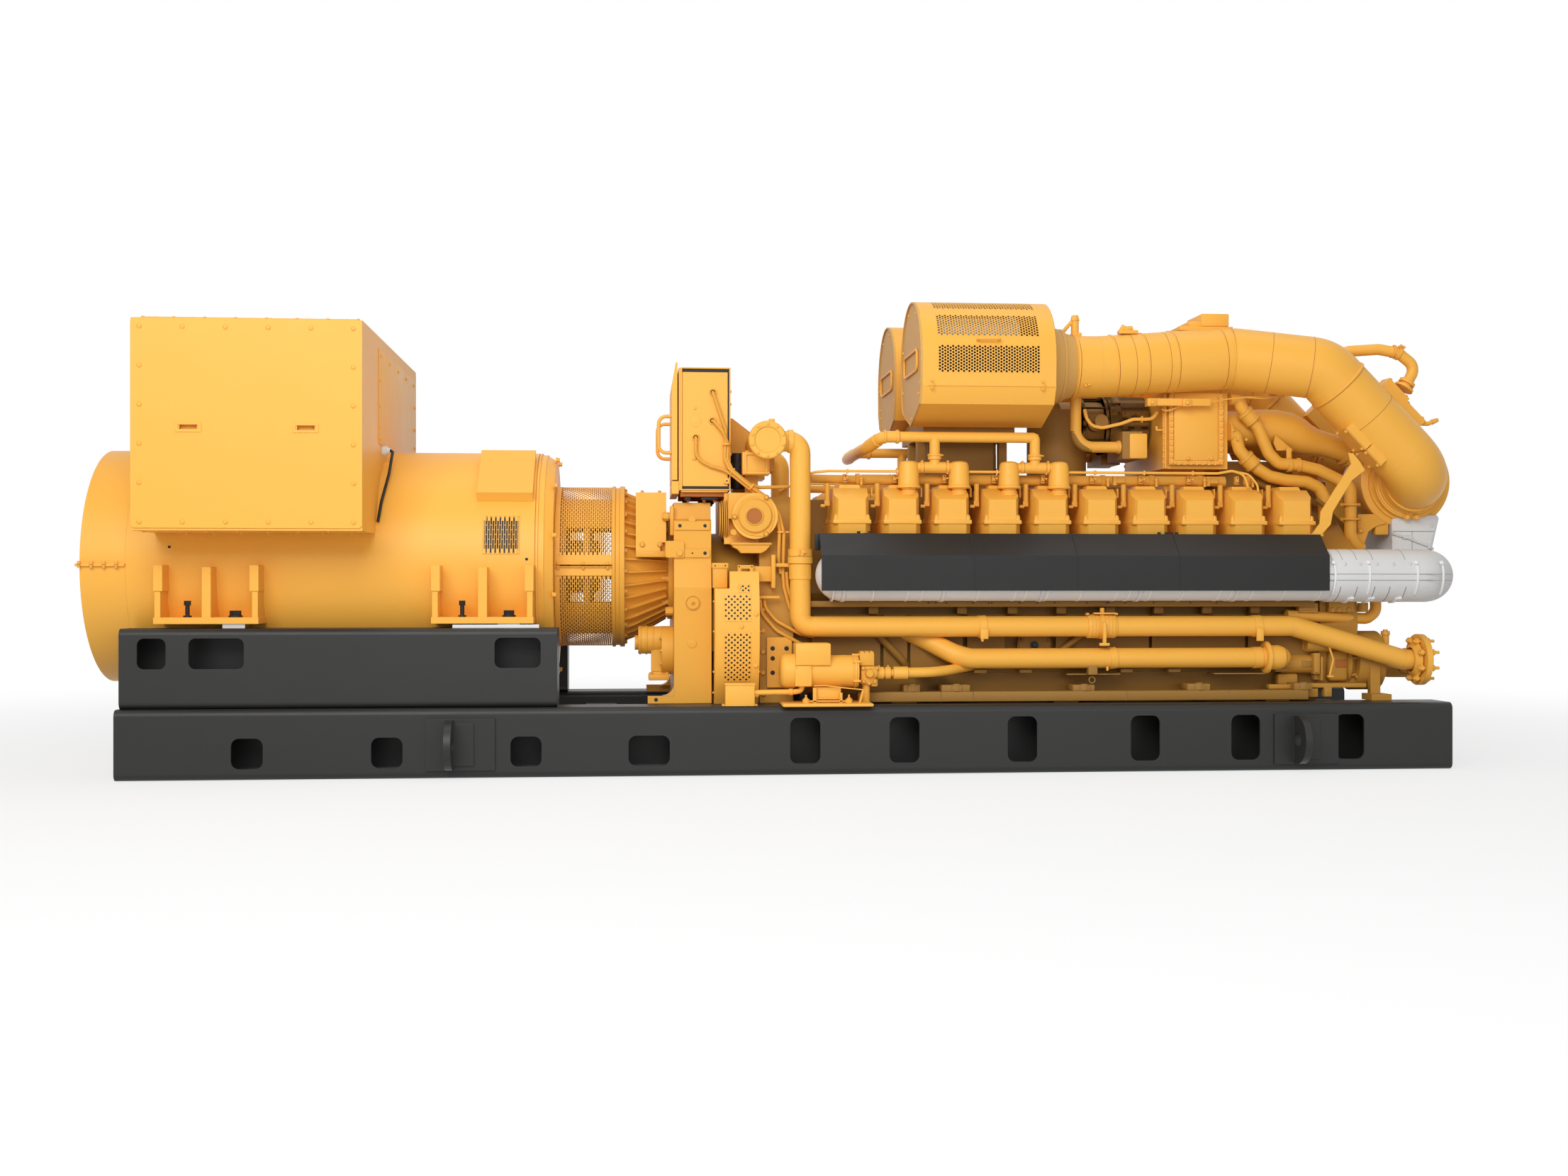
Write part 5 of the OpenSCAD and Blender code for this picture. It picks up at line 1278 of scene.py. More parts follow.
def head_lines(bm):
    tube(bm, [(-0.02, -0.48, 1.375), (0.02, -0.495, 1.4), (0.07, -0.5, 1.414), (0.13, -0.5, 1.42),
        (1.3, -0.5, 1.417), (2.035, -0.5, 1.419), (2.105, -0.5, 1.432), (2.165, -0.5, 1.415),
        (2.185, -0.5, 1.352)], 0.0065, 0.05, sides=10)
    tube(bm, flat(-0.5, 2.11, 1.43, 2.19, 1.415, 2.232, 1.365, 2.236, 1.33), 0.0055, 0.05, sides=10)
    for i in range(8):
        x = head_x[i] - 0.014
        block(bm, (x - 0.0035, -0.51, 1.408), (x + 0.0035, -0.49, 1.43), 0.001, 1)
        block(bm, (x - 0.004, -0.505, 1.385), (x + 0.004, -0.465, 1.392), 0.001, 1)


def rail_holes(bm):
    for x in head_x[:9]:
        for dx, z in ((-0.025, 1.376), (-0.017, 1.376), (-0.021, 1.398)):
            hole(bm, x + dx, -0.47, z, 0.003, 12)


drawn("head_rails", conduit, head_rail)
drawn("head_lines", enamel, head_lines)
drawn("rail_bracket_holes", rubber_and_shade_black, rail_holes)

# %% [markdown]
# ## Exhaust side
# The lagged exhaust manifold is held by narrow steel bands and hidden above by a folded shield in
# five lengths. The seams are thin strips that follow the fold.

# %% Shield and bands
shield_low, shield_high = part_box("exhaust_shields")
man_y, man_z, man_r = -0.605, 0.923, 0.1272
band_x = [0.134, 0.321, 0.483, 0.551, 0.655, 0.816, 0.993, 1.043, 1.147, 1.306, 1.477, 1.539, 1.64, 1.799,
    1.976, 2.032, 2.136, 2.292, 2.47]


def shield_dark(bm):
    out = shield_low.y - 0.002
    for x in (0.79, 1.28, 1.77):
        route = [(out, shield_low.z), (out, 1.015), (out + 0.112, shield_high.z + 0.002),
            (out + 0.12, shield_high.z - 0.006), (out + 0.008, 1.01), (out + 0.008, shield_low.z)]
        plate(bm, [(x - 0.0025, y, z) for y, z in route], (0.005, 0, 0))
    block(bm, (0.057, -0.61, 1.04), (0.082, -0.592, 1.118), 0.002)
    for x in (0.263, 0.315, 1.709, 1.745, 1.77, 1.795):
        stud(bm, x, -0.606, 1.112, 1.13, 0.008, sides=12)
    block(bm, (0.285, -0.615, 1.112), (0.335, -0.6, 1.122), 0.002)


def manifold_bands(bm):
    for x in band_x:
        hoop(bm, -0.004, 0.004, 0.1195, 0.1235, (x, man_y, man_z), ALONG, 64)
        block(bm, (x - 0.005, -0.52, 0.815), (x + 0.005, -0.5, 0.835), 0.001, 1)


drawn("shield_seams", rubber_and_shade_black, shield_dark, slot="base_paint")
drawn("lagging_bands", bright_band, manifold_bands, slot="shim_steel")

# %% Crankcase and pan
port_x, port_z = 1.135, 0.587


def crankcase_side(bm):
    block(bm, (0.03, -0.552, 0.773), (2.5, -0.46, 0.802), 0.003)
    for x in (0.348, 0.776, 1.022, 1.26, 1.5, 1.74, 1.98, 2.22):
        block(bm, (x - 0.024, -0.505, 0.738), (x + 0.024, -0.46, 0.772), 0.003)
    for x0, x1 in ((0.055, 0.385), (0.4, 0.515), (0.53, 0.785), (0.806, 0.99), (1.24, 1.7), (1.715, 2.18),
            (2.195, 2.54)):
        tile(bm, x0, x1, 0.475, 0.735, -0.468, -0.006, 0.01)
    turned(bm, [(0, core), (0.016, core), (0.016, 0.074), (0.012, 0.079), (0.008, 0.085), (0, 0.086)],
        (port_x, -0.468, port_z), OUT, 64)
    for c, s in around(8, 22):
        bolt(bm, (port_x + 0.068 * c, -0.484, port_z + 0.068 * s), OUT, 0.012, 0.007)
    tube(bm, [(0.35, -0.5, 0.66), (0.378, -0.5, 0.632), (0.494, -0.5, 0.51), (0.51, -0.475, 0.48)], 0.018,
        0.05, sides=20)
    tube(bm, [(1.24, -0.5, 0.545), (1.351, -0.5, 0.631), (1.4, -0.48, 0.66)], 0.017, 0.05, sides=20)


def pan_side(bm):
    block(bm, (0.262, -0.605, 0.325), (2.448, -0.52, 0.373), 0.006)
    for x in (0.654, 0.808, 1.55, 2.05):
        block(bm, (x - 0.002, -0.607, 0.326), (x + 0.002, -0.55, 0.372))
    for x0, x1, top in ((0.478, 0.557, 0.406), (0.66, 0.797, 0.404), (1.293, 1.399, 0.401),
            (1.852, 1.964, 0.404), (2.38, 2.47, 0.404)):
        block(bm, (x0, -0.595, 0.373), (x1, -0.48, top), 0.003)
        mid = (x0 + x1) / 2 + 0.004
        stud(bm, mid, -0.588, 0.374, top + 0.005, 0.018, sides=24)
        block(bm, (mid - 0.024, -0.602, 0.373), (mid + 0.024, -0.58, top - 0.003), 0.002)
    for x0, x1 in ((1.272, 1.533), (1.994, 2.25), (0.55, 0.7)):
        block(bm, (x0, -0.565, 0.4475), (x1, -0.46, 0.4535), 0.001, 1)
    for x in (0.86, 1.08, 1.574, 1.81, 2.34):
        block(bm, (x - 0.03, -0.53, 0.456), (x + 0.03, -0.46, 0.474), 0.003)
    block(bm, (1.367, -0.602, 0.449), (1.411, -0.56, 0.5), 0.003)
    hoop(bm, -0.003, 0.003, 0.012, 0.017, (1.389, -0.58, 0.424), (0, 1, 0), 32)
    block(bm, (2.516, -0.505, 0.415), (2.544, -0.46, 0.548), 0.003)
    block(bm, (2.453, -0.505, 0.477), (2.503, -0.46, 0.508), 0.003)


# The holes along the rail are dark discs: painted shade; the two bosses are the dark centre of the round cover.
def side_holes_and_plugs(bm):
    for x in (0.604, 0.64, 0.69, 0.82, 0.895, 0.91, 1.045, 1.13, 1.215, 1.372, 1.47, 1.478, 1.56, 1.7, 1.88,
            2.01):
        hole(bm, x, -0.552, 0.792, 0.004, 12)
    boss(bm, 1.131, 0.588, -0.484, -0.492, 0.019, sides=24)
    boss(bm, 1.131, 0.588, -0.49, -0.502, 0.012, sides=6)


# The crankcase and pan details are drawn in darker yellows: painted shade under the manifold and shield.
drawn("crankcase_details", shaded_cast, crankcase_side)
drawn("pan_details", half_shade_paint, pan_side)
drawn("crankcase_holes_and_plugs", rubber_and_shade_black, side_holes_and_plugs)

# %% Return pipes and clamps
return_y, return_z, return_r = -0.57, 0.528, 0.048
pipe_y, pipe_z, pipe_r = -0.56, 0.68, 0.049


def return_line(bm):
    tube(bm, [(0.5, -0.445, 0.665), (0.605, -0.49, 0.615), (0.725, -0.565, 0.548), (0.8, return_y, return_z),
        (2.26, return_y, return_z), (2.33, return_y, return_z), (2.345, -0.45, return_z)], return_r, 0.14,
        sides=40, steps=8)
    turned(bm, [(0, core), (0, 0.07), (0.006, 0.078), (0.018, 0.078), (0.02, 0.058), (0.07, 0.06),
        (0.095, 0.052), (0.11, 0.03), (0.112, core)], (2.236, return_y, return_z), ALONG, 48)
    ring(bm, (1.49, return_y, return_z), (1, 0, 0.1), return_r, 0.036, 0.004)
    ring(bm, (2.2, return_y, return_z), (1, 0, 0.05), return_r, 0.04, 0.004)
    stud(bm, 1.456, -0.61, 0.49, 0.47, 0.006, sides=10)


def supply_clamps(bm):
    ring(bm, (0.859, pipe_y, pipe_z), (1, 0, 0.04), pipe_r, 0.038, 0.004)
    block(bm, (0.842, -0.618, 0.622), (0.88, -0.606, 0.672), 0.002)
    bolt(bm, (0.852, -0.612, 0.622), DOWN, 0.012, 0.012)
    for x0, x1 in ((1.366, 1.426), (1.446, 1.506)):
        turned(bm, [(0, pipe_r - 0.002), (0, pipe_r + 0.006), (0.004, pipe_r + 0.008),
            (x1 - x0 - 0.004, pipe_r + 0.008), (x1 - x0, pipe_r + 0.006), (x1 - x0, pipe_r - 0.002)],
            (x0, pipe_y, pipe_z), ALONG, 48)
        for k in (0.3, 0.55, 0.8):
            ring(bm, (x0 + (x1 - x0) * k, pipe_y, pipe_z), ALONG, pipe_r + 0.0085, 0.003, 0.0012)
    ring(bm, (1.436, pipe_y, pipe_z), ALONG, pipe_r + 0.003, 0.02, 0.009)
    block(bm, (1.43, -0.632, 0.6), (1.446, -0.612, 0.7), 0.002)
    block(bm, (1.414, -0.632, 0.588), (1.462, -0.61, 0.602), 0.003)
    stud(bm, 1.44, -0.575, 0.735, 0.768, 0.011, sides=16)
    block(bm, (1.395, -0.6, 0.738), (1.5, -0.56, 0.746), 0.002)
    ring(bm, (2.202, pipe_y, pipe_z), ALONG, pipe_r, 0.038, 0.004)
    block(bm, (2.186, -0.618, 0.609), (2.22, -0.606, 0.672), 0.002)
    for x in (1.366, 1.506):
        block(bm, (x - 0.008, -0.6, 0.735), (x + 0.004, -0.57, 0.744), 0.001, 1)


drawn("return_pipes_mesh", enamel, return_line, instead_of=("return_pipes",))
drawn("pipe_clamps", enamel, supply_clamps)

# %% [markdown]
# ## Prelubrication pump
# A small motor pump stands on the rail: a rounded end cap, a drum with two boxes, a cradle on studs,
# and a ported head whose delivery line runs back under the pipes.

# %% Prelube pump
pump_y, pump_z = -0.655, 0.476


def pump_motor(bm):
    turned(bm, [(0, core), (0, 0.05), (0.004, 0.066), (0.014, 0.077), (0.03, 0.081), (0.068, 0.081),
        (0.069, 0.076), (0.069, core)], (-0.114, pump_y, pump_z), ALONG, 64)
    shaft(bm, pump_y, pump_z, -0.047, 0.225, 0.0745, sides=64)
    turned(bm, [(0, core), (0, 0.072), (0.006, 0.074), (0.008, 0.078), (0.016, 0.079), (0.018, 0.076),
        (0.026, 0.076), (0.028, 0.07), (0.028, core)], (0.224, pump_y, pump_z), ALONG, 64)
    for a in (35, 75, 145, 215, 325):
        y, z = pump_y - 0.078 * cos(radians(a)), pump_z + 0.078 * sin(radians(a))
        shaft(bm, y, z, 0.222, 0.258, 0.006, sides=8)
    block(bm, (-0.046, -0.736, 0.506), (0.116, -0.6, 0.608), 0.006)
    block(bm, (-0.046, -0.7375, 0.506), (0.116, -0.73, 0.6035), 0.002)
    block(bm, (-0.05, -0.742, 0.409), (0.028, -0.64, 0.504), 0.003)
    for x in (-0.043, 0.021):
        for z in (0.416, 0.497):
            button(bm, (x, -0.742, z), OUT, 0.0035, 0.002)
    block(bm, (-0.112, -0.802, rail_top), (0.308, -0.57, 0.333), 0.006)
    for x in (0.001, 0.201):
        stud(bm, x, -0.735, 0.333, 0.351, 0.016, sides=24)
        stud(bm, x, -0.735, 0.35, 0.357, 0.01, sides=6)
        stud(bm, x, -0.735, 0.357, 0.37, 0.0045, sides=10)
    block(bm, (0.001, -0.742, 0.337), (0.201, -0.728, 0.344), 0.001, 1)
    block(bm, (0.046, -0.742, 0.35), (0.162, -0.728, 0.355), 0.001, 1)
    for x0, x1, top in ((0.033, 0.05, 0.403), (0.156, 0.17, 0.379)):
        block(bm, (x0, -0.742, 0.333), (x1, -0.73, top), 0.001, 1)
    block(bm, (0.045, -0.725, 0.333), (0.165, -0.6, 0.402), 0.002)
    tube(bm, [(0.036, -0.747, 0.412), (0.09, -0.747, 0.413), (0.18, -0.747, 0.402), (0.272, -0.742, 0.392)],
        0.003, 0.08, sides=8)
    tube(bm, flat(-0.735, 0.268, 0.394, 0.262, 0.37, 0.25, 0.328), 0.006, 0.03, sides=10)
    tube(bm, flat(-0.7, -0.238, 0.379, -0.048, 0.382, -0.018, 0.388, -0.012, 0.412), 0.0125, 0.03, sides=20)
    ring(bm, (-0.066, -0.7, 0.382), ALONG, 0.0125, 0.018, 0.003)


def pump_head(bm):
    block(bm, (0.256, -0.7, 0.502), (0.324, -0.625, 0.56), 0.003)
    for x in (0.268, 0.29, 0.312):
        boss(bm, x, 0.56, -0.698, -0.63, 0.01, sides=16)
    block(bm, (0.262, -0.7, 0.416), (0.33, -0.62, 0.5), 0.006)
    boss(bm, 0.3, 0.467, -0.73, -0.66, 0.017, 0.026, sides=24)
    bar(bm, (0.285, -0.705, 0.467), (0.33, -0.69, 0.467), 0.02, 0.024, sides=24)
    for x, z in ((0.274, 0.428), (0.3, 0.42), (0.326, 0.428), (0.336, 0.49), (0.272, 0.49)):
        bolt(bm, (x, -0.7, z), OUT, 0.014, 0.01)
    block(bm, (0.31, -0.69, 0.404), (0.342, -0.64, 0.44), 0.006)
    stud(bm, 0.29, -0.665, 0.32, 0.416, 0.018, sides=16)


def pump_line(bm):
    x0 = 0.322
    turned(bm, [(0, core), (0, 0.033), (0.014, 0.033), (0.015, 0.026), (0.019, 0.026), (0.02, 0.029),
        (0.05, 0.029), (0.052, 0.022), (0.058, 0.022), (0.059, 0.029), (0.082, 0.029), (0.084, 0.018),
        (0.096, 0.018), (0.097, 0.028), (0.1, 0.03), (0.164, 0.03), (0.166, 0.024), (0.166, core)],
        (x0, -0.66, 0.466), ALONG, 36)
    tube(bm, [(0.48, -0.658, 0.467), (0.6, -0.655, 0.468), (0.7, -0.6, 0.476), (0.82, -0.495, 0.49)], 0.0235,
        0.25, sides=28, steps=8)
    for x in (0.352, 0.394):
        bar(bm, (x, -0.668, 0.493), (x, -0.656, 0.5), 0.004, sides=8)


bm, rough_bm = bmesh.new(), bmesh.new()
pump_motor(bm)
pump_line(bm)
pump_head(rough_bm)
piece("prelube_pumps_mesh", bm, enamel, instead_of=("prelube_pump",))
piece("prelube_pump_heads", rough_bm, cast_enamel)

# %% [markdown]
# ## Air filters
# Each filter is a pleated element inside a folded cowl. The cowl is drawn as an outline that is
# stretched along the engine, strip by strip, so that three windows stay open in it; punched sheet
# fills the windows, and the pale element shows through the holes as it does on the real one.

# %% Filter cowls
filter_low, filter_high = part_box("air_filters")
filter_r = 0.3
axis_y, axis_z = filter_low.y + filter_r, filter_high.z - filter_r
cowl_x0, cowl_x1 = filter_low.x + 0.01, 1.187
windows = [(-13.6, 11.3), (20.1, 44.7), (55.4, 80.0)]
win_x0, win_x1 = 0.627, 1.108


def cowl_point(a, scale=1.0):
    """The outline at an angle above -Y; below the axis it runs straight down to the fold."""
    t = radians(a)
    if a >= 0:
        y, z = -filter_r * cos(t), filter_r * sin(t)
    else:
        y, z = -filter_r + 0.004 * min(-filter_r * t / 0.135, 1), filter_r * t
    return axis_y + y * scale, axis_z + z * scale


def cowl_outline(scale=1.0):
    arc = [cowl_point(180 * k / 48, scale) for k in range(49)]
    under = [(0.296, -0.135), (0.255, -0.215), (0.0, -0.2995), (-0.255, -0.215), (-0.296, -0.135)]
    return arc + [(axis_y + y * scale, axis_z + z * scale) for y, z in under]


def strip(bm, points, x0, x1):
    rows = [(bm.verts.new((x0, y, z)), bm.verts.new((x1, y, z))) for y, z in points]
    for (a, b), (c, d) in zip(rows, rows[1:]):
        bm.faces.new((a, b, d, c))


def cowl(bm):
    sheet = bmesh.new()

    def full(points):
        for x0, x1 in ((cowl_x0, win_x0), (win_x0, win_x1), (win_x1, cowl_x1)):
            strip(sheet, points, x0, x1)

    full([cowl_point(-25.8 + k * 1.525) for k in range(9)])
    for k, (a0, a1) in enumerate(windows):
        arc = [cowl_point(a0 + (a1 - a0) * i / 9) for i in range(10)]
        strip(sheet, arc, cowl_x0, win_x0)
        strip(sheet, arc, win_x1, cowl_x1)
        a2 = windows[k + 1][0] if k < 2 else 180.0
        n = max(2, int((a2 - a1) / 4))
        full([cowl_point(a1 + (a2 - a1) * i / n) for i in range(n + 1)])
    under = [(0.3, 0.0), (0.296, -0.135), (0.255, -0.215), (0.0, -0.2995), (-0.255, -0.215), (-0.296, -0.135)]
    full([(axis_y + y, axis_z + z) for y, z in under])
    bmesh.ops.remove_doubles(sheet, verts=sheet.verts, dist=0.0004)
    add_sheet(bm, sheet, 0.002)


def cowl_ends(bm):
    rim, inner = cowl_outline(1.0), cowl_outline(0.972)
    closed_end = [(cowl_x0 + 0.004, rim), (filter_low.x, cowl_outline(0.998)), (filter_low.x, inner),
        (cowl_x0 - 0.003, inner)]
    duct_end = [(cowl_x1 - 0.001, rim), (cowl_x1 + 0.003, cowl_outline(0.985))]
    for stations, caps in ((closed_end, (False, True)), (duct_end, (True, True))):
        lofted(bm, [[(x, y, z) for y, z in outline] for x, outline in stations], caps)
    turned(bm, [(1.185, core), (1.185, 0.208), (1.2, 0.205), (1.23, 0.19), (1.268, 0.176), (1.3, 0.16),
        (1.331, 0.151), (1.331, core)], (0, axis_y, axis_z), ALONG, 64)
    hoop(bm, 1.263, 1.275, 0.17, 0.18, (0, axis_y, axis_z), ALONG, 64)


def cowl_fittings(bm):
    face = cowl_x0 - 0.003
    for a in (62, 108, 160, -2, 205, -26, 322, 270):
        t = radians(a)
        button(bm, (face, axis_y - 0.274 * cos(t), axis_z + 0.262 * sin(t)), BACK, 0.0065, 0.006)
    tube(bm, [(face - 0.006, axis_y, axis_z - 0.046), (face - 0.006, axis_y - 0.188, axis_z - 0.046),
        (face - 0.006, axis_y - 0.188, axis_z + 0.052), (face - 0.006, axis_y + 0.188, axis_z + 0.052),
        (face - 0.006, axis_y + 0.188, axis_z - 0.046), (face - 0.006, axis_y, axis_z - 0.046)], 0.006, 0.03,
        sides=12)
    out = axis_y - filter_r * cos(radians(15.5))
    z = axis_z + filter_r * sin(radians(15.5))
    tube(bm, [(0.812, out + 0.004, z), (0.812, out - 0.03, z + 0.006), (0.914, out - 0.03, z + 0.006),
        (0.914, out + 0.004, z)], 0.0065, 0.01, sides=14)
    for x in (0.596, 1.122):
        y = axis_y - 0.2975
        boss(bm, x, axis_z - 0.11, y, y - 0.005, 0.008, sides=16)
        boss(bm, x, axis_z - 0.145, y, y - 0.005, 0.008, sides=16)
        tube(bm, [(x - 0.004, y - 0.005, axis_z - 0.108), (x + 0.008, y - 0.008, axis_z - 0.122),
            (x + 0.006, y - 0.008, axis_z - 0.138), (x - 0.004, y - 0.005, axis_z - 0.148)], 0.0022, 0.006,
            sides=8)
    block(bm, (cowl_x0 + 0.02, axis_y - 0.2985, axis_z - 0.1355), (cowl_x1 - 0.004, axis_y - 0.297,
        axis_z - 0.1345))


def cowl_screens(bm):
    for a0, a1 in windows:
        def form(u, v, a0=a0, a1=a1):
            y, z = cowl_point(a0 + (a1 - a0) * u)
            return Vector((win_x0 + (win_x1 - win_x0) * v, y, z))
        perforated(bm, 9, 38, 0.0, 0.002, form, 0.0015, hole=0.0053)


# A dark sheet behind the lowest window: painted shade inside the cowl.
def screen_shade_sheet(bm):
    def form(u, v):
        y, z = cowl_point(-14 + 26 * u, 0.955)
        return Vector((win_x0 - 0.01 + (win_x1 - win_x0 + 0.02) * v, y, z))
    bent_patch(bm, form)


def elements(bm):
    turned(bm, [(0.575, core), (0.575, 0.205), (0.6, 0.205), (0.6, core)], (0, axis_y, axis_z), ALONG, 48)
    pleats = zip((0.225, 0.205) * 60, around(120))
    plate(bm, [(0.6, axis_y - r * c, axis_z + r * s) for r, (c, s) in pleats], (0.42, 0, 0))
    turned(bm, [(1.02, core), (1.02, 0.235), (1.04, 0.235), (1.04, core)], (0, axis_y, axis_z), ALONG, 48)


drawn("filter_cowls", enamel, cowl, cowl_fittings, instead_of=("air_filters",))
# The filter ends are drawn in a duller yellow: painted shade on the end faces.
drawn("filter_ends", shaded_end_cap, cowl_ends)
drawn("filter_screens", enamel, cowl_screens)
drawn("filter_elements", pale_plastic, elements)
drawn("filter_shadows", rubber_and_shade_black, screen_shade_sheet)
print("filter axis", round(axis_y, 3), round(axis_z, 3))

# %% [markdown]
# ## Intake ducts
# The ducts are rolled from short lengths, so a raised joint runs round at every weld. Each joint is
# a ring set square to the duct's own centre line.

# %% Duct joints and fittings
duct_r, drop_y = 0.149, 0.504
centre_line = fillet_route([(1.331, axis_y, axis_z), (1.461, axis_y, axis_z), (2.131, axis_y, axis_z + 0.05),
    (2.556, -drop_y, axis_z - 0.01), (3.08, -drop_y, 1.399), (3.08, -0.335, 1.399)], 0.161, 12)


def on_line(distance):
    """A point at a distance along the duct and the way the duct runs there."""
    for a, b in zip(centre_line, centre_line[1:]):
        step = (b - a).length
        if distance <= step:
            return a + (b - a) * (distance / step), (b - a).normalized()
        distance -= step
    return centre_line[-1], (centre_line[-1] - centre_line[-2]).normalized()


def duct_joint(bm, distance, width, proud):
    centre, way = on_line(distance)
    half = width / 2
    turned(bm, [(-half, duct_r - 0.003), (half, duct_r - 0.003), (half, duct_r + proud * 0.6),
        (half * 0.6, duct_r + proud), (-half * 0.6, duct_r + proud), (-half, duct_r + proud * 0.6)], centre,
        way, 72)


joints = [(0.01, 0.012, 0.006), (0.2, 0.006, 0.004), (0.352, 0.006, 0.004), (0.5, 0.006, 0.004),
    (0.74, 0.005, 0.003), (0.79, 0.005, 0.003), (1.35, 0.014, 0.006)]
thin_joints = [0.29, 0.46, 0.985, 1.18, 1.56]


def duct_trim(bm):
    for distance, width, proud in joints:
        duct_joint(bm, distance, width, proud)


def duct_lines(bm):
    for distance in thin_joints:
        duct_joint(bm, distance, 0.0022, 0.0009)
    for distance, width, proud in joints:
        duct_joint(bm, distance + width * 0.5 + 0.0015, 0.0028, 0.001)


def duct_fittings(bm):
    block(bm, (1.335, axis_y - 0.03, 2.085), (1.38, axis_y + 0.03, 2.105), 0.003)
    stud(bm, 1.353, axis_y, 2.095, 2.175, 0.019, sides=24)
    stud(bm, 1.353, axis_y, 2.165, 2.192, 0.024, 0.016, sides=6)
    tube(bm, [(1.353, axis_y, 2.178), (1.318, axis_y, 2.14), (1.285, axis_y, 2.1),
        (1.262, axis_y + 0.02, 2.07)], 0.009, 0.03, sides=14)
    block(bm, (1.56, axis_y - 0.05, 2.1), (1.655, axis_y - 0.01, 2.118), 0.003)
    bar(bm, (1.585, axis_y - 0.03, 2.118), (1.63, axis_y - 0.03, 2.13), 0.018, 0.012, sides=16)
    bar(bm, (1.57, axis_y - 0.03, 2.11), (1.59, axis_y - 0.03, 2.14), 0.012, sides=12)
    block(bm, (1.88, axis_y + 0.01, 2.128), (2.15, axis_y + 0.23, 2.15), 0.003)
    block(bm, (1.93, axis_y + 0.02, 2.15), (2.01, axis_y + 0.2, 2.176), 0.004)
    block(bm, (1.99, axis_y + 0.01, 2.15), (2.13, axis_y + 0.23, 2.213), 0.006)
    bar(bm, (2.155, axis_y - 0.02, 2.118), (2.205, axis_y - 0.02, 2.121), 0.012, sides=12)
    for x, z in ((1.3755, 1.837), (1.391, 1.842)):
        boss(bm, x, z, axis_y - 0.106, axis_y - 0.122, 0.006, sides=12)


drawn("duct_joints", enamel, duct_trim, duct_fittings)
# Thin weld lines are dark seams; the lines beside the raised joints are painted shade; both are brown.
drawn("duct_joint_lines", brown_shade, duct_lines)

# %% [markdown]
# ## Aftercooler
# The cooler's cover is a plate clamped by a frame of bolts, and its side shows the edge of a second
# frame. Beside it the throttle body hangs under the mixer with an actuator box and a bypass pipe.

# %% Aftercooler frame and throttle
cool_y, mixer_z = low("aftercooler").y, 1.692


def cooler_frame(bm):
    x0, x1, z0, z1 = 1.838, 2.112, 1.47, 1.826
    frame_ring(bm, ((x0 + x1) / 2, cool_y + 0.01, (z0 + z1) / 2), (x1 - x0) / 2, (z1 - z0) / 2, 0.022,
        (0, -0.016, 0))
    block(bm, (1.862, cool_y - 0.01, 1.492), (2.084, cool_y + 0.01, 1.826), 0.004)
    for k in range(12):
        z = 1.48 + (1.815 - 1.48) * k / 11
        for x in (1.849, 2.101):
            block(bm, (x - 0.008, cool_y - 0.012, z - 0.007), (x + 0.008, cool_y - 0.004, z + 0.007), 0.002, 1)
        shaft(bm, -0.33, z, 1.812, 1.828, 0.006, sides=12)
    for k in range(8):
        x = 1.868 + (2.084 - 1.868) * k / 7
        block(bm, (x - 0.008, cool_y - 0.012, 1.472), (x + 0.008, cool_y - 0.004, 1.486), 0.002, 1)
    for x in (1.93, 2.046):
        bolt(bm, (x, cool_y - 0.01, 1.502), OUT, 0.016, 0.01)
    block(bm, (1.82, cool_y + 0.01, 1.452), (1.83, cool_y + 0.03, 1.83), 0.001, 1)
    block(bm, (1.78, cool_y + 0.02, 1.64), (1.816, cool_y + 0.032, 1.648), 0.002)
    stud(bm, 1.784, cool_y + 0.026, 1.644, 1.662, 0.006, sides=12)
    for x0, x1 in ((1.708, 1.752), (1.884, 1.926)):
        block(bm, (x0, -0.43, 1.752), (x1, -0.38, 1.79), 0.003)
        bolt(bm, ((x0 + x1) / 2, -0.43, 1.769), OUT, 0.018, 0.008)
    block(bm, (1.752, -0.415, 1.755), (2.03, -0.395, 1.792), 0.003)


def throttle(bm):
    tube(bm, flat(-0.29, 1.386, 1.84, 1.386, 1.56, 1.6, 1.56), 0.0275, 0.085, sides=32, steps=10)
    block(bm, (1.645, -0.335, 1.5), (1.738, -0.3, 1.628), 0.012)
    ring(bm, (1.602, -0.29, 1.56), ALONG, 0.0275, 0.014, 0.006)


def throttle_shaded(bm):
    boss(bm, 1.532, 1.694, -0.24, -0.232, 0.034, sides=40)
    boss(bm, 1.532, 1.694, -0.232, -0.15, 0.028, sides=24)
    for x in (1.47, 1.59):
        hoop(bm, -0.008, 0.008, 0.12, 0.15, (x, 0, mixer_z), ALONG, 64)
    for c, s in around(10):
        y, z = -0.138 * c, mixer_z + 0.138 * s
        shaft(bm, y, z, 1.462, 1.598, 0.006, sides=10)
    turned(bm, [(1.6, 0.1), (1.605, 0.15), (1.64, 0.16), (1.66, 0.16), (1.664, 0.15), (1.8, 0.15), (1.8, 0.1)],
        (0, 0, mixer_z), ALONG, 64)


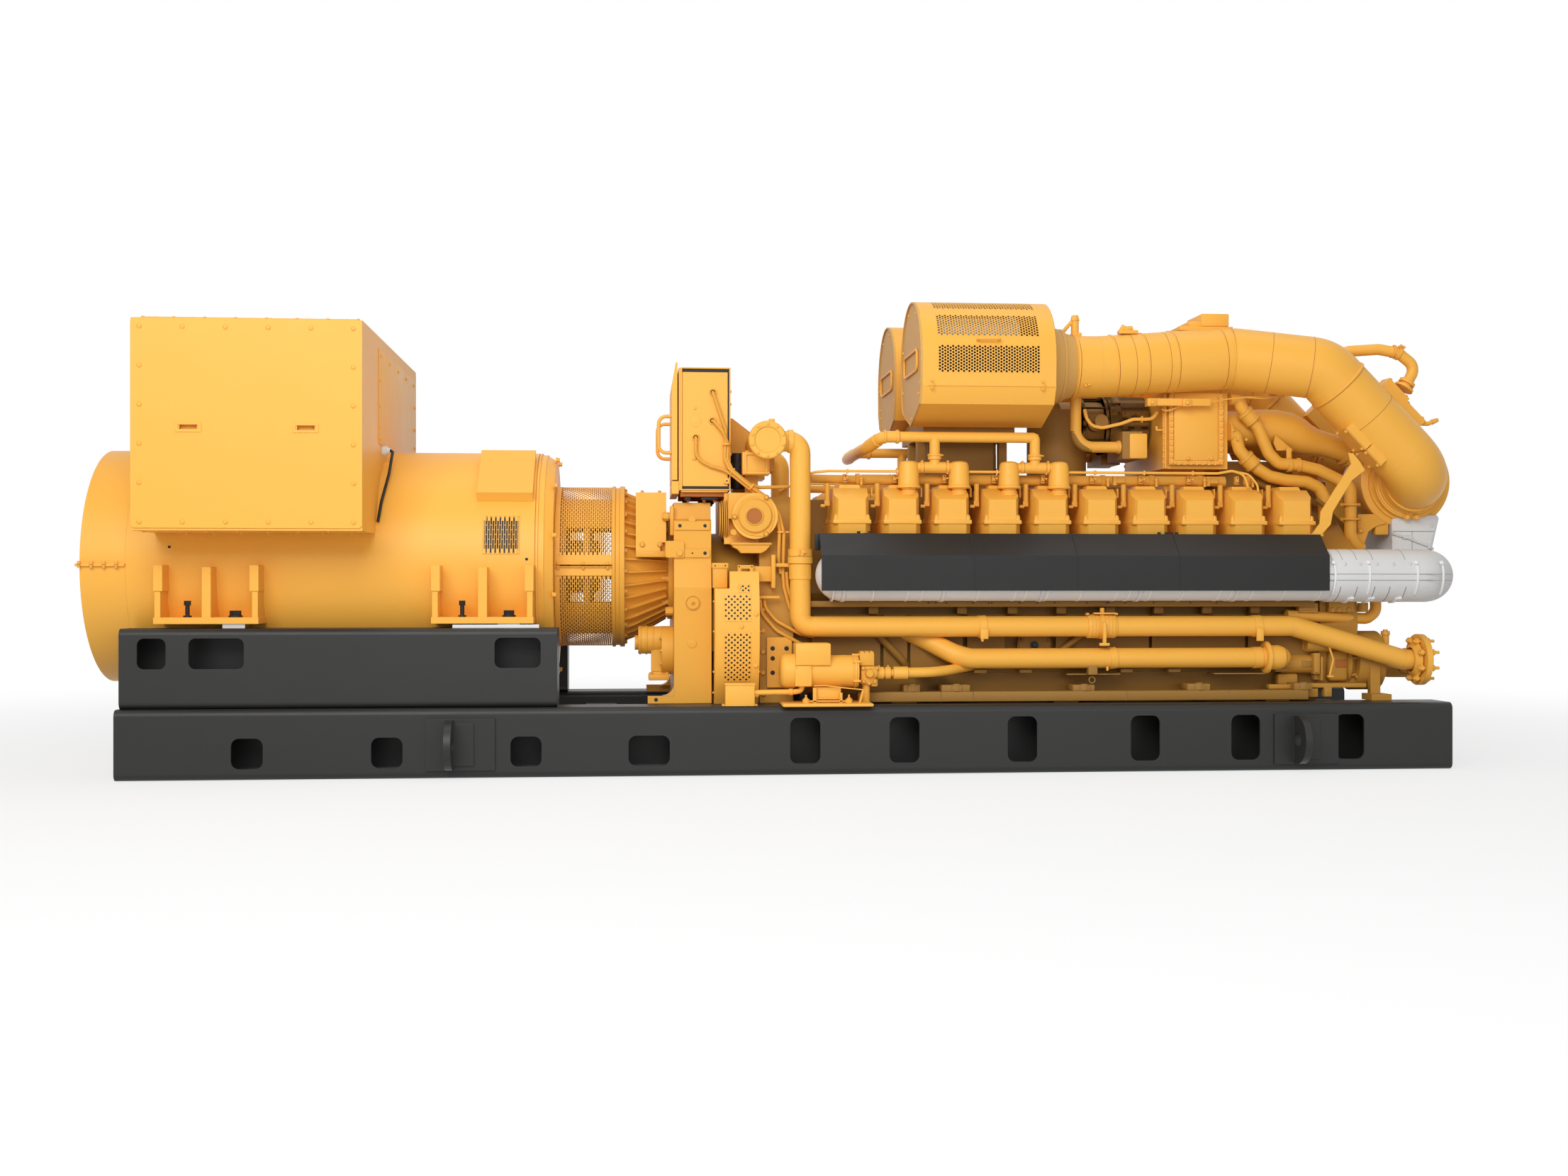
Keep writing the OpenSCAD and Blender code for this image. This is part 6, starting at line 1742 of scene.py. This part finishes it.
def cooler_hose(bm):
    tube(bm, [(1.428, -0.3, 1.745), (1.436, -0.31, 1.7), (1.46, -0.32, 1.662), (1.51, -0.33, 1.652),
        (1.6, -0.34, 1.672), (1.66, -0.35, 1.694), (1.72, -0.35, 1.694), (1.76, -0.34, 1.698),
        (1.786, -0.33, 1.732)], 0.0085, 0.05, sides=12)
    tube(bm, [(1.796, -0.37, 1.742), (1.815, -0.385, 1.732), (1.842, -0.385, 1.74), (1.87, -0.39, 1.752),
        (1.905, -0.4, 1.76)], 0.004, 0.03, sides=8)
    ring(bm, (1.702, -0.35, 1.694), ALONG, 0.0085, 0.006, 0.008)


drawn("aftercooler_frames", enamel, cooler_frame, throttle, cooler_hose)
# The parts behind the throttle are drawn in a mid-dark yellow: painted shade under the mixer.
drawn("throttle_parts", half_shade_paint, throttle_shaded)

# %% [markdown]
# ## Turbocharger end
# The duct turns into the compressor through a ribbed cone behind a clamp ring. Charge air leaves by a
# swelling pipe to the cooler, and two water pipes from the cooler run down behind the strut.

# %% Compressor cone and duct boxes
turbo_x, turbo_z, turbo_y = 3.08, 1.399, -0.504
slope = Vector((0.7011, 0, -0.7131))
rise = Vector((0.7131, 0, 0.7011))
knee = Vector((2.556, turbo_y, 1.932))


def compressor_cone(bm):
    turned(bm, [(0.262, core), (0.262, 0.222), (0.266, 0.2315), (0.282, 0.2315), (0.287, 0.222),
        (0.289, 0.205), (0.3, 0.19), (0.312, 0.187), (0.32, 0.178), (0.338, 0.176), (0.34, 0.166),
        (0.352, 0.166), (0.354, 0.158), (0.356, core)], (turbo_x, 0, turbo_z), OUT, 96)
    for r, width in ((0.183, 0.007), (0.171, 0.006)):
        hoop(bm, 0.33, 0.33 + width, r - 0.006, r + 0.003, (turbo_x, 0, turbo_z), OUT, 96)
    turned(bm, [(0.35, 0.14), (0.35, 0.163), (0.395, 0.156), (0.395, 0.14)], (turbo_x, 0, turbo_z), OUT, 72)
    for c, s in around(8, 22.5):
        plate(bm, [(turbo_x + r * c - 0.004 * s, y, turbo_z + r * s + 0.004 * c)
            for r, y in ((0.145, -0.352), (0.164, -0.352), (0.146, -0.4))], (0.008 * s, 0, -0.008 * c))
    for dx in (-0.022, 0.026):
        bolt(bm, (turbo_x + dx, -0.345, 1.2165), OUT, 0.022, 0.012)
    block(bm, (turbo_x - 0.026, -0.285, 1.1675), (turbo_x + 0.046, -0.262, 1.19), 0.004)


def duct_boxes(bm):
    for start, stop in ((0.267, 0.41), (0.414, 0.518)):
        a, b = knee + slope * start - rise * 0.152, knee + slope * stop - rise * 0.152
        a.y = b.y = -0.602
        plate(bm, [tuple(p) for p in (a, b, b + rise * 0.065, a + rise * 0.065)], (0, 0.127, 0))
        a, b = a - rise * 0.006, b - rise * 0.006
        plate(bm, [tuple(p + Vector((0, -0.003, 0))) for p in (a, b, b + rise * 0.004, a + rise * 0.004)],
            (0, 0.133, 0))
        for t in (0.1, 0.9):
            for dy in (0.014, 0.112):
                bolt(bm, tuple(a.lerp(b, t) + Vector((0, dy, 0))), tuple(-rise), 0.013, 0.01)
    plate(bm, flat(-0.606, 2.644, 1.516, 2.65, 1.49, 2.658, 1.463, 2.507, 1.231, 2.502, 1.174, 2.462, 1.121,
        2.512, 1.121, 2.556, 1.17, 2.568, 1.233, 2.662, 1.383, 2.727, 1.432, 2.7, 1.475, 2.669, 1.512),
        (0, 0.009, 0))
    block(bm, (2.462, -0.606, 1.112), (2.52, -0.52, 1.124), 0.002)


def duct_ports(bm):
    for start, stop, top in ((0.285, 0.43, 0.247), (0.43, 0.565, 0.231)):
        a, b = knee + slope * start + rise * 0.09, knee + slope * stop + rise * 0.09
        lift = rise * (top - 0.09)
        plate(bm, [tuple(p + Vector((0, 0.075, 0))) for p in (a, b, b + lift, a + lift)], (0, 0.09, 0))
    for along, up in ((0.3, 0.247), (0.415, 0.247), (0.445, 0.231), (0.55, 0.231)):
        bolt(bm, tuple(knee + slope * along + rise * up + Vector((0, 0.1, 0))), tuple(rise), 0.016, 0.012)
    tip = knee + slope * 0.565 + rise * 0.205 + Vector((0, 0.1, 0))
    tube(bm, [tuple(tip - slope * 0.01), tuple(tip + Vector((0.04, 0, 0.006))),
        tuple(tip + Vector((0.08, 0, 0.022)))], 0.011, 0.02, sides=14)
    bar(bm, tuple(tip + Vector((0.06, 0, 0.014))), tuple(tip + Vector((0.092, 0, 0.026))), 0.014, 0.01, sides=6)


def bypass(bm):
    tube(bm, [(2.6, -0.26, 1.9), (2.66, -0.3, 2.0), (2.76, -0.33, 2.044), (2.9, -0.37, 2.05),
        (2.99, -0.395, 2.03), (3.055, -0.405, 1.975), (3.062, -0.405, 1.935), (3.04, -0.405, 1.895),
        (3.01, -0.405, 1.85)], 0.0275, 0.08, sides=28, steps=6)
    ring(bm, (2.99, -0.395, 2.031), (1, 0, -0.45), 0.0285, 0.018, 0.008)
    ring(bm, (2.965, -0.39, 2.038), (1, 0, -0.3), 0.0285, 0.01, 0.005)
    ring(bm, (3.03, -0.405, 1.88), (0.55, 0, 0.83), 0.0285, 0.016, 0.012)
    ring(bm, (3.014, -0.405, 1.856), (0.55, 0, 0.83), 0.0285, 0.012, 0.02)
    bar(bm, (2.985, -0.43, 2.064), (3.01, -0.43, 2.052), 0.006, sides=10)


drawn("turbo_fittings", enamel, compressor_cone, duct_ports, bypass)
drawn("duct_brackets_mesh", enamel, duct_boxes, instead_of=("duct_brackets",))

# %% Charge air and cooler water pipes
def swelling(bm, stations, sides=40):
    """Lofts rings of changing size along a route of (centre, radius) stations."""
    loops = []
    for i, (centre, radius) in enumerate(stations):
        before, after = Vector(stations[max(i - 1, 0)][0]), Vector(stations[min(i + 1, len(stations) - 1)][0])
        turn = (after - before).to_track_quat("Z", "Y").to_matrix()
        loops.append([Vector(centre) + turn @ Vector((radius * c, radius * s, 0)) for c, s in around(sides)])
    lofted(bm, loops, (True, True))


charge_y = -0.215


def charge_pipe(bm):
    swollen = ((2.14, 1.66, 0.085), (2.24, 1.664, 0.088), (2.34, 1.668, 0.094), (2.42, 1.664, 0.098),
        (2.49, 1.65, 0.098), (2.545, 1.628, 0.092), (2.59, 1.61, 0.08), (2.64, 1.598, 0.068),
        (2.7, 1.585, 0.062), (2.78, 1.562, 0.06), (2.8, 1.556, 0.06))
    flared = ((2.805, 1.553, 0.066), (2.88, 1.535, 0.078), (2.96, 1.515, 0.09))
    swelling(bm, [((x, charge_y, z), r) for x, z, r in swollen])
    ring(bm, (2.792, charge_y, 1.558), (1, 0, -0.28), 0.06, 0.018, 0.014)
    ring(bm, (2.812, charge_y, 1.552), (1, 0, -0.28), 0.06, 0.016, 0.02)
    swelling(bm, [((x, charge_y, z), r) for x, z, r in flared])
    for c, s in around(8):
        y, rise = charge_y + 0.07 * c, 0.07 * s
        bar(bm, (2.77, y, 1.564 + rise), (2.832, y, 1.547 + rise), 0.006, sides=8)
    plate(bm, flat(-0.32, 2.392, 1.625, 2.382, 1.584, 2.399, 1.547, 2.486, 1.548), (0, 0.01, 0))


def cooler_water(bm):
    tube(bm, flat(-0.34, 2.15, 1.8, 2.2, 1.8, 2.205, 1.765, 2.242, 1.714, 2.293, 1.661, 2.349, 1.53, 2.4, 1.48,
        2.502, 1.474, 2.605, 1.45, 2.7, 1.405, 2.769, 1.375, 2.769, 1.13, 2.8, 1.07) + [(2.83, -0.33, 1.06)],
        0.03, 0.055, sides=28)
    tube(bm, flat(-0.36, 2.143, 1.62, 2.178, 1.62, 2.18, 1.59, 2.193, 1.544, 2.24, 1.49, 2.286, 1.451,
        2.345, 1.416, 2.43, 1.398, 2.535, 1.389, 2.6, 1.36, 2.625, 1.31) + [(2.63, -0.35, 1.2)],
        0.03, 0.05, sides=28)
    for a, b in (((2.222, -0.34, 1.738), (2.272, -0.34, 1.686)),
            ((2.218, -0.36, 1.514), (2.268, -0.36, 1.466))):
        bar(bm, a, b, 0.04, sides=32)
        for p in (Vector(a), Vector(b)):
            way = (Vector(b) - Vector(a)).normalized()
            ring(bm, p + way * (0.01 if p == Vector(a) else -0.01), way, 0.04, 0.012, 0.003)
    shaft(bm, -0.35, 1.64, 2.14, 2.15, 0.046, sides=28)
    for c, s in around(6):
        y, z = -0.35 + 0.042 * c, 1.64 + 0.042 * s
        shaft(bm, y, z, 2.15, 2.158, 0.006, sides=8)
    for dx in (-0.022, 0.022):
        boss(bm, 2.192 + dx, 1.594, -0.392, -0.4, 0.007, sides=12)
    for z in (1.278, 1.206):
        ring(bm, (2.769, -0.34, z), UP, 0.03, 0.01, 0.018)
        for dx in (-0.044, 0.044):
            stud(bm, 2.769 + dx, -0.34, z - 0.008, z + 0.008, 0.008, sides=12)
    ring(bm, (2.452, -0.34, 1.474), ALONG, 0.03, 0.02, 0.005)
    ring(bm, (2.5, -0.34, 1.474), ALONG, 0.03, 0.014, 0.006)
    block(bm, (2.44, -0.345, 1.5), (2.466, -0.335, 1.56), 0.002)
    plate(bm, flat(-0.3, 2.824, 1.233, 2.91, 1.234, 2.974, 1.187, 2.925, 1.176, 2.88, 1.146, 2.85, 1.059,
        2.824, 1.059), (0, 0.03, 0))
    bolt(bm, (2.838, -0.3, 1.15), OUT, 0.022, 0.01)
    block(bm, (2.92, -0.29, 1.13), (2.99, -0.24, 1.19), 0.006)


def turbo_lines(bm):
    tube(bm, [(2.03, -0.4, 1.776), (2.12, -0.4, 1.792), (2.223, -0.4, 1.803), (2.36, -0.38, 1.806),
        (2.42, -0.36, 1.812)], 0.004, 0.03, sides=8)
    tube(bm, [(2.2, -0.4, 1.801), (2.3, -0.4, 1.796), (2.44, -0.38, 1.822)], 0.0035, 0.03, sides=8)


drawn("charge_pipes_mesh", cast_enamel, charge_pipe, instead_of=("charge_air_pipes",))
drawn("cooler_water_pipes", cast_enamel, cooler_water)
drawn("turbo_lines", enamel, turbo_lines)

# %% Turbocharger mount
def turbo_mount(bm):
    hull(bm, [(x, y, z) for y in (-0.2, 0.0) for x, z in ((2.47, 1.05), (2.88, 1.05), (2.86, 1.13),
        (2.64, 1.33), (2.48, 1.3))])
    block(bm, (2.56, -0.235, 1.23), (2.69, -0.15, 1.4), 0.012)
    block(bm, (2.6, -0.24, 1.09), (2.73, -0.18, 1.25), 0.01)
    boss(bm, 2.7, 1.18, -0.245, -0.19, 0.04, sides=32)
    tube(bm, [(2.3, -0.3, 1.39), (2.38, -0.3, 1.36), (2.52, -0.3, 1.33), (2.62, -0.28, 1.28)], 0.018, 0.05,
        sides=16)
    tube(bm, [(2.56, -0.42, 1.3), (2.6, -0.42, 1.27), (2.66, -0.41, 1.275)], 0.012, 0.03, sides=12)
    block(bm, (2.14, -0.22, 1.3), (2.52, -0.12, 1.5), 0.01)
    boss(bm, 2.33, 1.4, -0.24, -0.2, 0.06, sides=32)
    for x, z in ((2.585, 1.38), (2.665, 1.38), (2.625, 1.11), (2.705, 1.11)):
        bolt(bm, (x, -0.238, z), OUT, 0.018, 0.012)


# The mount is drawn in the darkest yellow: painted shade behind the ducts and pipes.
drawn("turbo_mounts", shaded_cast, turbo_mount)

# %% [markdown]
# ## Lagging at the turbine
# The lagging is made in quilted lengths: a seam runs along it, curved joints run round it below, and
# bright bands with buckles hold it. The block over the outlet carries a strap and press studs.

# %% Lagging details
def half_ring(bm, x, start, stop, radius, width, proud):
    """A strip round part of the manifold, from one angle above -Y to another."""
    loops = []
    for k in range(17):
        a = radians(start + (stop - start) * k / 16)
        corners = ((-width, radius), (width, radius), (width, radius + proud), (-width, radius + proud))
        loops.append([(x + w / 2, man_y - r * cos(a), man_z + r * sin(a)) for w, r in corners])
    lofted(bm, loops, (True, True))


def lagging_seams(bm):
    for z in (0.929, 0.9):
        y = man_y - sqrt(man_r ** 2 - (z - man_z) ** 2) - 0.0008
        block(bm, (2.5, y, z - 0.0012), (3.1, y + 0.004, z + 0.0012))
    for x in (2.557, 2.639, 2.725, 2.8, 2.879):
        half_ring(bm, x, -80, -25, man_r - 0.001, 0.003, 0.002)
    for x in (2.57, 2.64, 2.72, 2.88):
        half_ring(bm, x, 35, 100, man_r - 0.001, 0.002, 0.0015)


def lagging_clips(bm):
    for x in (2.526, 2.696, 2.932, 3.058):
        half_ring(bm, x, -45, 22, man_r - 0.001, 0.01, 0.004)
        ends = [(x - 0.004, man_y - r * cos(radians(28)), man_z + r * sin(radians(28)))
            for r in (man_r, man_r + 0.006)]
        bar(bm, *ends, 0.01, sides=16)
    for x in (2.618, 2.719, 2.854):
        half_ring(bm, x, -95, -58, man_r - 0.001, 0.012, 0.007)
        half_ring(bm, x + 0.012, -64, -54, man_r - 0.001, 0.02, 0.01)


def lagging_studs(bm):
    for x in (2.578, 2.653, 2.735, 2.817, 2.9):
        t = asin((0.977 - man_z) / man_r)
        button(bm, (x, man_y - man_r * cos(t), 0.977), (0, -cos(t), sin(t)), 0.007, 0.004)


def turbine_cover(bm):
    body = ((3.0, 1.2), (3.004, 1.04), (3.205, 1.04), (3.246, 1.214), (3.236, 1.23), (3.02, 1.23))
    face = ((3.015, 1.19), (3.018, 1.05), (3.192, 1.05), (3.228, 1.205))
    hull(bm, [(x, y, z) for front, outline in ((-0.3, body), (-0.312, face)) for y in (front, 0.0)
        for x, z in outline])
    tube(bm, [(2.999, -0.316, 1.136), (3.02, -0.318, 1.128), (3.076, -0.32, 1.114), (3.13, -0.32, 1.092),
        (3.196, -0.318, 1.07)], 0.006, 0.05, sides=10)
    block(bm, (3.05, -0.322, 1.108), (3.1, -0.31, 1.126), 0.002)
    block(bm, (3.18, -0.322, 1.06), (3.2, -0.31, 1.084), 0.002)
    for x, z in ((3.205, 1.176), (3.205, 1.06)):
        button(bm, (x, -0.312, z), OUT, 0.008, 0.004)


def turbine_seams(bm):
    block(bm, (3.006, -0.3128, 1.146), (3.215, -0.3, 1.149))
    block(bm, (3.1, -0.3128, 1.052), (3.1025, -0.3, 1.146))


def turbine_core(bm):
    house_low, house_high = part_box("turbine_housing")
    outlet = (house_high.x - 0.024, house_high.x)
    block(bm, (2.93, -0.3, house_low.z), (3.21, 0.3, 1.058), 0.02, 3)
    block(bm, (3.01, -0.118, 1.04), (3.19, 0.118, 1.399), 0.004)
    boss(bm, turbo_x, turbo_z, -0.12, 0.12, 0.165, sides=64)
    shaft(bm, 0, turbo_z, turbo_x, outlet[0], 0.13, sides=64)
    turned(bm, [(outlet[0], 0.1), (outlet[0], 0.1635), (outlet[1], 0.1635), (outlet[1], 0.1)], (0, 0, turbo_z),
        ALONG, 64)
    block(bm, (2.75, -0.1, 0.833), (2.94, 0.1, 1.013), 0.01)
    for c, s in around(8, 22.5):
        bolt(bm, (outlet[0], 0.149 * c, turbo_z + 0.149 * s), BACK, 0.018, 0.012)


bm = bmesh.new()
turbine_core(bm)
both_sides(turbine_cover, bm)
both_sides(lagging_studs, bm)
piece("turbine_lagging", bm, lagging, slot="lagging", instead_of=("turbine_housing",))
drawn("lagging_seams", seam_grey, lagging_seams, turbine_seams, slot="lagging")
drawn("lagging_clips", bright_band, lagging_clips, slot="shim_steel")

# %% [markdown]
# ## Low front end
# Under the front of the engine sit the water pump with its open cage, a small oil tank, a lever and
# their shelf; the supply pipe ends in a flange with its studs standing out.

# %% Front end pumps
flange_x, flange_y, flange_z = high("water_pipes").x, -0.56, 0.515


def front_pipes(bm):
    tube(bm, [(2.38, -0.49, 0.73), (2.55, -0.48, 0.722), (2.819, -0.42, 0.712), (2.866, -0.415, 0.745),
        (2.866, -0.41, 0.88)], 0.027, 0.045, sides=28)
    for c, s in around(8, 22.5):
        y, z = flange_y + 0.098 * c, flange_z + 0.098 * s
        shaft(bm, y, z, flange_x - 0.062, flange_x + 0.042, 0.0075, sides=10)
        shaft(bm, y, z, flange_x, flange_x + 0.018, 0.0155, sides=6)
        shaft(bm, y, z, flange_x - 0.054, flange_x - 0.036, 0.0155, sides=6)
    turned(bm, [(flange_x - 0.062, 0.06), (flange_x - 0.037, 0.092), (flange_x - 0.036, 0.06)],
        (0, flange_y, flange_z), ALONG, 40)
    ring(bm, (flange_x - 0.012, flange_y, flange_z), ALONG, 0.1185, 0.01, 0.0025)
    stud(bm, 2.922, -0.4, 0.56, 0.632, 0.018, sides=24)
    stud(bm, 2.922, -0.4, 0.63, 0.65, 0.023, 0.021, sides=24)
    stud(bm, 2.922, -0.4, 0.648, 0.657, 0.012, sides=6)
    tube(bm, flat(-0.56, 2.566, 0.583, 2.588, 0.517, 2.57, 0.44), 0.005, 0.02, sides=10)
    block(bm, (2.556, -0.575, 0.43), (2.586, -0.555, 0.44), 0.003)


def front_pumps(bm):
    cage_y, cage_z = -0.355, 0.5
    turned(bm, [(2.7, core), (2.7, 0.11), (2.716, 0.124), (2.722, 0.124), (2.724, 0.098), (2.728, core)],
        (0, cage_y, cage_z), ALONG, 48)
    turned(bm, [(2.752, core), (2.752, 0.125), (2.768, 0.138), (2.8, 0.141), (2.85, 0.138), (2.88, 0.12),
        (2.886, 0.06), (2.888, core)], (0, cage_y, cage_z), ALONG, 64)
    for c, s in around(8, 10):
        y, z = cage_y - 0.112 * c, cage_z + 0.112 * s
        shaft(bm, y, z, 2.72, 2.756, 0.009, sides=8)
        bolt(bm, (2.752, cage_y - 0.13 * c, cage_z + 0.13 * s), BACK, 0.014, 0.01)
    tube(bm, [(2.88, -0.35, 0.462), (2.96, -0.35, 0.452), (3.05, -0.36, 0.452)], 0.034, 0.06, sides=28)
    tube(bm, [(2.985, -0.4, 0.47), (3.0, -0.42, 0.44), (3.04, -0.45, 0.436)], 0.004, 0.02, sides=8)
    block(bm, (2.6, -0.48, 0.405), (2.7, -0.4, 0.56), 0.02, 3)
    shaft(bm, -0.5, 0.59, 2.47, 2.592, 0.038, sides=32)
    block(bm, (2.465, -0.49, 0.556), (2.6, -0.455, 0.62), 0.01)
    shaft(bm, -0.455, 0.492, 2.36, 2.508, 0.048, sides=32)
    block(bm, (2.504, -0.53, 0.444), (2.535, -0.48, 0.546), 0.003)
    block(bm, (2.539, -0.53, 0.413), (2.55, -0.48, 0.529), 0.002)
    block(bm, (2.334, -0.5, 0.391), (2.436, -0.44, 0.445), 0.01)
    block(bm, (2.455, -0.54, 0.378), (2.764, -0.46, 0.4), 0.004)
    block(bm, (2.274, -0.545, 0.374), (2.412, -0.5, 0.396), 0.003)
    block(bm, (2.55, -0.545, 0.335), (2.588, -0.5, 0.382), 0.003)
    block(bm, (2.475, -0.535, 0.333), (2.523, -0.49, 0.375), 0.003)
    block(bm, (2.434, -0.52, 0.742), (2.529, -0.468, 0.79), 0.003)
    for z in (0.754, 0.764, 0.774):
        block(bm, (2.432, -0.523, z), (2.53, -0.5, z + 0.003), 0.001, 1)
    block(bm, (2.59, -0.505, 0.745), (2.72, -0.47, 0.8), 0.005)
    stud(bm, 2.775, -0.47, 0.745, 0.79, 0.026, sides=24)
    for x in (2.608, 2.64, 2.69):
        boss(bm, x, 0.756, -0.51, -0.47, 0.012, sides=12)
    bolt(bm, (2.516, -0.53, 0.458), OUT, 0.014, 0.008)


def oil_cover(bm):
    block(bm, (2.632, -0.4845, 0.473), (2.69, -0.47, 0.513), 0.005)


drawn("front_pipes", enamel, front_pipes)
# The low front pumps are drawn in a darker yellow: painted shade under the engine's front.
drawn("front_pump_parts", part_shaded_cast, front_pumps)
# The small cover plate is drawn in brown: painted shade.
drawn("front_cover_plates", brown_shade, oil_cover)

# %% Update the scene
bpy.context.view_layer.update()
